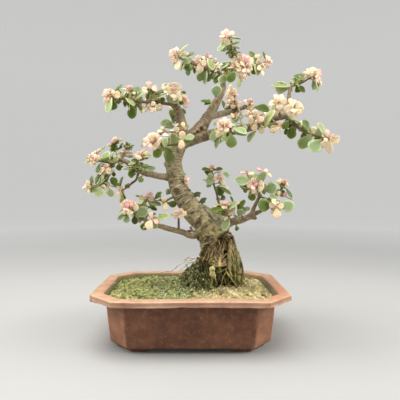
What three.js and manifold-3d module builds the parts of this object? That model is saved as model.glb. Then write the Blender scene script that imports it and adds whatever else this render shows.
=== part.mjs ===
// Dwarf jade (Portulacaria afra, variegated) grown as a small bonsai in an
// eight-sided unglazed clay pot. Millimetres, +Z up, the viewer's side is -Y.
// The pot's feet stand on z = 0.

import * as THREE from 'three';
import { mergeVertices } from 'three/addons/utils/BufferGeometryUtils.js';
import Module from 'manifold-3d';

const wasm = await Module();
wasm.setup();

// ---------------------------------------------------------------- driving dimensions (mm)

const POT_LENGTH = 200;          // over the rim, along X
const POT_DEPTH = 142;           // over the rim, along Y
const POT_HEIGHT = 56;           // feet to the top of the rim
const RIM_CHAMFER = 26;          // corner cut of the rim, measured along each side
const RIM_HEIGHT = 5.7;          // upright face of the rim
const BODY_TOP = [174, 116, 23]; // length, depth, corner cut just under the rim
const BODY_FOOT = [165, 107, 21];// the same at the foot of the wall
const FOOT_HEIGHT = 4.6;         // clearance under the pot
const FOOT_LENGTH = 25;          // arm of each L-shaped corner foot
const FOOT_WIDTH = 9;
const FLOOR_Z = 11;              // inside floor
const DRAIN_X = 38;              // drain holes, either side of the middle
const DRAIN_D = 14;
const SCREEN = 24;               // square mesh over each drain hole
const SCREEN_T = 0.8;
const SOIL_FOOT_Z = 12.5;
const SOIL_EDGE_Z = 49.5;        // moss surface beside the rim, where the wall begins to flare
const SOIL_CROWN = 6.5;          // rise of the surface towards the tree
const MOSS_T = 4.2;              // thickness of the moss mat
const INSIDE = [                 // inside of the pot: height, length, depth, corner cut
  [11, 151, 93, 17], [49.5, 165, 107, 20.4], [54.8, 173.6, 115.6, 19.4], [56, 176.6, 118.6, 19.1],
];
const MOUND = { x: 10, y: 6, height: 28, left: 28, right: 32, front: 26, back: 36 };
const GAP = 0.3;                 // clearance kept between touching pieces
const FLARE = [                  // root flare: height, centre x, y, half width, half depth
  [44.5, 35.5, 0, 18.6, 16], [54.6, 35.5, 0, 19.6, 17], [63.5, 35, 0, 20.4, 17.4], [80, 33.4, 0, 19.8, 16.8],
  [89, 32.2, 0, 18, 15.4], [98, 31.2, 0, 15.8, 14], [106, 29, 0, 15.6, 14], [113, 26.5, 0, 15.5, 13.5],
];
const ROOT_SWELL = 4.2;          // how far the surface roots stand out of the flare
const SMOOTH = 0.3;             // slivers of bark facets finer than this are merged
const LEAF_SMALL = 10.5;         // leaves narrower than this are drawn with a four-point outline
// the whole is centred on its own bounding box, standing on z = 0
const CENTRE_ON_BOX = true;



const V = (x, y, z) => new THREE.Vector3(x, y, z);

function closedGeometry(points, triangles) {
  const g = new THREE.BufferGeometry();
  g.setAttribute('position', new THREE.Float32BufferAttribute(points.flatMap((p) => [p.x, p.y, p.z]), 3));
  g.setIndex(triangles.flat());
  return g;
}

function toSolid(geometry) {
  let g = geometry.clone();
  g.deleteAttribute('normal');
  g.deleteAttribute('uv');
  g = mergeVertices(g, 1e-4);
  return new wasm.Manifold(new wasm.Mesh({
    numProp: 3,
    vertProperties: new Float32Array(g.attributes.position.array),
    triVerts: new Uint32Array(g.index.array),
  }));
}

function toGeometry(solid) {
  const m = solid.getMesh();
  const p = [];
  for (let i = 0; i < m.vertProperties.length; i += m.numProp) {
    p.push(m.vertProperties[i], m.vertProperties[i + 1], m.vertProperties[i + 2]);
  }
  const g = new THREE.BufferGeometry();
  g.setAttribute('position', new THREE.Float32BufferAttribute(p, 3));
  g.setIndex(Array.from(m.triVerts));
  const flat = g.toNonIndexed();
  flat.computeVertexNormals();
  return flat;
}

function join(solids) {
  let list = solids.slice();
  while (list.length > 1) {
    const next = [];
    for (let i = 0; i < list.length; i += 2) next.push(i + 1 < list.length ? list[i].add(list[i + 1]) : list[i]);
    list = next;
  }
  return list[0];
}

// rings: arrays of points, all the same length, counter-clockwise seen from the last ring
function loft(rings) {
  const n = rings[0].length;
  const points = rings.flat();
  const tris = [];
  for (let k = 0; k + 1 < rings.length; k += 1) {
    for (let i = 0; i < n; i += 1) {
      const a = k * n + i;
      const b = k * n + ((i + 1) % n);
      tris.push([a, b, b + n], [a, b + n, a + n]);
    }
  }
  const last = (rings.length - 1) * n;
  for (let i = 1; i + 1 < n; i += 1) {
    tris.push([0, i + 1, i], [last, last + i, last + i + 1]);
  }
  return closedGeometry(points, tris);
}

// tapered round limb through [x, y, z, radius] points
function limb(path, sides) {
  const pts = path.map((p) => V(p[0], p[1], p[2]));
  let tangent = pts[1].clone().sub(pts[0]).normalize();
  let side = V(0.31, 0.92, 0.22).cross(tangent).normalize();
  const rings = pts.map((p, i) => {
    const t = pts[Math.min(i + 1, pts.length - 1)].clone().sub(pts[Math.max(i - 1, 0)]).normalize();
    side.applyQuaternion(new THREE.Quaternion().setFromUnitVectors(tangent, t));
    side.addScaledVector(t, -side.dot(t)).normalize();
    tangent = t;
    const up = t.clone().cross(side);
    return Array.from({ length: sides }, (_, k) => {
      const a = (k / sides) * Math.PI * 2;
      return p.clone().addScaledVector(side, Math.cos(a) * path[i][3]).addScaledVector(up, Math.sin(a) * path[i][3]);
    });
  });
  return loft(rings);
}

function nearestOnStem(stem, p) {
  let best = null;
  for (let i = 0; i + 1 < stem.length; i += 1) {
    const a = V(...stem[i].slice(0, 3));
    const b = V(...stem[i + 1].slice(0, 3));
    const ab = b.clone().sub(a);
    const lo = i === 0 ? 0.25 : 0;
    const hi = i + 2 === stem.length ? 0.82 : 1;
    const t = Math.min(hi, Math.max(lo, p.clone().sub(a).dot(ab) / ab.lengthSq()));
    const q = a.addScaledVector(ab, t);
    const d = q.distanceTo(p);
    if (!best || d < best.d) best = { d, q };
  }
  return best.q;
}

// one fleshy leaf: [base x, y, z, tip x, y, z, roll degrees, width, kind, side]
function leafGeometry(stem, leaf, grow = 0) {
  const base = V(leaf[0], leaf[1], leaf[2]);
  const tip = V(leaf[3], leaf[4], leaf[5]);
  const axis = tip.clone().sub(base);
  const length = axis.length();
  axis.normalize();
  if (grow) tip.addScaledVector(axis, grow);
  const face = V(0, -1, 0);
  face.addScaledVector(axis, -face.dot(axis)).normalize();
  const side = axis.clone().cross(face);
  const roll = THREE.MathUtils.degToRad(leaf[6]);
  const n = face.clone().multiplyScalar(Math.cos(roll)).addScaledVector(side, Math.sin(roll));
  const s = axis.clone().cross(n);
  const half = leaf[7] / 2 + grow;
  const thick = Math.min(2.1, 0.22 * leaf[7] + 0.35) / 2 + grow;
  const foot = nearestOnStem(stem, base);
  const at = (t, k) => base.clone().addScaledVector(axis, length * t).addScaledVector(s, half * k);
  const small = leaf[7] < LEAF_SMALL || leaf[9] === 1;
  const rim = small
    ? [foot, at(0.62, -0.95), tip, at(0.62, 0.95)]
    : [foot, at(0.34, -0.78), at(0.76, -0.86), tip, at(0.76, 0.86), at(0.34, 0.78)];
  const mid = base.clone().addScaledVector(axis, length * 0.56);
  const points = [...rim, mid.clone().addScaledVector(n, thick), mid.clone().addScaledVector(n, -thick)];
  const m = rim.length;
  const tris = [];
  for (let i = 0; i < m; i += 1) {
    const j = (i + 1) % m;
    tris.push([j, i, m], [i, j, m + 1]);
  }
  return closedGeometry(points, tris);
}

// ---------------------------------------------------------------- woody framework, x, y, z, radius (mm)

const WOOD = {
  trunk: [[28, 0, 108.83, 18.81], [16.6, 0, 124.54, 14.94], [4.78, 1.9, 134.3, 12.78], [-7.15, 3.8, 150.18, 10.94], [-14.18, 3.8, 164.25, 10.33], [-17.09, 3.8, 178.1, 9.49], [-19.01, 1.9, 192, 9.45], [-16.34, 1.9, 202, 9.17], [-12.06, 0, 209.53, 8.58], [-6.86, 0, 214.51, 7.75]],
  limb_upper_left: [[-7.97, 0, 211.75, 6.36], [-9.07, 0, 219.49, 6.2], [-10.12, 1.9, 231.58, 5.95], [-13.18, 3.8, 245.89, 5.3], [-17.01, 1.9, 252.92, 4.45], [-20.92, 0, 254.69, 3.32]],
  limb_apex: [[-6.86, 0, 212.85, 7.75], [2.78, 1.9, 221.68, 6.95], [12.62, 3.8, 231.93, 6.48], [20.96, 7.6, 244.81, 6.03], [29.09, 9.5, 259.48, 4.81], [35.36, 11.4, 272, 3.87], [37.12, 13.3, 279.83, 3.43], [35.22, 15.2, 290.26, 2.87], [30.74, 15.2, 297.14, 2.29]],
  twig_apex: [[35.68, 15.2, 287.28, 1.95], [38.93, 5.7, 292.64, 1.57]],
  twig_top_right: [[35.91, 15.2, 286.13, 2.41], [42.98, 17.1, 294.09, 2.07], [52.43, 19, 297.94, 1.74], [63.72, 17.1, 298.23, 1.5]],
  limb_back: [[18.37, 7.6, 240.97, 3.94], [35.21, 26.6, 249.7, 3.83], [54.07, 43.7, 257.19, 3.18], [67.37, 49.4, 263.55, 2.6]],
  limb_right: [[-2.99, 0, 213.96, 7.19], [10.29, 0, 217.83, 6.09], [26.77, -1.9, 222.5, 5.23], [48.8, -1.9, 225.8, 4.96], [65.63, 0, 229.45, 4.7], [82.6, 1.9, 235.36, 4.72], [94.83, 1.9, 240.92, 4.72], [104.36, 0, 243.51, 4.43], [107.62, 1.9, 252.03, 3]],
  limb_right_tip: [[104.36, 0, 243.29, 3.6], [108.29, -1.9, 239.57, 2.97], [110.78, -5.7, 234.31, 2.51]],
  limb_mid_left: [[-16.42, 3.8, 173.19, 5.58], [-25.24, 1.9, 173.77, 4.22], [-30.21, 0, 174.45, 3.87], [-36.02, -1.9, 175.24, 3.58], [-42.55, -3.8, 176.79, 3.56], [-49.01, -5.7, 177.56, 3.27], [-54.9, -5.7, 180.07, 2.84], [-62.61, -3.8, 183.48, 2.85], [-67.97, -1.9, 188.68, 3.03], [-75.14, 0, 192.27, 2.77], [-81.89, 0, 192.27, 2.55], [-85.7, -1.9, 188.68, 2.2], [-87.83, -3.8, 183.48, 1.97], [-89.94, -5.7, 175.05, 1.75]],
  limb_low_left: [[18.04, 0, 114.36, 5.53], [6.94, -1.9, 110.14, 4.08], [0.33, -3.8, 109.68, 3.56], [-8.08, -5.7, 113.27, 3.27], [-13.86, -5.7, 114.91, 3.06], [-20.72, -3.8, 116.37, 3.02], [-29.06, -3.8, 118.89, 3.02], [-35.86, -3.8, 120.65, 2.74], [-42.44, -3.8, 122.4, 2.47], [-48.24, -5.7, 126.15, 2.29], [-53.06, -11.4, 129.66, 2.04]],
  limb_low_right: [[25.79, 0, 115.47, 6.64], [38.08, 3.8, 120.7, 5.3], [47.24, 3.8, 124.6, 4.47], [54.47, 1.9, 126.07, 4], [61.53, 0, 128.75, 3.6], [66.43, -1.9, 131.62, 3.08], [69.51, -1.9, 139.88, 2.31], [72.14, -7.6, 147.25, 2.06], [73.67, -15.2, 153.99, 1.81]],
  twig_low_right_end: [[65.32, -1.9, 131.51, 3.03], [71.27, -5.7, 134.34, 2.62], [76.02, -9.5, 136.68, 1.95]],
  stub_low_right: [[64.77, -1.9, 130.52, 2.48], [71.06, -3.8, 128.76, 2.08]],
  twig_low_right_b: [[73.59, -13.3, 152.91, 1.39], [78.15, -15.2, 151, 1.28], [82.41, -15.2, 149.3, 1.17]],
  slab_back: [[13.99, 11.4, 139.42, 4.55], [23.29, 15.2, 132.4, 5.16], [32.18, 11.4, 126.91, 5.12], [38.48, 5.7, 120.54, 4.49]],
};

// surface roots, from the trunk flare down into the moss
const ROOTS = [
  [[28.29, -14.17, 109.44, 1.36], [26.65, -14.35, 106.37, 1.63], [23.82, -13.34, 101.79, 1.56], [20.9, -11.51, 96.03, 1.5], [18.84, -10.61, 91.08, 1.44], [16.61, -8.81, 86.62, 1.38], [14.06, -4.69, 81.73, 1.25], [14.02, -4.16, 76.87, 1.04]], // diag
  [[39.91, -9.43, 114.17, 1.72], [43.13, -3.11, 110.76, 1.96], [45.37, -3.02, 104.46, 1.89], [47.24, -2.87, 98.16, 1.75], [49.95, -3.22, 90.49, 1.89], [52.79, -3.4, 82.14, 2.03], [54.28, -3.5, 73.78, 1.89], [55.18, -3.62, 66.11, 1.61], [55.29, -3.37, 60.52, 1.05]], // right_outer
  [[40.27, -9.79, 108.08, 2.06], [41.96, -10.48, 101.26, 2.4], [42.13, -12.17, 94.65, 2.46], [40.43, -14.66, 88.28, 2.38], [39.93, -16.51, 80.54, 2.43], [38.81, -17.1, 75.32, 2.16], [38.86, -17.32, 68.7, 1.68], [40.28, -17.18, 63.34, 1.21]], // right_thick
  [[44.75, -6.81, 100.73, 1.39], [47.27, -5.4, 94.96, 2.09], [49.24, -6.42, 88.16, 2.64], [49.78, -10.65, 80.6, 2.89], [51.33, -10.47, 72.34, 3.03], [51.29, -11.48, 65.07, 2.6], [50.71, -11.76, 60.39, 1.71]], // right_big
  [[23.44, -12.99, 97.5, 2.05], [24.37, -14.35, 92.92, 3.06], [25.27, -15.41, 87.67, 3.2], [25.88, -16.35, 81.73, 3.2], [25.25, -16.36, 77.68, 3.2]], // stump_a
  [[28.56, -14.86, 95.05, 2.04], [30.44, -16.13, 89.78, 3.05], [32.38, -17.05, 84.52, 3.2], [33.65, -17.78, 79.26, 3.2], [31.7, -17.68, 75.24, 2.7]], // stump_b
  [[25.2, -16.06, 77.55, 2.36], [24.88, -16.22, 75.37, 3.2], [24.57, -16.09, 71.97, 3.2], [25.12, -16.26, 67.99, 3.03], [25.1, -15.9, 64.59, 2.02], [24.93, -15.28, 60.42, 1.21], [23.6, -13.95, 55.6, 0.88], [22.08, -12.5, 53.43, 0.61]], // bulb
  [[12.74, -3.16, 107.28, 1.75], [14.03, -2.95, 102.38, 1.75], [15.2, -3.4, 96.79, 1.4], [14.24, -3.38, 91.22, 1.96], [13.91, -3.32, 87.74, 1.75], [14, -3.65, 84.26, 1.05]], // left_b
  [[22.04, -12.99, 106.38, 1.23], [19.53, -10.26, 99.15, 1.24], [22.31, -12.75, 92.72, 1.16], [21.1, -12.99, 85.26, 1.16], [20.49, -13.09, 78.45, 1.02], [19.95, -12.43, 71.49, 0.89]], // left_d
  [[45.34, 4.97, 102.17, 2.35], [48.19, 5.3, 91.61, 2.36], [51, 7.9, 82.49, 2.55], [53.05, 7.3, 71.66, 2.32], [53.69, 8.47, 63.38, 2.2], [51.91, 9.75, 53.84, 2.3], [50.26, 10.77, 46.5, 1.55]], // far_01
  [[41.69, 9.65, 102.24, 1.1], [43.93, 10.58, 92.76, 0.97], [45.69, 13.19, 81.2, 0.98], [48.52, 12.45, 70.86, 0.85], [48.77, 13.05, 59.22, 0.91], [48.34, 12.49, 48.68, 0.93], [49.5, 11.1, 46.5, 0.64]], // far_05
  [[36, 13.18, 100.33, 2.27], [37.89, 14.67, 91.78, 1.96], [41.35, 15.31, 82.83, 1.71], [42.4, 16.07, 73.05, 1.71], [42.81, 16.5, 61.21, 1.55], [44.94, 15.18, 52.5, 1.49], [45.44, 14.1, 46.5, 0.98]], // far_09
  [[28.44, 14.34, 105.67, 1.11], [28.48, 14.44, 96.02, 1.18], [30.67, 16.1, 86.13, 1.12], [32.33, 17.25, 74.52, 1.04], [31.49, 17.41, 64.05, 0.93], [33.55, 17.24, 55.96, 0.84], [34.31, 16.35, 46.5, 0.6]], // far_13
  [[23.25, 13.08, 103.18, 1.02], [23.41, 13.4, 91.97, 1.08], [23.3, 14.53, 82.35, 1.04], [25.33, 15.71, 71.13, 1.11], [25.09, 15.26, 60.02, 1.05], [25.25, 14.19, 48.5, 1.08], [24.61, 13.45, 46.5, 0.66]], // far_17
  [[16.53, 8.55, 104.45, 1.18], [18.48, 9.45, 94.63, 1.03], [18.02, 10.33, 86.13, 1.04], [17.98, 10.86, 77.08, 0.99], [17.3, 9.52, 66.96, 1.06], [19.37, 10.84, 58.01, 1.12], [20.9, 10.83, 47.51, 1.03], [20.79, 10.43, 46.5, 0.72]], // far_21
  [[15.12, 3.79, 98.73, 1.9], [13.8, 2.78, 88.57, 1.87], [13.31, 1.51, 77.53, 1.73], [13.83, 1.38, 67.47, 1.7], [15.05, 0.08, 56.86, 1.49], [16.49, 1.73, 46.5, 0.91]], // far_25
];

// leafy shoots: stem points, then leaves as base, tip, roll, width, kind, side
const SHOOTS = {
  shoot_apex: {
    stem: [[39.88, 4.63, 294.05, 1.3], [44.01, 0, 300.16, 1.18], [46.34, -3.8, 307, 1.06], [44.56, -7.6, 313.7, 0.94], [42.81, -11.4, 317.56, 0.82], [39.04, -15.2, 322.03, 0.7]],
    leaves: [
      [37.69, -18.33, 321.33, 32.4, -16.43, 328.3, -6.34, 5.44, 'p', 0],
      [37.69, -18.32, 322.66, 37.75, -19.17, 329.78, -12.57, 5.61, 'p', 0],
      [40.33, -18.19, 323.15, 46.11, -15.2, 328.4, 5.43, 5.44, 'p', 0],
      [38.13, -18.3, 320.47, 39.04, -15.2, 314.61, -4.84, 6.84, 'c', 0],
      [41.12, -14.82, 322.55, 55.49, -16.45, 320.63, -71.06, 10.12, 'l', 0],
      [38.2, -12.92, 317.39, 29.47, -13.13, 307.27, 48.25, 10.23, 'd', 0],
      [45.3, -11.4, 318.45, 34.85, -12.59, 312.81, 72.95, 6.96, 'l', 0],
      [43.64, -10.26, 316.23, 53.35, -11.27, 318.69, -57.5, 7.89, 'd', 0],
      [44.44, -6.24, 315.58, 55.04, -3.97, 315.57, -65.77, 7.96, 'd', 0],
      [45.32, -6.46, 311.88, 38.24, -5.79, 307.35, 57.42, 6.61, 'd', 0],
      [45.94, -5.7, 310.37, 56.13, -6.63, 309.74, -71.98, 7.94, 'l', 0],
    ],
  },
  branch_top_left: {
    stem: [[28.72, 13.47, 296.52, 2.1], [26.31, 11.4, 295.77, 1.93], [19.77, 1.9, 293.37, 1.76], [11.45, -11.4, 292.77, 1.59], [1.79, -22.8, 292.12, 1.41], [-5.14, -28.5, 292.88, 1.24], [-10.5, -34.2, 293.1, 1.07], [-13.99, -38, 294.18, 0.9]],
    leaves: [
      [-15.01, -40.63, 294.77, -21.56, -40.51, 298.6, 9.52, 4.99, 'p', 0],
      [-15.23, -40.64, 295.66, -17.63, -41.67, 300.15, 2.63, 4.63, 'p', 0],
      [-15.67, -40.62, 294.1, -21.89, -41.03, 293.81, 7.03, 4.99, 'c', 0],
      [-12.77, -36.83, 289.66, -13.42, -38.95, 279.37, 35.66, 7.88, 'c', 0],
      [-14.44, -38, 294.63, -2.5, -38.1, 306.21, -70.75, 10.97, 'l', 0],
      [-9.95, -34.58, 294.86, -2.07, -34.25, 297.98, -38.29, 6.91, 'c', 0],
      [-3.39, -28.5, 297.48, 4.24, -29.4, 301.05, -47.04, 6.6, 'd', 0],
      [0.62, -27.07, 294.55, -7.73, -32.32, 290.51, 4.84, 8.22, 'g', 0],
      [-5.61, -27.93, 290.55, -10.69, -27.58, 282.05, 64.06, 7.69, 'g', 0],
      [-1.94, -24.51, 288.73, -3.06, -23.27, 278.67, 46.42, 8.09, 'd', 0],
      [2.52, -17.87, 290.31, 4.76, -16.11, 283.18, -54.35, 6.17, 'd', 0],
      [8.81, -17.86, 295.18, -0.17, -15.96, 294.05, -7.75, 6.9, 'p', 0],
      [8.9, -17.86, 295.99, 7.09, -19.08, 301.54, -4.11, 6.62, 'c', 0],
      [9.38, -17.86, 295.28, 16.57, -17.71, 292.73, 6.07, 6.9, 'p', 0],
      [8.9, -17.85, 294.24, 9.04, -15.96, 283.41, -17.19, 8.7, 'c', 0],
      [13.64, -3.23, 291.16, 8.8, -0.34, 279.88, 26.51, 10.08, 'd', 0],
      [17.28, -0.76, 292.23, 15.74, -2.22, 275.97, 67.55, 12.23, 'g', 0],
      [18.52, -10.25, 301.84, 23.54, -13.35, 287.7, -38.61, 10.85, 'g', 0],
      [26.66, 8.84, 300.22, 32.1, 7.44, 302.86, -27.24, 5.22, 'p', 0],
      [26.86, 12.02, 298.52, 28.84, 8.25, 293.17, -1.22, 5.29, 'c', 0],
      [25.24, 10.45, 293.43, 24.23, 5.18, 283.65, 9.2, 7.9, 'd', 0],
      [32.3, 13.47, 292.13, 27, 14.36, 281.99, 41.83, 9, 'd', 0],
    ],
  },
  shoot_apex_front: {
    stem: [[36.67, 9.77, 283.04, 1.1], [37.3, -11.4, 283.45, 0.97], [38.58, -22.8, 284, 0.83], [40.58, -30.4, 284.23, 0.7]],
    leaves: [
      [44.94, -32.3, 280.86, 38.11, -35.88, 268.84, 5.76, 10.3, 'd', 0],
      [36.31, -16.95, 283.33, 31.68, -21.54, 271.3, 6.56, 9.76, 'g', 0],
      [43.79, -30.4, 285.15, 35.91, -30.37, 284.24, 63.61, 6.5, 'p', 0],
      [38.75, -30.4, 288.58, 30.88, -31.46, 282.96, 65.94, 7.23, 'g', 0],
      [35.4, -26.95, 289.79, 29.05, -25.45, 288.04, 57.73, 5.62, 'c', 0],
      [38.63, -22.31, 285.1, 33.6, -21.02, 282.71, 60.77, 4.8, 'c', 0],
    ],
  },
  branch_top_right: {
    stem: [[55.93, 15.91, 297.81, 1.9], [56.41, 5.7, 296.94, 1.4], [58.02, -7.6, 295.33, 0.9]],
    leaves: [
      [52.37, -6.25, 298.23, 44.24, -3.13, 303.26, -0.74, 8.17, 'c', 0],
      [59.16, -6.43, 297.2, 53.57, -12.62, 295.27, 10.16, 6.62, 'c', 0],
      [59.15, -6.49, 293.77, 56.55, -11.17, 285.69, 10.41, 5.64, 'p', 0],
      [55.29, -6.28, 289.95, 49.2, -6.71, 283.98, 16.98, 6.62, 'c', 0],
      [56.13, 19.01, 289.57, 56.14, 21.49, 279.02, -58.49, 8.67, 'l', 0],
      [52.38, 17.94, 301.61, 46.87, 17.86, 298.99, 37.59, 4.97, 'd', 0],
    ],
  },
  shoot_top_right: {
    stem: [[65.42, 17.54, 299.09, 1.2], [71.11, 19, 301.97, 1.08], [77.83, 19, 305.07, 0.95], [83.51, 19, 307.13, 0.83], [87.39, 15.2, 307.59, 0.7]],
    leaves: [
      [71.57, 21.19, 314.4, 71.53, 28.03, 323.71, 9.9, 8.1, 'd', 0],
      [74.47, 19, 305.84, 73.57, 18.88, 314.73, 33.85, 6.91, 'g', 0],
      [74.73, 19, 305.84, 77.17, 19.38, 292.27, -46.44, 10.69, 'g', 0],
      [78.45, 19, 309.72, 78.76, 19.01, 317.06, -12.89, 6.02, 'c', 0],
      [79.58, 19, 305.07, 79.22, 16.48, 297, 4.63, 6.41, 'c', 0],
      [82.27, 19, 300.16, 83.49, 18.9, 291.91, -40.81, 6.81, 'c', 0],
      [82.86, 16.98, 306.68, 85.5, 15.48, 300.05, -40.92, 5.56, 'c', 0],
      [86.98, 15.2, 308.87, 82.15, 15.14, 319.39, 60.79, 8.92, 'd', 0],
      [87.59, 13.2, 305.86, 89.03, 15.2, 299.75, 15.92, 4.79, 'p', 0],
    ],
  },
  leaf_pair_limb: {
    stem: [[29.45, 3.88, 259.91, 0.9], [28.41, -19, 256.68, 0.8], [26.31, -28.5, 254.58, 0.7]],
    leaves: [
      [25.86, -30.4, 253.93, 26.46, -35.3, 265.68, -0.29, 11.09, 'g', 0],
    ],
  },
  shoot_limb_left: {
    stem: [[25.49, 2.95, 255.1, 0.9], [24.18, -3.8, 255.13, 0.8], [22.57, -7.6, 254.47, 0.7]],
    leaves: [
      [22.76, -7.22, 254.73, 10.47, -6.36, 256.83, 64.34, 9.58, 'd', 0],
    ],
  },
  bud_limb_left: {
    stem: [[18.91, 13.17, 248.6, 0.9], [17.82, 15.24, 249.49, 0.7]],
    leaves: [
    ],
  },
  shoot_crown_back: {
    stem: [[50.28, 43.65, 260.23, 1.4], [50.28, 45.6, 262.86, 1.26], [52.53, 38, 265.39, 1.12], [53.31, 34.2, 268.73, 0.98], [51.04, 30.4, 272, 0.84], [48.2, 26.6, 274.3, 0.7]],
    leaves: [
      [49.32, 25.85, 274.1, 51.66, 27.36, 280.47, -12.62, 6.36, 'c', 0],
      [48.12, 25.84, 273.5, 41.42, 27.36, 269.09, 15.09, 7.44, 'c', 0],
      [54.24, 36.82, 263.25, 62, 38.76, 265.57, 10.86, 5.29, 'p', 0],
      [41.05, 47.52, 261.74, 39.33, 49.57, 271.38, 48.73, 7.17, 'd', 0],
      [56.74, 37.17, 260.88, 61.64, 34.32, 248.47, -71.76, 8.64, 'g', 0],
    ],
  },
  branch_crown_stub: {
    stem: [[69.21, 47.03, 264.43, 2.6], [71.79, 43.7, 265.66, 1.5]],
    leaves: [
      [70.62, 41.43, 266.23, 64.8, 43.7, 270.15, 6.14, 5.34, 'p', 0],
      [71.25, 41.44, 266.85, 69.3, 40.47, 271.2, -7.85, 5.22, 'p', 0],
      [72.49, 41.46, 267.17, 75.46, 40.25, 270.77, -9.28, 5.84, 'p', 0],
      [71.88, 41.53, 262.52, 71.16, 43.7, 257.8, -1.95, 4.72, 'c', 0],
    ],
  },
  shoot_pink_front: {
    stem: [[29.41, -7.63, 223.74, 1.3], [30.29, -19, 225.53, 1.13], [31.2, -34.2, 223.83, 0.97], [32.45, -49.4, 221.55, 0.8]],
    leaves: [
      [32.11, -50.4, 222.36, 33.66, -50.3, 230.02, 1.05, 5.85, 'p', 0],
      [31.36, -50.41, 222.11, 26.4, -51.83, 226.54, 9.02, 5.85, 'p', 0],
      [33.35, -50.37, 222.12, 38.66, -49.85, 227.53, 13.65, 5.75, 'c', 0],
      [30.14, -50.23, 218.92, 25.49, -46.36, 210.57, -12.62, 5.26, 'c', 0],
      [26.35, -13.49, 225.16, 22.68, -16.48, 211.56, 36.18, 10.48, 'g', 0],
      [31.72, -7.63, 220.38, 27.14, -6.4, 204.9, 70.34, 12.39, 'g', 0],
      [33.94, -49.4, 214.09, 31.19, -50.1, 206.33, 33.2, 6.24, 'g', 0],
      [38.7, -51.4, 213.27, 38.83, -57.48, 198.85, -0.57, 11.87, 'd', 0],
      [40.68, -51.4, 218.96, 53.86, -54.58, 213.73, -47.35, 11.11, 'g', 0],
    ],
  },
  shoot_cream_mid: {
    stem: [[62.66, -5.92, 227.77, 1.6], [63.31, -7.6, 227.59, 1.38], [64.24, -19, 230.38, 1.15], [65.65, -26.6, 233.15, 0.93], [61.86, -30.4, 237.61, 0.7]],
    leaves: [
      [62.08, -32.3, 237.72, 69.14, -31.23, 239.62, 16.04, 5, 'c', 0],
      [65.6, -28.43, 232.51, 59.76, -27.75, 228.17, -12.9, 5.05, 'c', 0],
      [67.66, -28.71, 229.04, 65.35, -25.84, 220.38, 16.3, 6.1, 'c', 0],
      [68.97, -28.72, 228.51, 74.33, -29.82, 234.49, -13.23, 7.15, 'c', 0],
      [74.15, -22.13, 227.64, 75.25, -21.15, 218.39, -0.33, 7.8, 'c', 0],
      [76.91, -25.77, 224.05, 85.51, -30.44, 241.89, -69.64, 15.97, 'l', 0],
      [71.12, -7.35, 224.58, 62, -3.84, 212.38, 64.03, 12.27, 'g', 0],
    ],
  },
  leaf_big_green: {
    stem: [[66.85, 45.6, 261.47, 0.9], [71.63, 26.6, 252.97, 0.83], [74.07, 30.4, 256.85, 0.77], [76.19, 30.4, 258.67, 0.7]],
    leaves: [
      [75.64, 30.4, 258.98, 94.03, 31.37, 255.86, -34.48, 14.22, 'd', 0],
    ],
  },
  rosette_right_left: {
    stem: [[97.67, -3.72, 242.83, 1.1], [94.61, -19, 245.58, 0.9], [91.54, -26.6, 248.84, 0.7]],
    leaves: [
      [90.12, -29.97, 249.89, 86.65, -26.6, 258.76, 9.1, 5.47, 'p', 0],
      [91.06, -29.95, 249.89, 98.69, -31.5, 249.88, -7.7, 8.46, 'c', 0],
      [89.5, -29.99, 248.95, 80.5, -26.6, 248.72, 15.36, 7.09, 'c', 0],
      [89.81, -29.99, 248.33, 83.01, -28.1, 243.45, -35.42, 6.1, 'c', 0],
    ],
  },
  rosette_right_right: {
    stem: [[107.04, -5.62, 240.31, 1.2], [105.11, -22.8, 240.26, 1], [104.94, -30.4, 242.95, 0.8]],
    leaves: [
      [105.99, -34.41, 242.64, 113.41, -33.68, 246.99, -3.14, 8.36, 'c', 0],
      [103.21, -34.46, 242.01, 94.81, -35.11, 240.51, -4.43, 7.75, 'c', 0],
      [103.22, -34.45, 241.09, 99.04, -34.92, 233.92, -5.82, 7.75, 'c', 0],
      [104.57, -34.45, 240.78, 106.08, -33.88, 232.17, -15.77, 8.36, 'c', 0],
    ],
  },
  shoot_right_up: {
    stem: [[108.43, 3.49, 254.99, 2.4], [110.52, 7.6, 262.64, 2.17], [112.55, 11.4, 271.88, 1.94], [115.99, 15.2, 279.18, 1.71], [121.92, 19, 281.69, 1.49], [130.33, 19, 285.2, 1.26], [136.14, 15.2, 288.22, 1.03], [139.76, 11.4, 289.45, 0.8]],
    leaves: [
      [113.35, 14.44, 278.62, 91.64, 13.14, 279.83, 58.72, 16.54, 'l', 0],
      [118.7, 19.54, 283.11, 119.28, 24.79, 289.5, -9.38, 6.04, 'l', 0],
      [131.52, 21.05, 285.82, 125.24, 30.32, 298.11, 8.29, 12.96, 'd', 0],
      [130.22, 15.83, 286.33, 123.02, 14.03, 290.49, 66.67, 6.71, 'c', 0],
      [122.76, 19, 281.55, 133.03, 19.57, 273.57, -35.64, 9.97, 'd', 0],
      [125.48, 21.64, 281.06, 129.5, 23.31, 274.81, -25.07, 5.83, 'l', 0],
      [139.56, 8.69, 289.61, 131.5, 11.4, 297.37, 5.3, 5.89, 'c', 0],
      [139.9, 8.69, 290.3, 137.11, 10.02, 299.38, 9.53, 7.94, 'c', 0],
      [141.62, 8.71, 290.31, 147.01, 4.99, 291.91, 1.85, 9.31, 'p', 0],
      [141.83, 11.4, 288.76, 144.33, 10.23, 270.46, -57.25, 14.01, 'g', 0],
      [142.86, 11.4, 288.41, 149.82, 12.57, 279.11, -54.51, 9.55, 'c', 0],
      [141.85, 9.4, 287.1, 144.16, 7.74, 279.61, -56.31, 6.2, 'p', 0],
    ],
  },
  branch_right_droop: {
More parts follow.
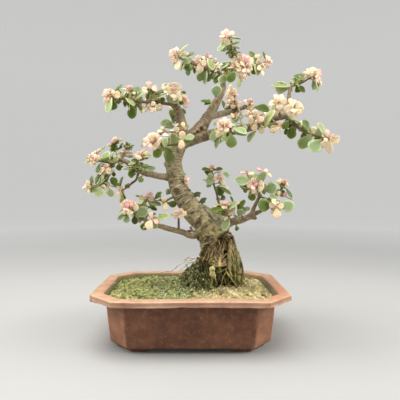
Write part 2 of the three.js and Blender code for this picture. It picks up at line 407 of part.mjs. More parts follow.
    stem: [[111.75, -7.72, 232.23, 2], [112.6, -9.5, 230.41, 1.83], [115.34, -11.4, 227.12, 1.66], [120.06, -15.2, 221.91, 1.49], [125.32, -19, 219.02, 1.31], [131.72, -22.8, 216.18, 1.14], [138.6, -26.6, 213.7, 0.97], [142.22, -30.4, 212.5, 0.8]],
    leaves: [
      [105.68, -10.92, 234.71, 98.29, -13.37, 225.46, 20.02, 8.56, 'd', 0],
      [104.83, -4.52, 227.69, 105.54, -0.17, 220.83, -10.85, 7.03, 'd', 0],
      [108.21, -11.73, 228.03, 107.91, -14.75, 213.84, 16.91, 10.58, 'd', 0],
      [118.93, -12.92, 226.84, 117.85, -13.07, 234.22, 49.63, 6.13, 'c', 0],
      [124.53, -17.86, 221.78, 119.7, -16.42, 234.32, 25.21, 10.26, 'd', 0],
      [128.28, -20.52, 220.05, 129.7, -21.63, 226.16, -8.49, 5.48, 'c', 0],
      [139, -29.86, 214.32, 129.26, -33.43, 227.45, 40.53, 12.49, 'g', 0],
      [125.56, -22.24, 217.54, 113.49, -26.23, 202.58, 33.27, 13.94, 'd', 0],
      [135.09, -27.68, 211.66, 120.99, -33.46, 199.09, 11.38, 14.14, 'g', 0],
      [129.52, -18.87, 216.49, 143.41, -16.02, 215.58, -68.45, 9.95, 'l', 0],
      [140.05, -33.25, 212.37, 138.21, -33.23, 221.69, -15.84, 4.81, 'p', 0],
      [143.02, -33.23, 211.14, 152.3, -32.54, 210.32, 14.33, 8.39, 'c', 0],
      [141.91, -33.24, 210.22, 141.97, -30.4, 196.22, 13.81, 7.15, 'c', 0],
      [139.63, -33.23, 210.84, 133.89, -30.4, 202.56, 8.38, 7.15, 'c', 0],
    ],
  },
  shoot_right_under: {
    stem: [[90.81, -2.61, 236.09, 1], [92.51, -11.4, 231.03, 0.85], [94.55, -15.2, 227.4, 0.7]],
    leaves: [
      [94.42, -17.1, 226.73, 83.58, -19.71, 220.38, 62.21, 9.73, 'c', 0],
      [95.52, -15.2, 226.43, 96.82, -15.69, 218.86, -59.48, 6.25, 'c', 0],
      [92.53, -8.46, 231.26, 84.42, -6.38, 227.63, 29.4, 7.26, 'd', 0],
    ],
  },
  branch_upper_left: {
    stem: [[-24.57, -1.22, 254.79, 2], [-32.29, -3.8, 255, 1.82], [-42.6, -9.5, 254.68, 1.63], [-55.88, -17.1, 253.24, 1.45], [-66.89, -24.7, 253.5, 1.27], [-75.27, -30.4, 253.33, 1.08], [-80.44, -36.1, 254.37, 0.9]],
    leaves: [
      [-80.39, -38.3, 255.87, -87.27, -39.15, 259.8, 3.86, 5, 'p', 0],
      [-82.45, -38.37, 255.02, -89.16, -39.25, 254.78, -6.5, 4.66, 'p', 0],
      [-79.16, -38.21, 255.48, -70.64, -36.1, 255.21, 10.16, 7.66, 'c', 0],
      [-83.72, -38.29, 252.96, -86.89, -36.1, 247, -15.16, 5, 'c', 0],
      [-79.86, -37.65, 252.29, -82.68, -41.1, 236.27, 42.15, 12.06, 'l', 0],
      [-77.32, -34.96, 259.12, -68.62, -36.15, 266.34, -59.56, 8.74, 'd', 0],
      [-64.6, -23.94, 263.2, -71.72, -24.25, 265.28, 67.11, 6.14, 'c', 0],
      [-63.26, -23.18, 262.38, -52.43, -21.83, 266.23, -36.89, 8.87, 'd', 0],
      [-59.43, -22.72, 253.57, -47.06, -26, 261.6, -54.08, 11.49, 'g', 0],
      [-67.56, -28.27, 254.47, -57.75, -30.97, 245.96, -60.28, 9.43, 'g', 0],
      [-69.18, -26.41, 252.38, -68.21, -26.04, 245.25, -59.85, 5.61, 'd', 0],
      [-73.96, -29.26, 252.17, -77.35, -29.34, 246.86, 43.62, 4.84, 'd', 0],
      [-60.24, -21.97, 247.68, -61.7, -24.81, 233.63, 6.38, 10.77, 'd', 0],
      [-56.76, -17.1, 249.72, -51.33, -16.89, 244.75, -43.2, 5.7, 'd', 0],
      [-52.22, -14.82, 248.05, -50.22, -14.54, 241.74, -43.07, 5.48, 'c', 0],
      [-45.05, -13.26, 269.56, -45.26, -14.53, 275.74, 12.49, 6.93, 'p', 0],
      [-43.1, -13.25, 268.67, -35.55, -12.25, 267.53, -13.64, 7.82, 'p', 0],
      [-42.13, -12.33, 261.54, -45.11, -14.29, 269.26, 25.94, 6.83, 'd', 0],
      [-41.53, -9.5, 263.46, -38.82, -9.71, 269.86, 0, 5.38, 'd', 0],
      [-47.44, -12.54, 256.59, -44.82, -12.11, 263.83, -26.22, 5.85, 'd', 0],
      [-39.18, -7.79, 262.12, -29.04, -8.66, 268.54, -57.58, 9.3, 'd', 0],
      [-35.47, -9.02, 262.43, -24.19, -11.57, 264.87, -63.34, 8.9, 'l', 0],
      [-35.07, -8.47, 257.45, -43.56, -10.58, 260.85, 19.04, 7.36, 'g', 0],
      [-37.03, -6.65, 261.25, -31.67, -7.12, 263.11, -43.85, 4.66, 'p', 0],
      [-30.29, -6.34, 254.38, -30.16, -8.06, 260.43, -9.22, 5.24, 'd', 0],
      [-43.71, -11.7, 248.61, -47.88, -10.37, 254.91, 2.82, 4.99, 'c', 0],
      [-42.37, -11.72, 249.49, -38.63, -11.66, 254.86, -6.25, 6.24, 'c', 0],
      [-42.19, -11.72, 248.24, -39.34, -13.49, 242.33, -3.74, 7.85, 'c', 0],
      [-39.01, -11.47, 247.23, -30.05, -9.5, 250.55, 17.73, 6.78, 'c', 0],
    ],
  },
  crown_upper_left: {
    stem: [[-16.14, -3.45, 253.4, 1.7], [-16.53, -11.4, 256.88, 1.43], [-17.97, -19, 260.2, 1.17], [-18.48, -26.6, 262.46, 0.9]],
    leaves: [
      [-21.66, -31.04, 262.75, -30.28, -27.23, 267.26, -9.53, 6.79, 'c', 0],
      [-17.41, -31.19, 259.32, -22.58, -35.68, 261.44, -11.54, 7.64, 'c', 0],
      [-16.4, -31.09, 258.5, -10.05, -33.62, 256.97, -0.96, 9.17, 'c', 0],
      [-17.42, -31.11, 258.24, -16.76, -34.38, 252.72, -14.15, 7.47, 'c', 0],
      [-24.52, -9.01, 254.62, -21.61, -13.04, 262.25, -0.24, 7.9, 'g', 0],
      [-21.01, -10.96, 254.32, -12.65, -15.59, 255.82, -11.02, 7.86, 'g', 0],
      [-7.43, -11.21, 255.15, -3.88, -9.01, 248.34, 9.99, 5, 'p', 0],
    ],
  },
  leaves_upper_left_limb: {
    stem: [[-16.06, 9.03, 246.44, 0.9], [-19.82, 19, 244.93, 0.8], [-19.65, 15.2, 237.73, 0.7]],
    leaves: [
      [-19.22, 17.1, 238.1, -23.78, 20.47, 253.53, 51.16, 11.77, 'd', 0],
      [-21.28, 17.1, 237.33, -35.15, 20.1, 237.9, 31.73, 10.49, 'd', 0],
      [-12.36, 11.13, 253.43, -5.29, 13.26, 247.3, -48.12, 7.46, 'd', 0],
    ],
  },
  crown_fork_left: {
    stem: [[-12.96, -8.95, 207.38, 1.6], [-13.05, -28.5, 206.01, 1.44], [-19.02, -38, 204.74, 1.28], [-25.23, -45.6, 203.72, 1.12], [-31.5, -49.4, 204.51, 0.96], [-36.28, -49.4, 206.47, 0.8]],
    leaves: [
      [-33.34, -52.97, 207.25, -27.06, -49.4, 207.56, 11.51, 6.29, 'p', 0],
      [-38.92, -53.23, 205.71, -46.02, -51.57, 208.54, -8.87, 5.6, 'p', 0],
      [-39.8, -53.08, 204.35, -46.82, -49.4, 202.69, 5.01, 5.17, 'p', 0],
      [-35.48, -53.13, 203.48, -36.81, -49.4, 196.77, 3.09, 5.95, 'p', 0],
      [-45.67, -47.4, 209.16, -48.39, -45.4, 200.66, 73.07, 6.83, 'g', 0],
      [-25.51, -47.92, 200.26, -25.77, -50.33, 210.81, 43.14, 8.41, 'g', 0],
      [-10.22, -31.14, 211.05, -23.25, -33.26, 211.64, 0.3, 10.33, 'l', 0],
      [-13.28, -28.5, 206.24, -21.56, -27.69, 204.18, 36.71, 6.55, 'g', 0],
      [-27.39, -49.01, 200.12, -35.8, -51.72, 191.13, 5.87, 9.46, 'd', 0],
      [-24.24, -47.18, 199.35, -17.95, -50.57, 184.92, -34.82, 11.86, 'o', 0],
      [-25.32, -45.6, 199.98, -26.13, -45.25, 190.56, 73.04, 6.86, 'g', 0],
      [-21.39, -43.46, 212.76, -28, -44.95, 213.58, 50.24, 5.58, 'p', 0],
    ],
  },
  shoot_fork_centre: {
    stem: [[-6.17, -8.45, 212.94, 1.1], [-7.02, -36.1, 210.4, 0.9], [-8.34, -45.6, 208.91, 0.7]],
    leaves: [
      [-8.47, -47.5, 209.06, -8.08, -49.27, 216.81, -6.96, 6.6, 'c', 0],
      [-7.61, -42.85, 209.62, 3.71, -45.41, 211.88, -35.74, 8.96, 'g', 0],
      [-8.39, -47.5, 208.27, -9.73, -49.53, 198.93, 25.23, 7.55, 'c', 0],
    ],
  },
  shoot_fork_top: {
    stem: [[-8.92, -6.41, 222.89, 1.2], [-7.57, -26.6, 222.22, 1.08], [-12.92, -32.3, 219.62, 0.95], [-19.11, -36.1, 218.07, 0.83], [-24.72, -39.9, 216.98, 0.7]],
    leaves: [
      [-7.16, -28.87, 222.88, -8.41, -30.36, 229.21, 23.35, 5.53, 'c', 0],
      [-14.69, -33.82, 215.64, -20.72, -32.97, 220.42, 34.65, 6.2, 'c', 0],
      [-25.84, -39.9, 222.43, -16.5, -39.04, 223.04, -40.38, 7.22, 'o', 0],
      [-27.63, -39.9, 217.34, -33.54, -40.24, 218.09, 40.97, 4.91, 'c', 0],
      [-28.44, -38, 216.63, -35.31, -36.52, 217.01, 52.58, 5.18, 'l', 0],
    ],
  },
  shoot_mid_left_tip: {
    stem: [[-86.71, -5.06, 188.53, 1.3], [-88.39, -11.4, 189.32, 1.2], [-92.83, -17.1, 189.44, 1.1], [-97.1, -22.8, 189.87, 1], [-99.37, -28.5, 191.06, 0.9], [-100.67, -32.3, 192.29, 0.8]],
    leaves: [
      [-99.47, -33.42, 191.27, -94.99, -34.09, 195.01, -10.37, 4.91, 'p', 0],
      [-98.12, -33.36, 190.73, -92.2, -31.16, 192.77, 4.41, 5.36, 'c', 0],
      [-103.09, -34.3, 190.96, -107.18, -35.7, 186.35, 39.13, 4.88, 'l', 0],
      [-94.64, -23.32, 191.78, -83.52, -26.04, 197.91, -41.22, 9.5, 'l', 0],
      [-85.64, -10.77, 195.3, -82.9, -11.01, 201.33, -47.25, 5.1, 'l', 0],
      [-83.41, -7.56, 189.8, -92.97, -9.87, 192.59, 47.92, 8.1, 'l', 0],
      [-84.29, -7.56, 189.32, -77.86, -9.72, 196.85, -37.06, 7.55, 'l', 0],
    ],
  },
  shoot_mid_left_up: {
    stem: [[-80.74, 0.83, 195.49, 1.3], [-81.88, 1.9, 199.66, 1.18], [-83.49, 3.8, 205.35, 1.05], [-84.49, 3.8, 209.84, 0.93], [-83.73, 0, 212.3, 0.8]],
    leaves: [
      [-82.66, -1.11, 214.02, -81.96, -2.15, 218.63, -5.5, 5.32, 'c', 0],
      [-83.25, 1.31, 209.91, -78.76, -0.38, 216.1, -47.75, 5.9, 'd', 0],
      [-84.64, 3.8, 206.75, -90.82, 3.33, 209.48, 37.37, 5.29, 'd', 0],
      [-84.64, 3.8, 205.25, -89.57, 1.21, 203.95, 4.79, 4.89, 'd', 0],
      [-80.15, 3.8, 206.25, -74.87, 2.98, 212.52, -62.54, 6.3, 'd', 0],
    ],
  },
  shoot_mid_left_up2: {
    stem: [[-75.42, 2.18, 194.68, 1.2], [-75.86, 5.7, 198.57, 1.1], [-74.78, 9.5, 202.51, 1], [-72.76, 9.5, 205.54, 0.9], [-71.42, 7.6, 207.83, 0.8]],
    leaves: [
      [-71.49, 7.98, 207.27, -63.63, 7.3, 210.81, -63.64, 6.58, 'd', 0],
      [-71.93, 7.6, 208.23, -72.51, 7.51, 214.56, 59.69, 4.9, 'd', 0],
      [-71.73, 10, 207.53, -69.32, 11.39, 213.49, -50.29, 4.88, 'd', 0],
    ],
  },
  shoot_mid_left_inner: {
    stem: [[-61.67, -7.48, 184.5, 1.2], [-59.2, -17.1, 187.17, 1.07], [-54.61, -22.8, 190.9, 0.93], [-51.31, -26.6, 194.7, 0.8]],
    leaves: [
      [-52.84, -28.23, 195.36, -54.24, -30.08, 190.86, 3.73, 7.37, 'c', 0],
      [-49.92, -26.6, 193.69, -40.73, -26.06, 194.02, -72.94, 6.97, 'l', 0],
      [-52.32, -25.3, 190.11, -61.9, -27.49, 189.45, 61.85, 7.65, 'o', 0],
      [-59.9, -15.57, 185.77, -49.15, -17.87, 185.69, -30.83, 8.05, 'g', 0],
      [-56.6, -19.38, 187.83, -66.11, -18.81, 186.46, 64.43, 7.33, 'l', 0],
      [-61.99, -7.48, 182.53, -73.59, -7.7, 182.81, 72.64, 7.32, 'l', 0],
      [-62.35, -5.08, 181.09, -69.76, -7.41, 183.8, 102.99, 5.83, 'd', 0],
      [-59.69, -9.88, 176.58, -67.04, -16.12, 176.71, 5.33, 8.58, 'd', 0],
      [-53.13, -9.88, 178.6, -46.98, -11.39, 181.88, -49.23, 5.28, 'l', 0],
      [-49.02, -18.92, 183.15, -37.39, -16.29, 182.39, -61.04, 9.17, 'd', 0],
      [-48.43, -21.75, 181.67, -37.23, -21.99, 180.79, -50.44, 7.58, 'g', 0],
    ],
  },
  leaf_mid_left_under: {
    stem: [[-50.61, -9.06, 176.4, 0.9], [-53.04, -17.1, 173.05, 0.8], [-54.31, -20.9, 172.78, 0.7]],
    leaves: [
      [-54.24, -22.8, 172.6, -49.95, -27.11, 167.5, -11.63, 6.16, 'd', 0],
    ],
  },
  leaf_mid_left_low: {
    stem: [[-80.44, 3.13, 191.45, 0.9], [-81.6, 9.5, 189.78, 0.7]],
    leaves: [
      [-82.12, 11.4, 189.94, -82.54, 16.24, 182.33, 11.68, 7.51, 'd', 0],
    ],
  },
  shoot_mid_left_hang: {
    stem: [[-87.42, -6.4, 183.95, 1.1], [-86.67, -17.1, 183.76, 0.9], [-88.07, -26.6, 183.7, 0.7]],
    leaves: [
      [-94.31, -28.5, 185.99, -95.19, -30.54, 176.72, 33.76, 7.12, 'd', 0],
      [-88.33, -28.5, 181.99, -93.73, -30.51, 174.89, 61.48, 7.49, 'c', 0],
      [-87.23, -24.78, 183.19, -83.97, -26.53, 175.66, -53.21, 6.53, 'c', 0],
      [-89.59, -26.6, 177.04, -93.76, -25.81, 166.9, 56.93, 8.4, 'g', 0],
    ],
  },
  branch_mid_left_down: {
    stem: [[-89.84, -7.74, 174, 1.5], [-89.46, -15.2, 170.19, 1.36], [-91.44, -19, 166.74, 1.22], [-94.77, -24.7, 164.93, 1.08], [-98.42, -30.4, 163.4, 0.94], [-101.76, -34.2, 162.72, 0.8]],
    leaves: [
      [-101.19, -33.44, 164.37, -99.69, -33.95, 173.89, -53.05, 7.41, 'd', 0],
      [-98.4, -26.51, 165.95, -96.55, -24.65, 174.18, -35.66, 6.51, 'd', 0],
      [-94.22, -28.09, 162.68, -91.82, -36.1, 152.03, -3.3, 10.96, 'g', 0],
      [-85.64, -21.42, 161.42, -81.91, -23.55, 152.34, -11.18, 7.43, 'g', 0],
    ],
  },
  branch_mid_left_lower: {
    stem: [[-57.56, -2.38, 178.67, 1.6], [-61.36, 7.6, 171.61, 1.44], [-66.59, 5.7, 167.02, 1.28], [-70.63, 0, 162.4, 1.12], [-74.39, -3.8, 159.88, 0.96], [-76.37, -7.6, 158.47, 0.8]],
    leaves: [
      [-77.7, -6.46, 162.66, -73.8, -6.56, 174.72, -70.91, 9.75, 'd', 0],
      [-77.58, -7.6, 158.76, -80.22, -7.51, 164.29, 62.29, 5.01, 'p', 0],
      [-77.2, -9.6, 157.77, -80.96, -11.09, 152.37, 65.83, 5.54, 'p', 0],
      [-75.94, -7.6, 156.82, -75.31, -7.83, 145.09, -69.26, 9.04, 'l', 0],
      [-72.31, -1.14, 162.28, -68.16, -1.81, 167.48, -63.59, 5.08, 'd', 0],
    ],
  },
  shoot_low_left_ball: {
    stem: [[-54.14, -13.55, 130.45, 1.8], [-56.88, -19, 132.43, 1.5], [-59.82, -20.9, 134.68, 1.2], [-63.19, -26.6, 139.72, 0.9]],
    leaves: [
      [-65.77, -30.03, 143.41, -67.19, -31.5, 149.56, 13.02, 7.23, 'p', 0],
      [-63.03, -30.16, 139.23, -61.76, -31.53, 133.54, -10.41, 6.7, 'c', 0],
      [-59.5, -29.95, 142.36, -53.25, -31.16, 140.2, -2.33, 6.71, 'c', 0],
      [-60.95, -30.02, 143.93, -57.4, -31.35, 147.83, -2.79, 6.18, 'p', 0],
      [-57.45, -21.7, 131.4, -45.04, -25.42, 140.95, -2.31, 12.2, 'g', 0],
      [-55.85, -25.46, 144.34, -50.02, -25.45, 147.1, -59.38, 4.96, 'l', 0],
      [-54.81, -21.5, 143.17, -50.59, -20.12, 147.65, -55.91, 4.83, 'd', 0],
      [-67.08, -25.46, 134.8, -76.41, -25.44, 128.97, 60.15, 8.46, 'd', 0],
      [-65.67, -23.75, 133.12, -66.77, -27.86, 125.23, 3.71, 7.45, 'g', 0],
      [-59.32, -19.95, 132.38, -58.99, -19.3, 123.08, -5.06, 7.12, 'o', 0],
    ],
  },
  shoot_low_left_crown: {
    stem: [[-48.66, -3.2, 127.16, 1.2], [-51.09, 11.4, 133.08, 1.1], [-52.78, 13.3, 141.15, 1], [-50.46, 9.5, 147.04, 0.9], [-49.09, 5.7, 150.25, 0.8]],
    leaves: [
      [-48.15, 4.42, 149.86, -40.17, 5.7, 148.59, -4.06, 5.59, 'c', 0],
      [-44.74, 4.54, 152.15, -40.86, 3.46, 150.44, 17.31, 5.02, 'p', 0],
      [-47.34, 7.4, 146.38, -33.07, 4.23, 143.13, -62.32, 11.09, 'l', 0],
      [-40.28, 5.7, 149.28, -33.33, 6.09, 158.21, -52.97, 8.72, 'd', 0],
      [-47.91, 12.54, 141.05, -38.27, 11.33, 137.03, -59.08, 7.98, 'd', 0],
      [-50.15, 2.1, 128.32, -46.67, 3.5, 133.47, -53.2, 4.89, 'd', 0],
    ],
  },
  shoot_low_left_front: {
    stem: [[-38.04, -6.92, 121.72, 1.2], [-38.83, -19, 123.81, 1], [-39.41, -26.6, 128.1, 0.8]],
    leaves: [
      [-40.15, -28.6, 128.65, -44.52, -30.8, 119.18, 5.51, 9.04, 'c', 0],
      [-40.15, -28.6, 129.7, -41.75, -30.29, 137.24, 37.95, 6.29, 'p', 0],
      [-38.68, -28.6, 128.65, -32.98, -30.03, 125.39, -16.55, 5.34, 'p', 0],
      [-38.39, -25.08, 127.36, -36.16, -25.11, 118.77, -6.58, 6.83, 'g', 0],
      [-36.13, -26.6, 129.57, -21.99, -28.13, 133.04, -54.99, 11.12, 'l', 0],
      [-46.94, -24.6, 126.26, -50.89, -21.17, 117.23, 3.18, 7.86, 'd', 0],
      [-41.63, -24.6, 132.64, -36.23, -23.27, 135.01, -54.4, 4.65, 'd', 0],
    ],
  },
  shoot_trunk_left: {
    stem: [[-18.96, -1.69, 151.86, 1.4], [-22.42, -3.8, 150.34, 1.2], [-26.92, -7.6, 147.6, 1], [-29.42, -11.4, 146.02, 0.8]],
    leaves: [
      [-27.19, -10.16, 147.81, -29.37, -15.07, 151.7, 10.54, 6.06, 'c', 0],
      [-27.73, -11.96, 145.65, -27.28, -13.77, 137.5, -28.64, 6.75, 'c', 0],
      [-25.42, -5, 145.5, -15.71, -2.22, 143.19, -4.88, 8.14, 'd', 0],
    ],
  },
  leaf_trunk_left: {
    stem: [[-20.45, 10.55, 157.22, 0.9], [-21.51, 11.4, 156.87, 0.7]],
    leaves: [
    ],
  },
  shoot_low_left_upright: {
    stem: [[-13.18, -6.56, 118.46, 1.5], [-13.07, -7.6, 122.94, 1.3], [-12.94, -11.4, 129.82, 1.1], [-11.84, -15.2, 133.42, 0.9]],
    leaves: [
      [-12.67, -16.5, 134.36, -21.74, -15.2, 133.2, 11.07, 4.77, 'c', 0],
      [-11.05, -16.49, 135.98, -9.83, -17.43, 140.14, -17.94, 4.77, 'p', 0],
      [-9.96, -16.49, 134.9, -3.79, -15.2, 134.29, -8.53, 5.31, 'c', 0],
      [-11.04, -16.51, 133.81, -9.92, -18.21, 129.37, -2.79, 6.94, 'c', 0],
    ],
  },
  bud_trunk_base: {
    stem: [[4.44, 1.87, 111.44, 0.9], [2.27, 9.5, 114, 0.7]],
    leaves: [
      [1.98, 8.74, 113.5, -5.07, 9.47, 113.2, 63.94, 5.41, 'd', 0],
    ],
  },
  bud_trunk_right_top: {
    stem: [[-7.75, -4.22, 169.88, 0.9], [-6.25, -5.7, 169.38, 0.7]],
    leaves: [
      [-10.87, -2.12, 176.18, -4.49, -0.7, 177.35, -40.31, 4.99, 'g', 0],
      [-6.25, -5.7, 169.11, -1.09, -6.07, 172.71, -36.16, 5.17, 'p', 0],
    ],
  },
  leaf_trunk_right_mid: {
    stem: [[6.4, 3.8, 152.96, 0.9], [8.9, 3.8, 152.96, 0.7]],
    leaves: [
      [0.27, 3.8, 152.79, 11.41, 4.93, 156.87, -61.5, 9.1, 'o', 0],
    ],
  },
  leaf_trunk_right_low: {
    stem: [[13.52, 12.96, 144.94, 0.9], [15.14, 14.52, 146.02, 0.7]],
    leaves: [
      [8.04, 12.96, 141.03, 18.06, 12.88, 150.87, -62.42, 10.81, 'o', 0],
    ],
  },
  shoot_centre: {
    stem: [[32.13, 11.58, 134.2, 1.7], [32.9, 11.4, 140.32, 1.55], [31.29, 15.2, 148.76, 1.4], [29.57, 15.2, 156.37, 1.25], [26.91, 15.2, 164.93, 1.1], [26.01, 11.4, 172.37, 0.95], [24.19, 7.6, 180.43, 0.8]],
    leaves: [
      [23.45, 7.6, 183.24, 12.21, 6.76, 183.36, 57.55, 8.63, 'd', 0],
      [25.5, 7.6, 182.49, 36.18, 6.8, 183.37, -55.91, 8.3, 'd', 0],
      [23.45, 7.6, 184.73, 17.45, 7.14, 185.26, 64.75, 4.92, 'c', 0],
      [25.53, 8.15, 174.85, 19.34, 3.7, 176.86, 2.34, 6.36, 'g', 0],
      [28.46, 9.98, 171.18, 16.43, 5.1, 170.06, 0.41, 10.15, 'g', 0],
      [34.51, 17.43, 148.54, 40.06, 21.72, 152.92, -3.02, 6.5, 'd', 0],
      [32.87, 8.6, 175.81, 34.86, 7.8, 180.82, 4.78, 5.43, 'p', 0],
      [34.75, 8.72, 172.07, 38.14, 11.02, 163.31, -12.38, 5.43, 'c', 0],
      [36.05, 10.78, 180.07, 44.94, 12.99, 175.09, -38.88, 7.72, 'g', 0],
      [32.43, 15.2, 163.78, 47.08, 15.28, 155.22, -68.64, 13.05, 'd', 0],
    ],
  },
  shoot_right_low_front: {
    stem: [[45.16, -1.4, 125.32, 1.3], [41.23, -19, 129.05, 1.13], [37.01, -26.6, 134.69, 0.97], [35.37, -30.4, 140.83, 0.8]],
    leaves: [
      [33.24, -32.4, 140.73, 19.89, -35.4, 137.48, 65.28, 10.48, 'd', 0],
      [38.46, -30.95, 138.98, 47.61, -33.8, 147.86, -63.7, 9.98, 'l', 0],
      [43.67, -28.4, 146.57, 41.44, -26.84, 153.24, 58.92, 5.45, 'd', 0],
      [35.53, -25.84, 132.76, 31.1, -29.57, 137.56, 3.52, 5.85, 'd', 0],
      [38.83, -27.28, 134.21, 45.12, -29.15, 139.76, -47.97, 6.98, 'c', 0],
      [38.98, -25.79, 132.75, 35.58, -27.14, 127.68, 57.67, 5.01, 'c', 0],
      [41.01, -22.82, 130.86, 34.63, -26.26, 116.79, 51.61, 12.02, 'l', 0],
      [44.74, -20.52, 133.34, 50, -20.25, 129.83, -52.19, 4.84, 'g', 0],
    ],
  },
  shoot_right_low_mid: {
    stem: [[57.13, -3.19, 128.57, 1], [54.19, -17.1, 132.45, 0.85], [52.18, -19, 136.93, 0.7]],
    leaves: [
      [50.38, -19.32, 131.52, 53.71, -25.05, 139.61, -1.28, 8.57, 'g', 0],
      [50.4, -17.1, 138.43, 56.96, -14.28, 149.66, -62.07, 9.87, 'd', 0],
      [56.2, -18.43, 136.73, 62.44, -18.87, 141.48, -35.95, 6.07, 'l', 0],
    ],
  },
  leaf_right_low_under: {
    stem: [[50.8, 3.92, 120.49, 0.9], [51.52, 4.29, 118.12, 0.7]],
    leaves: [
      [50.66, 3.92, 121.3, 52.23, 4.63, 113.91, -22.57, 5.74, 'd', 0],
    ],
  },
  branch_right_low_top: {
    stem: [[72.78, -16.71, 155.56, 2], [71.44, -19, 157.94, 1.63], [69.55, -24.7, 160.91, 1.27], [66.57, -30.4, 163.11, 0.9]],
    leaves: [
      [62.42, -33.95, 164.37, 56.17, -35.21, 164.34, -0.81, 6.57, 'p', 0],
      [64.1, -33.99, 161.85, 64.18, -33.53, 154.94, -8.72, 5.56, 'p', 0],
      [67.64, -33.95, 166.06, 73.47, -35.19, 167.03, -4.89, 6.57, 'p', 0],
      [68.49, -33.93, 163.53, 74.81, -32.62, 161.03, 17.68, 6.57, 'c', 0],
      [61.98, -32.5, 169.49, 44.28, -36.32, 167.49, 30.09, 13.35, 'g', 0],
      [74.06, -30.37, 167.87, 69.21, -41.86, 177.2, 4.96, 13.27, 'g', 0],
      [76.86, -21.26, 159.49, 88.93, -29.31, 162.79, -8.64, 13.23, 'g', 0],
      [60.1, -28.3, 160.25, 54.22, -25.1, 158.58, 11.95, 5.81, 'd', 0],
      [63.36, -29.26, 159.38, 62.48, -28.36, 148.11, 16.92, 8.7, 'd', 0],
    ],
  },
  shoot_right_low_right: {
    stem: [[83.03, -16.59, 148.57, 1.2], [85.75, -22.8, 145.34, 1], [87.83, -30.4, 141.68, 0.8]],
    leaves: [
      [82.87, -25.74, 142.22, 68.19, -37.47, 144.75, 4.3, 14.46, 'd', 0],
      [87.54, -30.92, 143.23, 82.57, -32.72, 150.04, 33.09, 6.72, 'c', 0],
      [86.69, -30.92, 142.38, 79.8, -32.2, 144.28, 2.85, 5.77, 'c', 0],
      [88.56, -32.4, 143.27, 94.21, -36.22, 142.37, -6.03, 6.6, 'c', 0],
      [88.05, -32.4, 140.73, 87.51, -34.74, 130.22, 19.44, 8.74, 'c', 0],
      [91.91, -30.4, 145.76, 103.73, -38.13, 140.77, -10.9, 13.43, 'g', 0],
      [92.14, -25.84, 149.1, 81.13, -25.85, 153.23, 44.5, 9.05, 'g', 0],
    ],
  },
  shoot_right_low_end: {
    stem: [[82.88, -13.62, 150.26, 1], [87.9, -7.6, 152.65, 0.94], [93.72, -3.8, 153.36, 0.88], [99.64, 0, 158.12, 0.82], [102.39, 0, 163.63, 0.76], [101.45, -3.8, 167.18, 0.7]],
    leaves: [
      [104.37, -1.97, 161.58, 97.92, -3.76, 167, 34.98, 6.27, 'd', 0],
      [100.27, -3.8, 167.91, 93.72, -3.8, 169.91, 62.28, 5.61, 'c', 0],
      [106.06, 0, 160.88, 111.92, -1.04, 150.61, -57.86, 9.21, 'd', 0],
      [97.42, -4.34, 153.73, 94.33, -7.45, 158.41, 8.67, 5.27, 'c', 0],
      [101.05, 0.15, 152.07, 102.39, 1.86, 159.8, -29.3, 5.97, 'd', 0],
    ],
  },
  shoot_mid_small: {
    stem: [[56.08, 39.49, 256.07, 1.1], [54.98, 30.4, 252.01, 0.9], [51.17, 15.2, 245.62, 0.7]],
    leaves: [
      [50.83, 13.3, 244.75, 44.6, 9.44, 243.59, 8.34, 6.06, 'c', 0],
      [51.41, 13.3, 244.75, 55.5, 9.83, 243.9, -0.42, 5.01, 'c', 0],
      [61.03, 23.8, 244.89, 48.76, 20.86, 238.29, 59.88, 10.29, 'g', 0],
    ],
  },
};

// ---------------------------------------------------------------- pot

// chamfered rectangle, counter-clockwise seen from above
function octagon(length, depth, cut, z) {
  const x = length / 2;
  const y = depth / 2;
  return [
    V(x, -y + cut, z), V(x, y - cut, z), V(x - cut, y, z), V(-x + cut, y, z),
    V(-x, y - cut, z), V(-x, -y + cut, z), V(-x + cut, -y, z), V(x - cut, -y, z),
  ];
}

// inside of the pot at height z: the wall leans out slightly up to the moss, then flares to the rim
function inside(z, inset = 0) {
  let i = 1;
  while (i < INSIDE.length - 1 && z > INSIDE[i][0]) i += 1;
  const a = INSIDE[i - 1];
  const b = INSIDE[i];
  const t = (z - a[0]) / (b[0] - a[0]);
  const k = [1, 2, 3].map((q) => a[q] + (b[q] - a[q]) * t);
  return [k[0] - 2 * inset, k[1] - 2 * inset, k[2] - 0.59 * inset];
}

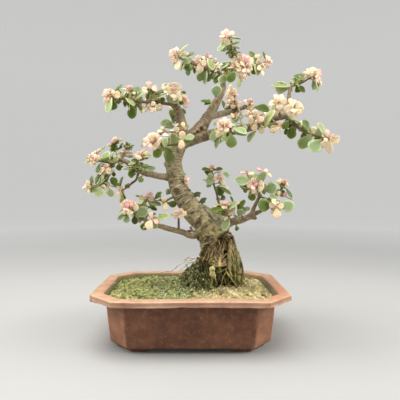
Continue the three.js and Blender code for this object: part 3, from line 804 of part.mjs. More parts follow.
function makePot() {
  const [fl, fd, fc] = BODY_FOOT;
  const [bl, bd, bc] = BODY_TOP;
  const rimFoot = POT_HEIGHT - RIM_HEIGHT;
  const rings = [
    octagon(fl - 9, fd - 9, fc - 2.6, FOOT_HEIGHT - 0.4),
    octagon(fl - 4.4, fd - 4.4, fc - 1.4, FOOT_HEIGHT - 0.1),
    octagon(fl - 1.4, fd - 1.4, fc - 0.5, FOOT_HEIGHT + 1.0),
    octagon(fl - 0.1, fd - 0.1, fc, FOOT_HEIGHT + 3.0),
    octagon(bl - 1, bd - 1, bc - 0.3, rimFoot - 3.2),
    octagon(bl + 0.6, bd + 0.6, bc, rimFoot - 0.9),
    octagon(POT_LENGTH - 1.4, POT_DEPTH - 1.4, RIM_CHAMFER - 0.4, rimFoot),
    octagon(POT_LENGTH, POT_DEPTH, RIM_CHAMFER, rimFoot + 0.8),
    octagon(POT_LENGTH, POT_DEPTH, RIM_CHAMFER, POT_HEIGHT - 0.8),
    octagon(POT_LENGTH - 1.4, POT_DEPTH - 1.4, RIM_CHAMFER - 0.4, POT_HEIGHT),
    octagon(...inside(POT_HEIGHT, -0.6), POT_HEIGHT),
    octagon(...inside(POT_HEIGHT - 1.2), POT_HEIGHT - 1.2),
    octagon(...inside(SOIL_EDGE_Z), SOIL_EDGE_Z),
    octagon(...inside(FLOOR_Z + 4), FLOOR_Z + 4),
    octagon(...inside(FLOOR_Z, 3), FLOOR_Z),
  ];
  let pot = toSolid(loft(rings));
  // four L-shaped feet that follow the cut corners
  const foot = new THREE.Shape();
  const ox = fl / 2 - 6.5;
  const oy = fd / 2 - 6.5;
  const c = fc - 4;
  const w = FOOT_WIDTH;
  foot.moveTo(ox, oy - c - 6);
  foot.lineTo(ox, oy - c);
  foot.lineTo(ox - c, oy);
  foot.lineTo(ox - c - FOOT_LENGTH + 8, oy);
  foot.lineTo(ox - c - FOOT_LENGTH + 8, oy - w);
  foot.lineTo(ox - c - w * 0.42, oy - w);
  foot.lineTo(ox - w, oy - c - w * 0.42);
  foot.lineTo(ox - w, oy - c - 6);
  foot.closePath();
  for (const [sx, sy] of [[1, 1], [-1, 1], [-1, -1], [1, -1]]) {
    const g = new THREE.ExtrudeGeometry(foot, { depth: FOOT_HEIGHT + 0.6, bevelEnabled: false });
    if (sx * sy < 0) {
      // mirrored feet: flip and turn the faces round again
      g.scale(sx, sy, 1);
      const flat = g.index ? g.toNonIndexed() : g;
      const a = flat.attributes.position;
      for (let i = 0; i < a.count; i += 3) {
        const p = [a.getX(i + 1), a.getY(i + 1), a.getZ(i + 1)];
        a.setXYZ(i + 1, a.getX(i + 2), a.getY(i + 2), a.getZ(i + 2));
        a.setXYZ(i + 2, ...p);
      }
      flat.index = null;
      const merged = new THREE.BufferGeometry();
      merged.setAttribute('position', flat.attributes.position);
      pot = pot.add(toSolid(merged));
    } else {
      g.rotateZ(sx < 0 ? Math.PI : 0);
      pot = pot.add(toSolid(g));
    }
  }
  for (const x of [-DRAIN_X, DRAIN_X]) {
    const hole = new THREE.CylinderGeometry(DRAIN_D / 2, DRAIN_D / 2, 30, 16).rotateX(Math.PI / 2);
    pot = pot.subtract(toSolid(hole.translate(x, 0, 8)));
  }
  return pot;
}

function makeScreen(x) {
  const z = FLOOR_Z + GAP + SCREEN_T / 2;
  let screen = toSolid(new THREE.BoxGeometry(SCREEN, SCREEN, SCREEN_T).translate(x, 0, z));
  const pitch = SCREEN / 5;
  const bars = [];
  for (let i = 0; i < 4; i += 1) {
    for (let j = 0; j < 4; j += 1) {
      const hole = new THREE.BoxGeometry(pitch * 0.66, pitch * 0.66, 4);
      bars.push(toSolid(hole.translate(x + (i - 1.5) * pitch, (j - 1.5) * pitch, z)));
    }
  }
  screen = screen.subtract(join(bars));
  return screen;
}

// ---------------------------------------------------------------- soil and moss

function surfaceZ(x, y, edge) {
  const crown = SOIL_CROWN * (1 - edge * edge);
  const dx = (x - MOUND.x) / (x < MOUND.x ? MOUND.left : MOUND.right);
  const dy = (y - MOUND.y) / (y < MOUND.y ? MOUND.front : MOUND.back);
  const d = Math.sqrt(dx * dx + dy * dy);
  const ripple = 0.5 * Math.sin(x * 0.21 + 1.3) * Math.cos(y * 0.26 - 0.4) + 0.35 * Math.sin(x * 0.43 + y * 0.37);
  return SOIL_EDGE_Z + crown + MOUND.height * Math.max(0, 1 - d) + ripple;
}

// plan outline inside the pot, resampled, shrunk by k
function planRing(k, count, inset) {
  const outline = octagon(...inside(SOIL_EDGE_Z, inset), 0);
  const out = [];
  for (let i = 0; i < count; i += 1) {
    const t = (i / count) * 8;
    const a = outline[Math.floor(t)];
    const b = outline[(Math.floor(t) + 1) % 8];
    out.push(a.clone().lerp(b, t - Math.floor(t)).multiplyScalar(k));
  }
  return out;
}

function makeLayer(count, steps, inset, drop, foot) {
  const rings = [];
  const flatFoot = foot !== null;
  if (flatFoot) {
    const low = planRing(1, count, 0).map((p) => {
      const [l0, d0] = inside(SOIL_EDGE_Z, 0);
      const [l1, d1] = inside(foot, inset + 3);
      return V((p.x * l1) / l0, (p.y * d1) / d0, foot);
    });
    rings.push(low.map((p) => p.clone().multiplyScalar(0.02).setZ(foot)));
    rings.push(low);
  } else {
    for (let k = steps; k >= 1; k -= 1) {
      const e = k / steps;
      rings.unshift(planRing(e, count, inset).map((p) => V(p.x, p.y, surfaceZ(p.x, p.y, e) - drop - MOSS_T)));
    }
    rings.unshift(planRing(0.02, count, inset).map((p) => V(p.x, p.y, surfaceZ(p.x, p.y, 0.02) - drop - MOSS_T)));
  }
  for (let k = steps; k >= 1; k -= 1) {
    const e = k / steps;
    rings.push(planRing(e, count, inset).map((p) => V(p.x, p.y, surfaceZ(p.x, p.y, e) - drop)));
  }
  rings.push(planRing(0.02, count, inset).map((p) => V(p.x, p.y, surfaceZ(p.x, p.y, 0.02) - drop)));
  return toSolid(loft(rings));
}

// ---------------------------------------------------------------- root flare

function flareRings(grow, sides, from, to) {
  return FLARE.filter((f) => f[0] >= from && f[0] <= to).map(([z, x, y, rx, ry]) => (
    Array.from({ length: sides }, (_, i) => {
      const a = (i / sides) * Math.PI * 2;
      const lobe = grow ? 0 : 0.8 * Math.sin(a * 5 + z * 0.03);
      return V(x + Math.cos(a) * (rx + grow + lobe), y + Math.sin(a) * (ry + grow + lobe), z);
    })
  ));
}

function makeTrunk() {
  const parts = Object.entries(WOOD).map(([name, path]) => toSolid(limb(path, name === 'trunk' ? 12 : 7)));
  parts.push(toSolid(loft(flareRings(0, 14, 0, 200))));
  for (const r of ROOTS) parts.push(toSolid(limb(r, 5)));
  let trunk = join(parts);
  // level underside, buried in the root ball
  const cut = new THREE.BoxGeometry(160, 160, 40).translate(30, 0, FLARE[0][0] - 20);
  trunk = trunk.subtract(toSolid(cut));
  // sealed pockets between the roots are wood
  const shells = trunk.simplify(SMOOTH).decompose().filter((m) => m.volume() > 1);
  return join(shells);
}

// room for the root ball in the soil and moss
function rootPocket() {
  const rings = flareRings(ROOT_SWELL + 0.8, 16, 0, 90);
  rings.unshift(rings[0].map((p) => V(p.x, p.y, FLARE[0][0] - GAP - 0.2)));
  rings.push(rings[rings.length - 1].map((p) => V(p.x, p.y, 130)));
  return toSolid(loft(rings));
}

// ---------------------------------------------------------------- assembly

const LOOK = {
  clay: { color: '#a06a50', roughness: 0.86, metalness: 0 },
  plastic: { color: '#2b2c2a', roughness: 0.7, metalness: 0 },
  soil: { color: '#4a3b2c', roughness: 0.95, metalness: 0 },
  moss: { color: '#8d9a5c', roughness: 0.95, metalness: 0 },
  bark: { color: '#9a8a6c', roughness: 0.8, metalness: 0 },
  leaf: { color: '#a9bf8c', roughness: 0.5, metalness: 0 },
};

const bonsai = new THREE.Group();
const placed = new THREE.Group();
bonsai.add(placed);

function addPiece(name, solid, look) {
  const mesh = new THREE.Mesh(toGeometry(solid), new THREE.MeshStandardMaterial(LOOK[look]));
  mesh.name = name;
  placed.add(mesh);
}

addPiece('pot', makePot(), 'clay');
addPiece('drain_screen_left', makeScreen(-DRAIN_X), 'plastic');
addPiece('drain_screen_right', makeScreen(DRAIN_X), 'plastic');
const pocket = rootPocket();
const underMoss = makeLayer(24, 5, 2.0, GAP, null); // the mat's own underside, lowered by the clearance
addPiece('soil', makeLayer(24, 5, 2.3, MOSS_T / 2, SOIL_FOOT_Z).subtract(underMoss).subtract(pocket), 'soil');
addPiece('moss', makeLayer(24, 5, 2.0, 0, null).subtract(pocket), 'moss');
addPiece('trunk', makeTrunk(), 'bark');

for (const [name, { stem, leaves }] of Object.entries(SHOOTS)) {
  const solids = [toSolid(limb(stem, 5)), ...leaves.map((l) => toSolid(leafGeometry(stem, l)))];
  addPiece(name, join(solids), 'leaf');
}

if (CENTRE_ON_BOX) {
  const box = new THREE.Box3().setFromObject(placed);
  placed.position.set(-(box.min.x + box.max.x) / 2, -(box.min.y + box.max.y) / 2, -box.min.z);
  placed.updateMatrixWorld(true);
}

export default bonsai;
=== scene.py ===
import math

import bpy
import numpy as np
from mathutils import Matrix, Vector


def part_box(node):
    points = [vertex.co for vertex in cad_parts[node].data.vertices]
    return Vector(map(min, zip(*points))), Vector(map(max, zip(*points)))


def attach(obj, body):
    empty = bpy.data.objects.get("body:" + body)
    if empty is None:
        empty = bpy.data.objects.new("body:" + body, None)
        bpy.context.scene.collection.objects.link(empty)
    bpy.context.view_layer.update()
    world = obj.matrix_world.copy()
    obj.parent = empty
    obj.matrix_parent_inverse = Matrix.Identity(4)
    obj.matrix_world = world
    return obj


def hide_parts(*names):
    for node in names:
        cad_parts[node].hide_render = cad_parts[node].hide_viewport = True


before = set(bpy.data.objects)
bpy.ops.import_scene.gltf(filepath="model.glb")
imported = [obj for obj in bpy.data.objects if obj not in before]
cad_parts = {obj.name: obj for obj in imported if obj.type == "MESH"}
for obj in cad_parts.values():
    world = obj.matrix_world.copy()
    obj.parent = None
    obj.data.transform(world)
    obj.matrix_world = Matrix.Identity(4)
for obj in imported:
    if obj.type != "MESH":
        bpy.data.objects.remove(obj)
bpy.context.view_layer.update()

# A dwarf jade bonsai in an eight-sided clay pot. The tables are in millimetres,
# measured from the middle of the pot (X right, Y away from the viewer, Z up from
# the pot's feet); metres() moves them into the frame.

lo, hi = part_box("pot")
SHIFT = np.array([(lo[0] + hi[0]) / 2, (lo[1] + hi[1]) / 2, lo[2]])


def metres(p):
    return np.asarray(p, float) / 1000.0 + SHIFT


# ------------------------------------------------------------------ noise

def _cell(i, j, k, seed):
    n = (i * 73856093) ^ (j * 19349663) ^ (k * 83492791) ^ ((seed * 668265263) & 0x7FFFFFFF)
    n = n & 0x7FFFFFFF
    n = ((n ^ (n >> 13)) * 1274126177) & 0x7FFFFFFF
    n = ((n ^ (n >> 15)) * 461845907) & 0x7FFFFFFF
    n = n ^ (n >> 14)
    return n / float(0x7FFFFFFF)


def noise(P, scale, seed=0):
    """Smooth value noise in -1..1 at points P (n,3); scale is the size of a cell."""
    Q = np.asarray(P, float) / scale
    F = np.floor(Q)
    I = F.astype(np.int64)
    f = Q - F
    f = f * f * (3 - 2 * f)
    out = 0
    for dx in (0, 1):
        wx = f[:, 0] if dx else 1 - f[:, 0]
        for dy in (0, 1):
            wy = f[:, 1] if dy else 1 - f[:, 1]
            for dz in (0, 1):
                wz = f[:, 2] if dz else 1 - f[:, 2]
                out = out + wx * wy * wz * _cell(I[:, 0] + dx, I[:, 1] + dy, I[:, 2] + dz, seed)
    return out * 2 - 1


def fbm(P, scale, octaves=3, seed=0):
    out, amp, total = 0, 1.0, 0.0
    for o in range(octaves):
        out = out + amp * noise(P, scale / 2 ** o, seed + 17 * o)
        total += amp
        amp *= 0.5
    return out / total


def smooth(a, b, x):
    t = np.clip((x - a) / (b - a), 0, 1)
    return t * t * (3 - 2 * t)


def mix(a, b, t):
    t = np.asarray(t)
    if np.ndim(a) or np.ndim(b):
        t = t[..., None]
    return np.asarray(a) * (1 - t) + np.asarray(b) * t


def srgb(*c):
    """An sRGB colour (0..255) as linear values."""
    c = np.asarray(c, float).reshape(-1, 3) / 255.0
    c = np.where(c <= 0.04045, c / 12.92, ((c + 0.055) / 1.055) ** 2.4)
    return c[0] if len(c) == 1 else c


# ------------------------------------------------------------------ mesh helpers

class Bag:
    """Collects vertices, quads, triangles and per-vertex values of one piece."""

    def __init__(self):
        self.v, self.q, self.t, self.qm, self.tm, self.c, self.s = [], [], [], [], [], [], []
        self.n = 0

    def add(self, V, Q=None, T=None, mat=0, col=(1, 1, 1), seed=0.0):
        V = np.asarray(V, float).reshape(-1, 3)
        self.v.append(V)
        if Q is not None and len(Q):
            Q = np.asarray(Q, np.int64).reshape(-1, 4)
            self.q.append(Q + self.n)
            self.qm.append(np.full(len(Q), mat))
        if T is not None and len(T):
            T = np.asarray(T, np.int64).reshape(-1, 3)
            self.t.append(T + self.n)
            self.tm.append(np.full(len(T), mat))
        col = np.asarray(col, float)
        self.c.append(np.broadcast_to(col, (len(V), 3)) if col.ndim == 1 else col)
        self.s.append(np.broadcast_to(np.asarray(seed, float), (len(V),)))
        self.n += len(V)

    def mesh(self, name, mats, smooth_faces=True, scale=True):
        V = np.concatenate(self.v)
        Q = np.concatenate(self.q) if self.q else np.zeros((0, 4), np.int64)
        T = np.concatenate(self.t) if self.t else np.zeros((0, 3), np.int64)
        M = np.concatenate(self.qm + self.tm)
        return make_object(name, metres(V) if scale else V, Q, T, mats, M, np.concatenate(self.c), np.concatenate(self.s), smooth_faces)


def make_object(name, V, Q, T, mats, M=None, C=None, S=None, smooth_faces=True):
    me = bpy.data.meshes.new(name)
    me.vertices.add(len(V))
    me.vertices.foreach_set("co", np.asarray(V, np.float32).ravel())
    loops = np.concatenate([Q.ravel(), T.ravel()]).astype(np.int32)
    me.loops.add(len(loops))
    me.loops.foreach_set("vertex_index", loops)
    start = np.concatenate([np.arange(len(Q)) * 4, len(Q) * 4 + np.arange(len(T)) * 3]).astype(np.int32)
    me.polygons.add(len(start))
    me.polygons.foreach_set("loop_start", start)
    if M is not None:
        me.polygons.foreach_set("material_index", np.asarray(M, np.int32))
    me.polygons.foreach_set("use_smooth", np.full(len(start), smooth_faces))
    for m in mats:
        me.materials.append(m)
    if C is not None:
        a = me.attributes.new("col", "FLOAT_COLOR", "POINT")
        a.data.foreach_set("color", np.concatenate([np.asarray(C, np.float32), np.ones((len(V), 1), np.float32)], 1).ravel())
    if S is not None:
        a = me.attributes.new("seed", "FLOAT", "POINT")
        a.data.foreach_set("value", np.asarray(S, np.float32))
    me.update(calc_edges=True)
    me.validate()
    ob = bpy.data.objects.new(name, me)
    bpy.context.scene.collection.objects.link(ob)
    return ob


def unit(v):
    v = np.asarray(v, float)
    n = np.linalg.norm(v, axis=-1, keepdims=True)
    return v / np.where(n < 1e-12, 1, n)


def curve(P, step):
    """Catmull-Rom curve through the rows of P (x, y, z, radius...), resampled every step."""
    P = np.asarray(P, float)
    if len(P) < 2:
        return P
    E = np.vstack([2 * P[0] - P[1], P, 2 * P[-1] - P[-2]])
    out = []
    for i in range(1, len(E) - 2):
        a, b, c, d = E[i - 1], E[i], E[i + 1], E[i + 2]
        n = max(1, int(math.ceil(np.linalg.norm((c - b)[:3]) / step)))
        t = (np.arange(n) / n)[:, None]
        # tangents scaled to the span, so uneven points make no loops
        lb, lc, ld = (np.linalg.norm((y - x)[:3]) + 1e-9 for x, y in ((a, b), (b, c), (c, d)))
        mb = (c - a) / (lb + lc) * lc
        mc = (d - b) / (lc + ld) * lc
        h1 = 2 * t ** 3 - 3 * t ** 2 + 1
        h2 = t ** 3 - 2 * t ** 2 + t
        h3 = -2 * t ** 3 + 3 * t ** 2
        h4 = t ** 3 - t ** 2
        out.append(h1 * b + h2 * mb + h3 * c + h4 * mc)
    out.append(E[-2][None])
    return np.vstack(out)


def frames(C):
    """Tangents and two turning-free normals along the points C."""
    T = unit(np.gradient(C, axis=0)) if len(C) > 2 else np.repeat(unit(C[-1:] - C[:1]), len(C), 0)
    up = np.array([0.31, -0.95, 0.12])
    U = np.zeros_like(C)
    u = up - T[0] * up.dot(T[0])
    for i in range(len(C)):
        u = u - T[i] * u.dot(T[i])
        n = np.linalg.norm(u)
        u = u / n if n > 1e-6 else unit(np.cross(T[i], [0.2, 0.3, 0.9]))
        U[i] = u
    return T, U, np.cross(T, U)


def tube(P, sides, step, ends=True, bump=None, flat=1.0):
    """A closed tube with rounded ends along rows (x, y, z, radius): vertices, quads, triangles and each vertex's distance along.
    flat squares off the starting end."""
    C = curve(P, step)
    X, R = C[:, :3], np.maximum(C[:, 3], 0.05)
    s = np.concatenate([[0], np.cumsum(np.linalg.norm(np.diff(X, axis=0), axis=1))])
    T, U, W = frames(X)
    if ends:
        caps = [(0.92, 0.38), (0.55, 0.83)]
        a = [(X[0] - T[0] * R[0] * d * flat, R[0] * k, 0) for k, d in caps[::-1]]
        b = [(X[-1] + T[-1] * R[-1] * d, R[-1] * k, len(X) - 1) for k, d in caps]
        X2 = np.vstack([[p for p, _, _ in a], X, [p for p, _, _ in b]])
        R2 = np.concatenate([[r for _, r, _ in a], R, [r for _, r, _ in b]])
        J = np.concatenate([[j for _, _, j in a], np.arange(len(X)), [j for _, _, j in b]]).astype(int)
    else:
        X2, R2, J = X, R, np.arange(len(X))
    ang = np.arange(sides) / sides * 2 * math.pi
    rad = R2[:, None] * np.ones(sides)
    if bump is not None:
        rad = rad + bump(s[J][:, None], ang[None, :], R2[:, None])
    V = X2[:, None] + rad[..., None] * (np.cos(ang)[None, :, None] * U[J][:, None] + np.sin(ang)[None, :, None] * W[J][:, None])
    n = len(X2)
    i, j = np.meshgrid(np.arange(n - 1), np.arange(sides), indexing="ij")
    k = (j + 1) % sides
    Q = np.stack([i * sides + j, i * sides + k, (i + 1) * sides + k, (i + 1) * sides + j], -1).reshape(-1, 4)
    V = V.reshape(-1, 3)
    first = X2[0] - T[0] * R2[0] * 0.2 * flat
    last = X2[-1] + T[-1] * R2[-1] * 0.2
    V = np.vstack([V, first, last])
    j = np.arange(sides)
    k = (j + 1) % sides
    a0, a1 = n * sides, n * sides + 1
    Tr = np.vstack([np.stack([np.full(sides, a0), k, j], 1), np.stack([np.full(sides, a1), (n - 1) * sides + j, (n - 1) * sides + k], 1)])
    along = np.concatenate([np.repeat(s[J], sides), [0, s[-1]]])
    return V, Q, Tr, along


def normals(V, Q, T):
    N = np.zeros_like(V)
    if len(Q):
        n = np.cross(V[Q[:, 2]] - V[Q[:, 0]], V[Q[:, 3]] - V[Q[:, 1]])
        for c in range(4):
            for a in range(3):
                N[:, a] += np.bincount(Q[:, c], n[:, a], len(V))
    if len(T):
        n = np.cross(V[T[:, 1]] - V[T[:, 0]], V[T[:, 2]] - V[T[:, 0]])
        for c in range(3):
            for a in range(3):
                N[:, a] += np.bincount(T[:, c], n[:, a], len(V))
    return unit(N)


def relax(V, Q, T, times, amount=0.5):
    """Evens the surface: each vertex moves towards the middle of its neighbours."""
    E = [Q[:, [0, 1]], Q[:, [1, 2]], Q[:, [2, 3]], Q[:, [3, 0]]] if len(Q) else []
    if len(T):
        E += [T[:, [0, 1]], T[:, [1, 2]], T[:, [2, 0]]]
    E = np.concatenate(E)
    n = len(V)
    w = np.bincount(E.ravel(), minlength=n).astype(float)
    for _ in range(times):
        S = np.zeros_like(V)
        for a in range(3):
            S[:, a] = np.bincount(E[:, 0], V[E[:, 1], a], n) + np.bincount(E[:, 1], V[E[:, 0], a], n)
        V = V + amount * (S / np.maximum(w, 1)[:, None] - V)
    return V


def fuse(bag, voxel):
    """Joins the closed bodies of a bag into one skin of even faces. Returns vertices, quads and triangles, in millimetres."""
    ob = bag.mesh("fuse", [], scale=False)
    m = ob.modifiers.new("skin", "REMESH")
    m.mode = "VOXEL"
    m.voxel_size = voxel
    m.adaptivity = 0.0
    got = bpy.data.meshes.new_from_object(ob.evaluated_get(bpy.context.evaluated_depsgraph_get()))
    V = np.zeros(len(got.vertices) * 3, np.float32)
    got.vertices.foreach_get("co", V)
    V = V.reshape(-1, 3).astype(float)
    size = np.zeros(len(got.polygons), np.int32)
    got.polygons.foreach_get("loop_total", size)
    L = np.zeros(len(got.loops), np.int32)
    got.loops.foreach_get("vertex_index", L)
    start = np.concatenate([[0], np.cumsum(size)[:-1]])
    q = start[size == 4]
    t = start[size == 3]
    Q = L[q[:, None] + np.arange(4)] if len(q) else np.zeros((0, 4), int)
    T = L[t[:, None] + np.arange(3)] if len(t) else np.zeros((0, 3), int)
    me = ob.data
    bpy.data.objects.remove(ob)
    bpy.data.meshes.remove(me)
    bpy.data.meshes.remove(got)
    return V, Q, T


# ------------------------------------------------------------------ materials

def shader(name):
    m = bpy.data.materials.new(name)
    m.use_nodes = True
    nt = m.node_tree
    nt.nodes.clear()
    out = nt.nodes.new("ShaderNodeOutputMaterial")
    b = nt.nodes.new("ShaderNodeBsdfPrincipled")
    nt.links.new(b.outputs[0], out.inputs[0])
    return m, nt, b


def node(nt, kind, **values):
    n = nt.nodes.new(kind)
    for k, v in values.items():
        if k.startswith("in_"):
            n.inputs[k[3:].replace("_", " ")].default_value = v
        else:
            setattr(n, k, v)
    return n


def noise_node(nt, coords, scale, detail=3.0, rough=0.55, dist=0.0):
    n = node(nt, "ShaderNodeTexNoise")
    n.inputs["Scale"].default_value = scale
    n.inputs["Detail"].default_value = detail
    n.inputs["Roughness"].default_value = rough
    n.inputs["Distortion"].default_value = dist
    nt.links.new(coords, n.inputs["Vector"])
    return n.outputs["Fac"]


def ramp(nt, fac, stops):
    n = node(nt, "ShaderNodeValToRGB")
    e = n.color_ramp.elements
    while len(e) < len(stops):
        e.new(0.5)
    for el, (pos, c) in zip(e, stops):
        el.position = pos
        el.color = (c, c, c, 1) if np.isscalar(c) else (*c, 1)
    nt.links.new(fac, n.inputs[0])
    return n.outputs[0]


def blend(nt, kind, fac, a, b):
    n = node(nt, "ShaderNodeMix", data_type="RGBA", blend_type=kind)
    for sock, v in ((n.inputs[0], fac), (n.inputs[6], a), (n.inputs[7], b)):
        if isinstance(v, bpy.types.NodeSocket):
            nt.links.new(v, sock)
        elif np.isscalar(v):
            sock.default_value = v
        else:
            sock.default_value = (*v, 1)
    return n.outputs[2]


def bump(nt, b, height, distance, strength=1.0, before=None):
    n = node(nt, "ShaderNodeBump")
    n.inputs["Strength"].default_value = strength
    n.inputs["Distance"].default_value = distance
    nt.links.new(height, n.inputs["Height"])
    if before is not None:
        nt.links.new(before, n.inputs["Normal"])
    if b is not None:
        nt.links.new(n.outputs[0], b.inputs["Normal"])
    return n.outputs[0]


def place(nt):
    return node(nt, "ShaderNodeTexCoord").outputs["Object"]


def attribute(nt, name, fac=False):
    n = node(nt, "ShaderNodeAttribute", attribute_name=name)
    return n.outputs["Fac" if fac else "Color"]

# ------------------------------------------------------------------ sizes

POT = (200, 142, 56)
RIM_CHAMFER, RIM_HEIGHT = 26, 5.7
INSIDE = [(11, 151, 93, 17), (49.5, 165, 107, 20.4), (54.8, 173.6, 115.6, 19.4), (56, 176.6, 118.6, 19.1)]
BODY_TOP, BODY_FOOT = (174, 116, 23), (165, 107, 21)
FOOT_HEIGHT, FOOT_LENGTH, FOOT_WIDTH, FLOOR_Z = 4.6, 25, 9, 11
SOIL_EDGE_Z, SOIL_CROWN, MOSS_EDGE_Z = 49.5, 6.5, 51.3
MOUND = {"x": 10, "y": 6, "height": 28, "left": 28, "right": 32, "front": 26, "back": 36}
VOXEL = 0.78

CAMERA_AT = (0, -415, 154.2)
CAMERA_F = 375.0
CAMERA_CENTRE = (190.7, 195.0)
HOLLOW = (37.4, 93.4, 2.4, 3.3)  # x, z and half sizes of the open hollow

FLOOR_COLOUR = (172, 172, 170)
WORLD = 0.12
WALL_GLOW = 0.40
LAMPS = [  # name, place, aim, size, power, colour, other size, spread in degrees
    ("key_above", (-120, -160, 950), (10, 0, 120), 0.9, 12.7, (1.0, 0.985, 0.955), 0.7),
    ("left_soft", (-900, -60, 450), (0, 0, 130), 0.8, 1.4, (1.0, 1.0, 1.0), 0.45, 80),
    ("right_soft", (900, -120, 450), (0, 0, 130), 0.8, 2.15, (1.0, 0.99, 0.97), 0.45, 80),
]

# small flakes gone from the rim: place, reach, depth
CHIPS = [((-99, -42, 50.6), 2.2, 2.2), ((-98, -48, 50.2), 1.6, 1.6), ((-94, -53, 50.2), 1.4, 1.0), ((60, -71, 55.9), 1.6, 0.8), ((-12, -71, 50.4), 2.2, 0.5), ((96, 38, 55.8), 1.8, 0.9)]
# rusty patches on the rim: place, reach, strength
STAINS = [((90, -22, 56), (9, 16, 6), 0.8), ((78, -50, 56), (14, 9, 6), 0.55), ((-88, -30, 56), (5, 7, 5), 0.35), ((-70, -60, 56), (18, 6, 5), 0.2), ((90, 40, 56), (10, 14, 6), 0.25), ((-30, 66, 56), (30, 6, 6), 0.3)]
CLAY = {
    "body": srgb(103, 63, 42), "body_light": srgb(126, 80, 55), "body_dark": srgb(82, 48, 31), "body_foot": srgb(102, 72, 50),
    "top": srgb(190, 149, 118), "top_light": srgb(201, 163, 131), "top_dull": srgb(180, 138, 106), "top_pink": srgb(206, 142, 114),
    "face": srgb(166, 125, 101), "face_light": srgb(180, 141, 115), "face_dull": srgb(146, 108, 88),
    "edge": srgb(216, 180, 148), "stain": srgb(192, 116, 80), "wall": srgb(122, 100, 72), "wall_green": srgb(88, 90, 42),
}
BARK = {
    "mid": srgb(152, 138, 106), "light": srgb(176, 162, 128), "pale": srgb(206, 194, 162), "brown": srgb(126, 108, 78), "dark": srgb(74, 60, 42),
    "moss": srgb(138, 134, 84), "lichen": srgb(182, 176, 104), "scar": srgb(116, 96, 72), "knob_gap_shade": srgb(92, 74, 50), "hollow_shade": srgb(36, 29, 17), "root_shade": srgb(74, 62, 38),
}
ROOT_TONE = {
    "t": srgb(170, 148, 104), "b": srgb(128, 106, 68), "u": srgb(140, 114, 80), "n": srgb(216, 204, 138), "o": srgb(122, 126, 66), "r": srgb(158, 150, 96),
    "s": srgb(232, 206, 150), "y": srgb(204, 204, 104), "g": srgb(170, 168, 96),
}

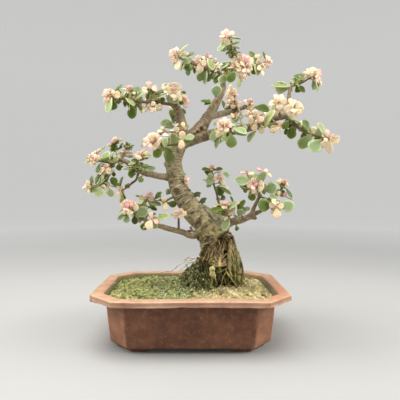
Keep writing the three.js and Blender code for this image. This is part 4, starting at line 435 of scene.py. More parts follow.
WOOD = [
    ("trunk", [[28, 0, 108.83, 18.81], [16.6, 0, 124.54, 14.94], [4.78, 1.9, 134.3, 12.78], [-7.15, 3.8, 150.18, 10.94], [-14.18, 3.8, 164.25, 10.33], [-17.09, 3.8, 178.1, 9.49], [-19.01, 1.9, 192, 9.45], [-16.34, 1.9, 202, 9.17], [-12.06, 0, 209.53, 8.58], [-6.86, 0, 214.51, 7.75]]),
    ("limb_upper_left", [[-7.97, 0, 211.75, 6.36], [-9.07, 0, 219.49, 6.2], [-10.12, 1.9, 231.58, 5.95], [-13.18, 3.8, 245.89, 5.3], [-17.01, 1.9, 252.92, 4.45], [-20.92, 0, 254.69, 3.32]]),
    ("limb_apex", [[-6.86, 0, 212.85, 7.75], [2.78, 1.9, 221.68, 6.95], [12.62, 3.8, 231.93, 6.48], [20.96, 7.6, 244.81, 6.03], [29.09, 9.5, 259.48, 4.81], [35.36, 11.4, 272, 3.87], [37.12, 13.3, 279.83, 3.43], [35.22, 15.2, 290.26, 2.87], [30.74, 15.2, 297.14, 2.29]]),
    ("twig_apex", [[35.68, 15.2, 287.28, 1.95], [38.93, 5.7, 292.64, 1.57]]),
    ("twig_top_right", [[35.91, 15.2, 286.13, 2.41], [42.98, 17.1, 294.09, 2.07], [52.43, 19, 297.94, 1.74], [63.72, 17.1, 298.23, 1.5]]),
    ("limb_back", [[18.37, 7.6, 240.97, 3.94], [35.21, 26.6, 249.7, 3.83], [54.07, 43.7, 257.19, 3.18], [67.37, 49.4, 263.55, 2.6]]),
    ("limb_right", [[-2.99, 0, 213.96, 7.19], [10.29, 0, 217.83, 6.09], [26.77, -1.9, 222.5, 5.23], [48.8, -1.9, 225.8, 4.96], [65.63, 0, 229.45, 4.7], [82.6, 1.9, 235.36, 4.72], [94.83, 1.9, 240.92, 4.72], [104.36, 0, 243.51, 4.43], [107.62, 1.9, 252.03, 3]]),
    ("limb_right_tip", [[104.36, 0, 243.29, 3.6], [108.29, -1.9, 239.57, 2.97], [110.78, -5.7, 234.31, 2.51]]),
    ("limb_mid_left", [[-16.42, 3.8, 173.19, 5.58], [-25.24, 1.9, 173.77, 4.22], [-30.21, 0, 174.45, 3.87], [-36.02, -1.9, 175.24, 3.58], [-42.55, -3.8, 176.79, 3.56], [-49.01, -5.7, 177.56, 3.27], [-54.9, -5.7, 180.07, 2.84], [-62.61, -3.8, 183.48, 2.85], [-67.97, -1.9, 188.68, 3.03], [-75.14, 0, 192.27, 2.77], [-81.89, 0, 192.27, 2.55], [-85.7, -1.9, 188.68, 2.2], [-87.83, -3.8, 183.48, 1.97], [-89.94, -5.7, 175.05, 1.75]]),
    ("limb_low_left", [[18.04, 0, 114.36, 5.53], [6.94, -1.9, 110.14, 4.08], [0.33, -3.8, 109.68, 3.56], [-8.08, -5.7, 113.27, 3.27], [-13.86, -5.7, 114.91, 3.06], [-20.72, -3.8, 116.37, 3.02], [-29.06, -3.8, 118.89, 3.02], [-35.86, -3.8, 120.65, 2.74], [-42.44, -3.8, 122.4, 2.47], [-48.24, -5.7, 126.15, 2.29], [-53.06, -11.4, 129.66, 2.04]]),
    ("limb_low_right", [[25.79, 0, 115.47, 6.64], [38.08, 3.8, 120.7, 5.3], [47.24, 3.8, 124.6, 4.47], [54.47, 1.9, 126.07, 4], [61.53, 0, 128.75, 3.6], [66.43, -1.9, 131.62, 3.08], [69.51, -1.9, 139.88, 2.31], [72.14, -7.6, 147.25, 2.06], [73.67, -15.2, 153.99, 1.81]]),
    ("twig_low_right_end", [[65.32, -1.9, 131.51, 3.03], [71.27, -5.7, 134.34, 2.62], [76.02, -9.5, 136.68, 1.95]]),
    ("stub_low_right", [[64.77, -1.9, 130.52, 2.48], [71.06, -3.8, 128.76, 2.08]]),
    ("twig_low_right_b", [[73.59, -13.3, 152.91, 1.39], [78.15, -15.2, 151, 1.28], [82.41, -15.2, 149.3, 1.17]]),
    ("slab_back", [[13.99, 11.4, 139.42, 4.55], [23.29, 15.2, 132.4, 5.16], [32.18, 11.4, 126.91, 5.12], [38.48, 5.7, 120.54, 4.49]]),
]

ROOTS = [
    ("diag", "t", [[28.5, -16.68, 110.3, 1.7], [25.69, -16.38, 106.3, 1.59], [23.48, -15.45, 102.77, 1.42], [20.74, -13.41, 98.51, 1.43], [18.51, -12.12, 94.9, 1.43], [16.83, -11.26, 91.32, 1.32], [15.71, -10.68, 87.78, 1.27], [14.06, -8.4, 83.36, 1.04], [12.38, -6.43, 80.69, 0.7]]),
    ("diag2", "t", [[25.77, -15.19, 102.74, 0.85], [23, -13.88, 99.15, 0.86], [20.77, -12.87, 95.58, 0.86], [19.62, -12.9, 91.58, 0.74], [19.03, -13.24, 87.06, 0.69], [16.82, -11.57, 83.34, 0.63]]),
    ("hang1", "b", [[18.57, -10.99, 103.92, 1.15], [16.96, -8.07, 99.51, 1.16], [15.33, -5.31, 95.64, 1.05], [14.2, -4.37, 92, 0.88], [13.03, -4.51, 88.52, 0.88], [14.12, -6.56, 85.94, 0.76]]),
    ("hang2", "b", [[21.3, -13.53, 105.38, 0.86], [19.13, -11.24, 100.51, 0.86], [16.95, -8.44, 96.67, 0.87], [15.25, -7.46, 91.89, 0.75], [13.58, -5.29, 87.48, 0.7]]),
    ("hang3", "b", [[20.31, -10.59, 100.42, 1.15], [18.65, -9.26, 95.63, 1.15], [17.49, -9.3, 91.02, 1.15], [18.56, -11.09, 86.7, 1.03], [19.64, -12.54, 81.22, 0.86], [19.08, -12.18, 76.57, 0.57]]),
    ("ear", "b", [[13.89, -4.72, 93.22, 1.28], [11.85, -4.8, 91.19, 1.87], [10.56, -4.89, 88.87, 1.69], [11.84, -5, 86.27, 1.22], [13.84, -6.38, 85.33, 0.87]]),
    ("tangle1", "b", [[6.59, -5.68, 81.72, 0.64], [8.33, -5.64, 82.88, 0.7], [10.66, -5.61, 83.46, 0.76], [13.54, -6.5, 83.03, 0.81], [16.27, -11.04, 84.97, 0.8], [18.47, -13.07, 87.03, 0.74]]),
    ("tangle2", "b", [[7.75, -5.8, 86.4, 0.52], [10.07, -5.85, 84.95, 0.64], [12.4, -5.98, 81.78, 0.76], [14.61, -9.15, 82.91, 0.75], [16.81, -11.89, 85.69, 0.69]]),
    ("tangle3", "b", [[13.01, -4.98, 86.85, 0.58], [11.26, -5.09, 83.95, 0.64], [9.51, -5.21, 81.06, 0.64], [11.25, -5.28, 78.16, 0.58], [13, -5.33, 74.67, 0.47]]),
    ("tangle4", "b", [[8.35, -4.79, 81.57, 0.47], [10.68, -4.86, 79.83, 0.58], [13.56, -6.13, 80.06, 0.64], [16.28, -10.63, 80.87, 0.58], [17.93, -12.41, 78.33, 0.46]]),
    ("stump_a", "b", [[26.46, -13.27, 93.35, 1.43], [25.01, -13.6, 88.83, 2.57], [24.42, -13.96, 84.33, 2.97], [24.11, -14.32, 80.4, 2.74], [24.11, -14.4, 77.57, 1.99]]),
    ("stump_b", "b", [[28.07, -14.73, 90.16, 1.71], [28.59, -15.48, 85.73, 3.13], [29.11, -16.11, 81.87, 3.12], [30.21, -16.57, 79.4, 2.27]]),
    ("stump_c", "b", [[32.63, -14.67, 89.58, 1.31], [33.49, -15.3, 85.7, 2.22], [33.78, -15.87, 82.39, 2.21], [33.06, -16.36, 79.08, 1.59]]),
    ("stump_low", "o", [[30.15, -17.41, 78.15, 1.46], [30.98, -17.6, 76.2, 1.7], [31.7, -17.79, 73.7, 1.21]]),
    ("stump_low2", "o", [[28.01, -15.68, 73.84, 0.88], [30.24, -16.24, 71.12, 1.37], [30.78, -16.46, 67.76, 1.07]]),
    ("bulb", "n", [[23.1, -20, 79, 0.9], [23.1, -20, 78.7, 1.8], [23.1, -20, 77.9, 2.6], [23.1, -20, 76.8, 3.05], [23.04, -19.94, 74.81, 2.92], [22.77, -19.8, 73.43, 2.42], [22.99, -19.93, 72.11, 2.81], [23.26, -20.07, 70.68, 3.26], [23.48, -20.2, 69.02, 3.03], [23.53, -20.23, 67.46, 2.19], [23.42, -20.18, 66.21, 1.24]]),
    ("bulb_leg", "y", [[23.22, -19.87, 66.81, 1.12], [23, -19.75, 64.26, 0.84], [22.57, -19.3, 61.91, 0.73], [21.83, -18.46, 59.17, 0.65], [20.99, -17.39, 56.37, 0.57], [20.47, -16.39, 52.44, 0.4]]),
    ("bulb_tail", "y", [[24.97, -20.49, 69.2, 1.01], [25.74, -20.84, 66.75, 0.78], [26.06, -21.01, 64.27, 0.56], [26.18, -20.98, 62.46, 0.34]]),
    ("cross_a", "t", [[27.18, -19.41, 72.34, 0.45], [29.95, -20.01, 72.91, 0.51], [33.3, -20.25, 74.2, 0.51], [36.24, -20.01, 75.72, 0.51], [38.42, -19.56, 76.87, 0.39]]),
    ("y_right", "y", [[36.86, -20.64, 76.86, 0.5], [37.63, -20.8, 73.41, 0.67], [40.11, -20.64, 69.45, 0.7], [42.73, -20.22, 65.77, 0.67], [45.48, -19.28, 62.07, 0.62], [48.23, -17.54, 58.84, 0.54], [50.25, -15.79, 56.15, 0.4]]),
    ("y_left", "t", [[37.22, -20.38, 74.45, 0.45], [35.78, -20.79, 70.94, 0.48], [34.35, -21.02, 68.08, 0.48], [33.05, -21.16, 64.75, 0.45], [32.67, -21.03, 60.91, 0.42], [32.58, -20.8, 57.49, 0.34]]),
    ("mid_col", "t", [[42.83, -9.71, 105.49, 1.9], [42.7, -10.98, 101.62, 2.07], [41.82, -12.81, 97.29, 2.12], [41.31, -14.44, 92.96, 1.99], [41.06, -15.71, 88.61, 1.87], [40.82, -17, 84.29, 1.92], [40.95, -17.91, 80.5, 1.86], [41.25, -18.29, 76.62, 1.75], [41.61, -18.63, 72.18, 1.52], [42.55, -18.78, 67.7, 1.18], [43.57, -18.78, 64.32, 0.85]]),
    ("mid_col_b", "b", [[39.65, -12.74, 98.42, 0.74], [40.02, -13.61, 93.97, 0.86], [39.41, -15.18, 88.52, 0.97], [38.71, -16.6, 83.66, 1.08], [38.62, -17.49, 79.29, 1.07], [39.16, -17.77, 74.83, 0.96], [38.55, -18.24, 70.97, 0.73]]),
    ("spike", "t", [[32.97, -17.42, 87.48, 0.62], [35.28, -16.9, 88.81, 0.71], [37.36, -15.88, 91.48, 0.57]]),
    ("olive_1", "o", [[45.96, -7.53, 95.38, 0.75], [44.93, -11.57, 89.08, 0.84], [45.28, -13.56, 83.12, 0.83], [45.43, -14.78, 78.21, 0.83], [46.57, -14.73, 73.65, 0.78], [45.89, -15.7, 69.87, 0.73], [44.33, -16.95, 66.17, 0.58]]),
    ("olive_2", "o", [[47.76, -11.89, 81.1, 0.65], [47.29, -13.5, 75.68, 0.74], [46.56, -14.85, 70.26, 0.73], [46.79, -15.35, 65.82, 0.69], [47.97, -14.92, 62.87, 0.49]]),
    ("olive_3", "o", [[44.65, -8.94, 92.12, 1], [43.75, -11.94, 85.7, 0.99], [44.14, -13.53, 79.69, 1.08], [44.05, -14.38, 73.58, 0.98], [45.16, -14.62, 67.36, 0.83]]),
    ("right_big", "r", [[44.74, -8.08, 100.67, 1.39], [47.39, -5.2, 96.21, 1.9], [49.12, -5.36, 92.15, 2.11], [49.97, -5.53, 88.1, 2.15], [50.18, -8.6, 83.97, 2.34], [50.48, -10.81, 79.76, 2.57], [50.65, -11.72, 75.34, 2.61], [51.17, -12.19, 70.84, 2.56], [51.7, -12.49, 66.9, 2.22], [50.93, -14.02, 63.52, 1.47]]),
    ("right_outer", "t", [[43.97, -4.53, 109.54, 1.11], [45.72, -4.53, 106.62, 1.4], [47.18, -4.53, 103.12, 1.4], [48.64, -4.53, 99.62, 1.4], [49.8, -4.6, 96.12, 1.23], [51.52, -4.79, 91.48, 1.11], [52.67, -4.95, 87.43, 1.22], [54.4, -5.12, 83.37, 1.22], [55.54, -5.26, 79.9, 1.34], [56.12, -5.32, 75.83, 1.22], [56.69, -5.38, 71.77, 1.17], [57.56, -5.44, 67.7, 1.22], [58.31, -5.49, 63.05, 1.05]]),
    ("right_in", "o", [[48.12, -3.96, 97.2, 0.85], [46.44, -8.42, 92.04, 0.89], [47.42, -9.94, 86.51, 0.89], [46.53, -12.66, 82.39, 0.74], [45.13, -14.93, 77.1, 0.73]]),
    ("low_right", "g", [[58.48, -5.09, 62.96, 0.71], [60.82, -5.05, 60.04, 0.6], [63.16, -5, 56.53, 0.5], [65.5, -4.94, 52.43, 0.38]]),
    ("low_mid", "g", [[51.04, -13.18, 64.19, 0.83], [53.07, -10.75, 60.2, 0.69], [56.11, -5.4, 56.63, 0.55]]),
    ("arc_top", "u", [[33.72, -15.22, 110.59, 0.74], [36.72, -13.52, 112.12, 0.97], [40.48, -10.16, 112.92, 1.09], [43.59, -5.33, 111.49, 1.05], [45.16, -5.33, 107.59, 0.93], [45.75, -5.33, 103.8, 0.76]]),
    ("arc_top2", "b", [[30.31, -15.29, 110.6, 0.8], [33.78, -14.54, 109.38, 0.8], [37.32, -13.26, 107.29, 0.8], [39.7, -12.22, 104.65, 0.74], [41.51, -11.38, 101.1, 0.63]]),
    ("arc_top3", "t", [[34.97, -13.95, 108.86, 0.57], [38.61, -11.73, 109.52, 0.69], [41.75, -9.04, 108.07, 0.69], [42.94, -8.73, 104.8, 0.58]]),
    ("arc_top4", "t", [[34.49, -14.27, 111.63, 0.57], [38, -12.11, 112.54, 0.63], [41.21, -8.67, 113.46, 0.64], [44.4, -4.83, 112.26, 0.53]]),
    ("cav_1", "b", [[29.3, -13.48, 107.66, 0.74], [28.16, -13.41, 103.08, 0.74], [27.61, -13.21, 99.06, 0.69], [28.15, -13.64, 95.69, 0.68], [29.24, -14.33, 92.37, 0.68]]),
    ("cav_2", "b", [[32.82, -12.35, 108.1, 0.74], [31.64, -12.78, 104.72, 0.69], [30.49, -12.9, 100.73, 0.69], [32.2, -12.98, 97.31, 0.69], [33.29, -13.56, 93.4, 0.63], [33.83, -13.99, 90.61, 0.57]]),
    ("cav_3", "b", [[36.41, -10.64, 107.9, 0.75], [37.56, -10.65, 103.88, 0.69], [36.33, -11.49, 100.54, 0.69], [35.13, -12.16, 97.19, 0.63], [34.49, -12.91, 93.87, 0.63]]),
    ("cav_4", "b", [[39.3, -10.46, 105.01, 0.75], [38.64, -11.39, 101.1, 0.69], [37.69, -12.35, 97.22, 0.63], [36.16, -13.42, 94.52, 0.57]]),
    ("cav_5", "o", [[31, -13.68, 101.97, 0.42], [33.88, -13.4, 99.65, 0.42], [36.18, -13.17, 96.76, 0.42], [38.52, -12.63, 95.26, 0.42], [40.94, -11.31, 95.35, 0.42]]),
    ("cav_6", "t", [[25.84, -14.1, 100.89, 0.86], [26.96, -14.31, 97.5, 0.85], [28.05, -15.07, 94.19, 0.85], [30.27, -15.76, 91.46, 0.85], [31.94, -16.15, 89.25, 0.74]]),
    ("cav_7", "t", [[24.13, -14, 96.31, 0.97], [23.1, -14.15, 92.91, 1.03], [22.4, -14.43, 89.54, 1.03], [21.38, -14.32, 86.1, 0.97], [20.69, -14.42, 81.56, 0.85]]),
    ("cav_8", "b", [[31.15, -11.8, 105.74, 0.57], [34.04, -11.42, 102.83, 0.57], [37.57, -10.51, 99.26, 0.58], [39.95, -9.72, 96.85, 0.52]]),
    ("vein_1", "t", [[24.69, -14.22, 99.2, 0.57], [25.78, -14.96, 95.31, 0.63], [27.41, -16.09, 90.94, 0.62], [30.2, -16.72, 89.23, 0.57]]),
    ("far_00", "r", [[45.31, 1.95, 105.84, 2.2], [47.46, 2.34, 96.81, 1.99], [50.08, 3.85, 87.29, 1.75], [51.92, 5.46, 79.92, 1.77], [53.82, 8.21, 68.99, 1.78], [54.8, 5.65, 61.36, 1.74], [55.5, 4.46, 53.6, 1.5], [56.05, 6.47, 48.5, 1.02]]),
    ("far_01", "t", [[44.32, 3.41, 107.27, 1.72], [46.93, 5.63, 96.28, 1.8], [49.11, 4.68, 88.02, 1.66], [53.2, 4.78, 77.96, 1.74], [54.17, 6.55, 67.13, 1.5], [54.87, 6.46, 56.48, 1.61], [53.78, 6.8, 49.19, 1.66], [55.53, 6.5, 48.5, 1.25]]),
    ("far_02", "t", [[44.2, 4.14, 107.9, 0.92], [46.13, 4.87, 98.95, 0.83], [48.89, 6.51, 88.01, 0.79], [51.42, 9.6, 79.43, 0.68], [51.67, 9.63, 68.53, 0.73], [51.51, 12.29, 60.78, 0.73], [51.67, 10.05, 53.61, 0.7], [52.08, 12.48, 48.5, 0.6]]),
    ("far_03", "r", [[44.39, 5.49, 106.16, 1.15], [46.25, 5.27, 97.67, 1.23], [47.97, 7.15, 88.37, 1.11], [50.57, 9.2, 77.74, 1.01], [51.91, 12.11, 67.78, 0.92], [50.81, 11.58, 57.25, 0.88], [49.34, 13.6, 50.1, 0.8], [48.33, 15.17, 48.5, 0.55]]),
    ("far_04", "r", [[41.21, 7.28, 111.01, 2.29], [43.19, 7.76, 102.09, 2.28], [43.97, 9.47, 94.24, 2.33], [47.6, 9.66, 85.6, 2.03], [48.2, 11.97, 76.47, 1.79], [50.86, 12.11, 67.67, 1.82], [50.95, 12.33, 56.88, 1.94], [52.59, 12.25, 48.5, 1.18]]),
    ("far_05", "r", [[42.25, 8.79, 104.75, 1.9], [46.57, 8.01, 93.75, 1.87], [49.5, 9.98, 83.15, 1.89], [52.59, 9.99, 72.49, 1.92], [54.31, 9.84, 62.01, 1.98], [52.98, 9.86, 52.72, 1.87], [55.04, 8.36, 48.5, 1.31]]),
    ("far_06", "b", [[40.26, 10.62, 108.19, 1.6], [42.06, 9.85, 98.87, 1.67], [46.62, 9.65, 88.87, 1.66], [48.86, 11.35, 80.95, 1.61], [51.25, 10.53, 70.27, 1.39], [54.25, 9.92, 60.55, 1.24], [52.91, 8.88, 50.91, 1.31], [54.98, 8.08, 48.5, 0.88]]),
    ("far_07", "r", [[39.98, 11.19, 103.38, 1.68], [42.15, 12.01, 95.84, 1.75], [42.07, 13.76, 85.99, 1.61], [45.52, 14.43, 77.19, 1.46], [47.52, 15.45, 67.69, 1.36], [47.43, 14.14, 56.76, 1.2], [50.81, 13.94, 48.5, 0.84]]),
    ("far_08", "b", [[38.95, 11.75, 107.09, 1.92], [41.73, 10.56, 98.47, 1.97], [42.9, 12.42, 88.35, 2.12], [45.26, 13.79, 80.92, 2.12], [47.77, 13.11, 73.6, 2.21], [47.94, 14.11, 63.75, 2.16], [47.56, 15.84, 55.84, 2.12], [45.07, 17.4, 48.5, 1.33]]),
    ("far_09", "r", [[36.45, 11.74, 111.06, 1.89], [38.7, 12.29, 102.24, 2], [39.41, 14.51, 92.97, 2.08], [40.52, 15.91, 84.11, 1.88], [41.35, 16.44, 73.84, 1.91], [40.27, 18.27, 63.24, 2.06], [41.65, 17.94, 53.08, 2.18], [44.17, 17.56, 48.5, 1.46]]),
    ("far_10", "r", [[37.13, 12.89, 101.85, 2.2], [39.67, 14.12, 91.38, 1.91], [40.22, 17.1, 81.64, 1.84], [41.44, 17.09, 71.03, 1.86], [42.32, 18, 60.52, 1.87], [41.89, 17.28, 51.76, 1.95], [42.11, 18.14, 48.5, 1.45]]),
    ("far_11", "o", [[35.96, 14.2, 103.34, 2.08], [35.73, 14.61, 95.5, 2.24], [38.75, 15.66, 86.21, 2.18], [43.28, 15.87, 76.79, 2.35], [42.91, 16.98, 68.19, 2.3], [45.88, 15.86, 58.42, 2.26], [44.17, 17.89, 48.5, 1.45]]),
    ("far_12", "o", [[34.12, 14.82, 102.76, 2.17], [35.57, 15.16, 92.08, 1.92], [38.39, 16.81, 84.96, 1.94], [41.35, 16.14, 77.82, 1.68], [44.34, 16.45, 67.92, 1.63], [43.26, 17.53, 58.59, 1.63], [41.28, 18.79, 48.5, 0.98]]),
    ("far_13", "t", [[30.65, 15.11, 106.62, 1.87], [34, 14.62, 97.49, 1.7], [37.01, 15.91, 88.14, 1.8], [40.87, 17.13, 79.75, 1.79], [39.94, 16.85, 71.97, 1.61], [43.39, 17.03, 61.41, 1.42], [41.18, 17.78, 52.67, 1.39], [40.63, 18.58, 48.5, 1.01]]),
    ("far_14", "r", [[30.14, 15.27, 107.55, 2.18], [32, 14.66, 100.09, 2.24], [34.54, 15.21, 90.35, 1.96], [35.73, 17.1, 83.2, 1.91], [38.91, 18, 75.61, 1.73], [37.59, 17.83, 64.65, 1.52], [38.38, 17.76, 53.85, 1.57], [38.49, 19.02, 48.5, 1.05]]),
    ("far_15", "o", [[28.33, 14.32, 106.88, 0.83], [31.08, 15.27, 98.24, 0.79], [33.77, 15.9, 88.82, 0.82], [33.29, 18.14, 81.49, 0.86], [34.25, 18.47, 70.73, 0.77], [33.65, 18.03, 62.36, 0.71], [36.05, 17.52, 52.39, 0.76], [35.86, 19.1, 48.5, 0.52]]),
    ("far_16", "o", [[26.91, 13.92, 103.68, 1.89], [28.21, 14.75, 95.31, 1.63], [27.79, 17.06, 85.76, 1.49], [29.98, 17.87, 76.09, 1.5], [31.64, 18.63, 66.96, 1.62], [31.18, 17.26, 57.16, 1.74], [29.32, 18.68, 48.5, 1.12]]),
    ("far_17", "r", [[24.33, 13.65, 108.66, 1.78], [27.45, 14.52, 100.62, 1.66], [28.06, 14.91, 91.96, 1.74], [27.8, 17.02, 83.18, 1.7], [29.76, 17.69, 72.36, 1.81], [28.7, 17.99, 61.48, 1.78], [29.52, 17.19, 52.76, 1.64], [28.96, 18.24, 48.5, 1.11]]),
    ("far_18", "b", [[24.62, 13.56, 101.97, 2.19], [26.55, 14.19, 94.91, 1.9], [27.17, 16.76, 84.89, 2.01], [25.64, 15.94, 77.69, 2.15], [26.45, 18.04, 67.07, 2.07], [27.28, 17.58, 59.1, 2.21], [25.48, 15.83, 50.22, 2.3], [24.39, 16.2, 48.5, 1.55]]),
    ("far_19", "t", [[22.31, 12.8, 102.99, 1.18], [23.34, 13.67, 95.43, 1.17], [23.62, 15.67, 85.71, 1.2], [25.58, 16.61, 78.16, 1.06], [27.33, 18.03, 69.15, 1.03], [27.59, 17.81, 61.05, 1.05], [29.36, 18.12, 53.29, 0.96], [28.39, 18.11, 48.5, 0.61]]),
    ("far_20", "b", [[22.7, 11.94, 98.13, 1.37], [22.73, 14.4, 90.98, 1.26], [24.76, 17.09, 80.33, 1.15], [26.78, 17.19, 71.39, 1.07], [25.5, 16.8, 63.86, 1.11], [24.81, 15.48, 53.57, 1.14], [24.76, 16.7, 48.5, 0.72]]),
    ("far_21", "o", [[16.71, 11.65, 111.85, 1.28], [18.87, 10.33, 101.86, 1.22], [18.34, 9.33, 94.48, 1.07], [17.25, 10.54, 85.22, 1.08], [18.8, 13.24, 75.12, 0.98], [20.22, 14.31, 67.79, 1], [22.75, 15.54, 59.66, 0.94], [25.62, 15.91, 51.19, 0.95], [22.9, 15.43, 48.5, 0.71]]),
    ("far_22", "r", [[15.98, 10.56, 111.89, 1.48], [19.04, 9.79, 101.02, 1.44], [19.88, 12.54, 90.71, 1.45], [19.06, 12.9, 80.52, 1.37], [19.64, 12.61, 72.9, 1.23], [18.73, 11.82, 64.09, 1.28], [21.31, 12.63, 56.86, 1.19], [20.24, 14.19, 48.5, 0.82]]),
    ("far_23", "t", [[17.98, 9.58, 99.18, 1.05], [18.94, 11.42, 88.58, 1.05], [18.49, 12.07, 78.6, 0.96], [18.94, 12.61, 68.54, 0.98], [17.86, 10.93, 60.18, 0.99], [17.63, 10.04, 51.04, 1.01], [16.35, 8.7, 48.5, 0.71]]),
    ("far_24", "b", [[13.5, 8.53, 109.67, 2.5], [16.63, 8.33, 100.11, 2.54], [16.18, 9.21, 91.43, 2.27], [16.76, 10.3, 80.46, 2.03], [18.32, 11.3, 71.76, 2.18], [19.53, 13.89, 63.53, 2.19], [22.81, 14.8, 55.81, 2.1], [24.62, 16.86, 48.5, 1.3]]),
    ("far_25", "r", [[15.21, 7.72, 106.24, 1.7], [17.31, 7.95, 97.2, 1.8], [13.8, 7.49, 86.56, 1.8], [13.78, 6.08, 77.36, 1.74], [14.73, 5.36, 66.54, 1.79], [16.23, 5.79, 56.09, 1.63], [13.74, 3.82, 48.5, 1.18]]),
    ("far_26", "r", [[15.32, 5.87, 98.81, 2.2], [13.84, 4.45, 88.31, 2.12], [12.05, 3.21, 79.63, 2.01], [13.4, 1.11, 72.05, 2.09], [14.29, 0.53, 62.08, 2.03], [14.27, 2.24, 52.8, 1.84], [14.3, 4.24, 48.5, 1.2]]),
    ("far_27", "o", [[15.27, 4.43, 99.36, 1.51], [13.76, 4.47, 88.54, 1.59], [13.98, 5.18, 78.38, 1.69], [14.46, 7, 68.08, 1.65], [14.97, 5.31, 60.45, 1.54], [15.72, 6.33, 53.14, 1.48], [14.68, 5.6, 48.5, 0.91]]),
    ("far_28", "o", [[12.69, 3.02, 108.45, 1.99], [14.54, 1.64, 99.67, 2.02], [13.17, 3.56, 91.5, 2.08], [13.14, 2.69, 81.12, 2.2], [11.85, 0.69, 71.61, 2.26], [14.1, 0.38, 61.59, 1.99], [15.44, 2.31, 53.08, 1.84], [13.82, 1.74, 48.5, 1.24]]),
    ("far_29", "b", [[14.4, 2.92, 99.97, 1.07], [13.2, 4.67, 90.14, 1.01], [14.45, 6.67, 80.77, 0.92], [13.78, 7.81, 73.27, 0.81], [14.57, 7.88, 64.56, 0.81], [16.99, 7.97, 54.28, 0.76], [16.11, 8.94, 48.5, 0.6]]),
    ("ledge", "t", [[33.1, -12, 106.38, 0.9], [35.72, -12.8, 109.8, 1.5], [39.53, -12.2, 111.66, 1.8], [43.57, -9.6, 110.09, 1.6], [46.09, -6.4, 105.71, 1.2], [47.67, -5, 99.53, 0.9]]),
]

CORE = [[40, 34, 0, 12.5, 10.5], [54.6, 34, 0, 14, 11.5], [63.5, 33.5, 0, 15, 12], [80, 31.5, 0, 14, 11], [89, 30, 0, 12, 9.5], [98, 29.5, 0, 9.5, 8], [105, 28, 0, 11, 9.5], [112, 25.5, 0, 13.6, 11.6], [118, 22.5, 0, 13, 11]]

FLARE = [[44.5, 35.5, 0, 18.6, 16], [54.6, 35.5, 0, 19.6, 17], [63.5, 35, 0, 20.4, 17.4], [80, 33.4, 0, 19.8, 16.8], [89, 32.2, 0, 18, 15.4], [98, 31.2, 0, 15.8, 14], [106, 29, 0, 15.6, 14], [113, 26.5, 0, 15.5, 13.5]]

ROOTLETS = [[[9.01, -8, 81.48, 0.55], [5.4, -10, 85.3, 0.52], [0.86, -12, 86.5, 0.5], [-3.53, -14, 86.62, 0.47], [-6.93, -15, 82.73, 0.44], [-13.62, -16, 78.87, 0.41], [-19.79, -16, 73.76, 0.39], [-26.35, -15, 72.6, 0.36], [-32.83, -14, 70.58, 0.33]],
    [[3.56, -10, 85.62, 0.45], [-1.82, -13, 83.23, 0.41], [-5.01, -15, 79.53, 0.36], [-2.34, -16, 76.53, 0.32], [0.32, -16, 74.4, 0.27]],
    [[-3.42, -14, 86.4, 0.4], [-6.61, -15, 85.51, 0.32], [-8.21, -15, 83.59, 0.24]],
    [[7.96, -6, 81.13, 0.45], [1.41, -9, 81.12, 0.41], [-3.98, -12, 79.51, 0.36], [-8.27, -12, 75.75, 0.32], [-13.65, -12, 71.45, 0.27]]]

RIDGES = [[[17.32, -4, 114.74, 8.6], [15.12, -4, 107.07, 6.4], [14.14, -4, 99.95, 4.6], [14.14, -4, 93.92, 3]],
    [[3.61, -5, 109.92, 3.2], [7.85, -11.5, 114.39, 3], [11.55, -14, 119.34, 2.4], [14.5, -15.2, 124.77, 1.3]],
    [[-29.33, 0, 189.06, 1], [-26.45, 0, 185.19, 1.8], [-23.43, -0.5, 179.62, 2.6], [-21.2, -1, 174.07, 2.6]],
    [[33.37, -2, 115.1, 5.2], [39.98, -2, 113.45, 3.2]]]

CREASES = [  # line (x, z) on the front, width, height
    ([[-24.1, 191.3], [-22.6, 184.7], [-20.4, 178.2], [-19, 173.3]], 0.95, -1.15),
    ([[-22.5, 164], [-18.2, 162.6], [-12.7, 162.9], [-7.8, 165.6]], 1.5, 1.0),
    ([[-16.5, 148.8], [-9.4, 151.2], [-0.8, 155.7]], 0.75, -0.6),
    ([[-16.5, 150.7], [-9.4, 153.1], [-1.8, 157.5]], 1.2, 0.4),
    ([[3, 122.5], [8.9, 124.5], [15.7, 128.2]], 0.7, -0.6),
    ([[4.6, 119.2], [10.5, 122], [17, 126.5]], 1.2, 0.5),
    ([[11.7, 142], [18.1, 135.5], [24.9, 127.5], [30.2, 121.6]], 0.7, -0.8),
    ([[12.5, 107.1], [17.4, 108.9], [22.8, 110.8]], 1.0, -1.5),
    ([[12.6, 103.1], [17.9, 105.7], [23.2, 107.4]], 1.3, -1.8),
    ([[13.6, 98.9], [18.4, 100.6], [21.6, 102.7]], 1.2, -1.6),
    ([[18.9, 99.7], [16.1, 94.3], [13.8, 89]], 1.2, -1.5),
    ([[-16, 206], [-13.3, 201.1], [-10.6, 196.7]], 0.8, -0.6),
    ([[9.1, 225.8], [13.4, 228], [18.4, 226.4]], 1.2, -0.8)]

SCAR = (np.array([-15.38, -6, 157.69]), 5.4)

STUMP = ([29.96, -18, 78.51], 3.2)

BITS = [((2.7, -54, 56.78), (2.6, 1.2, 0.8), (132, 78, 52)), ((22.91, -54, 56.39), (2.0, 1.3, 0.6), (206, 188, 120)), ((-58.43, -54, 56.01), (1.6, 1.0, 0.7), (150, 96, 60)), ((-79.74, -20, 61.51), (1.3, 1.2, 0.9), (196, 170, 116)), ((73.2, -30, 55.64), (1.4, 1.0, 0.8), (176, 150, 96))]

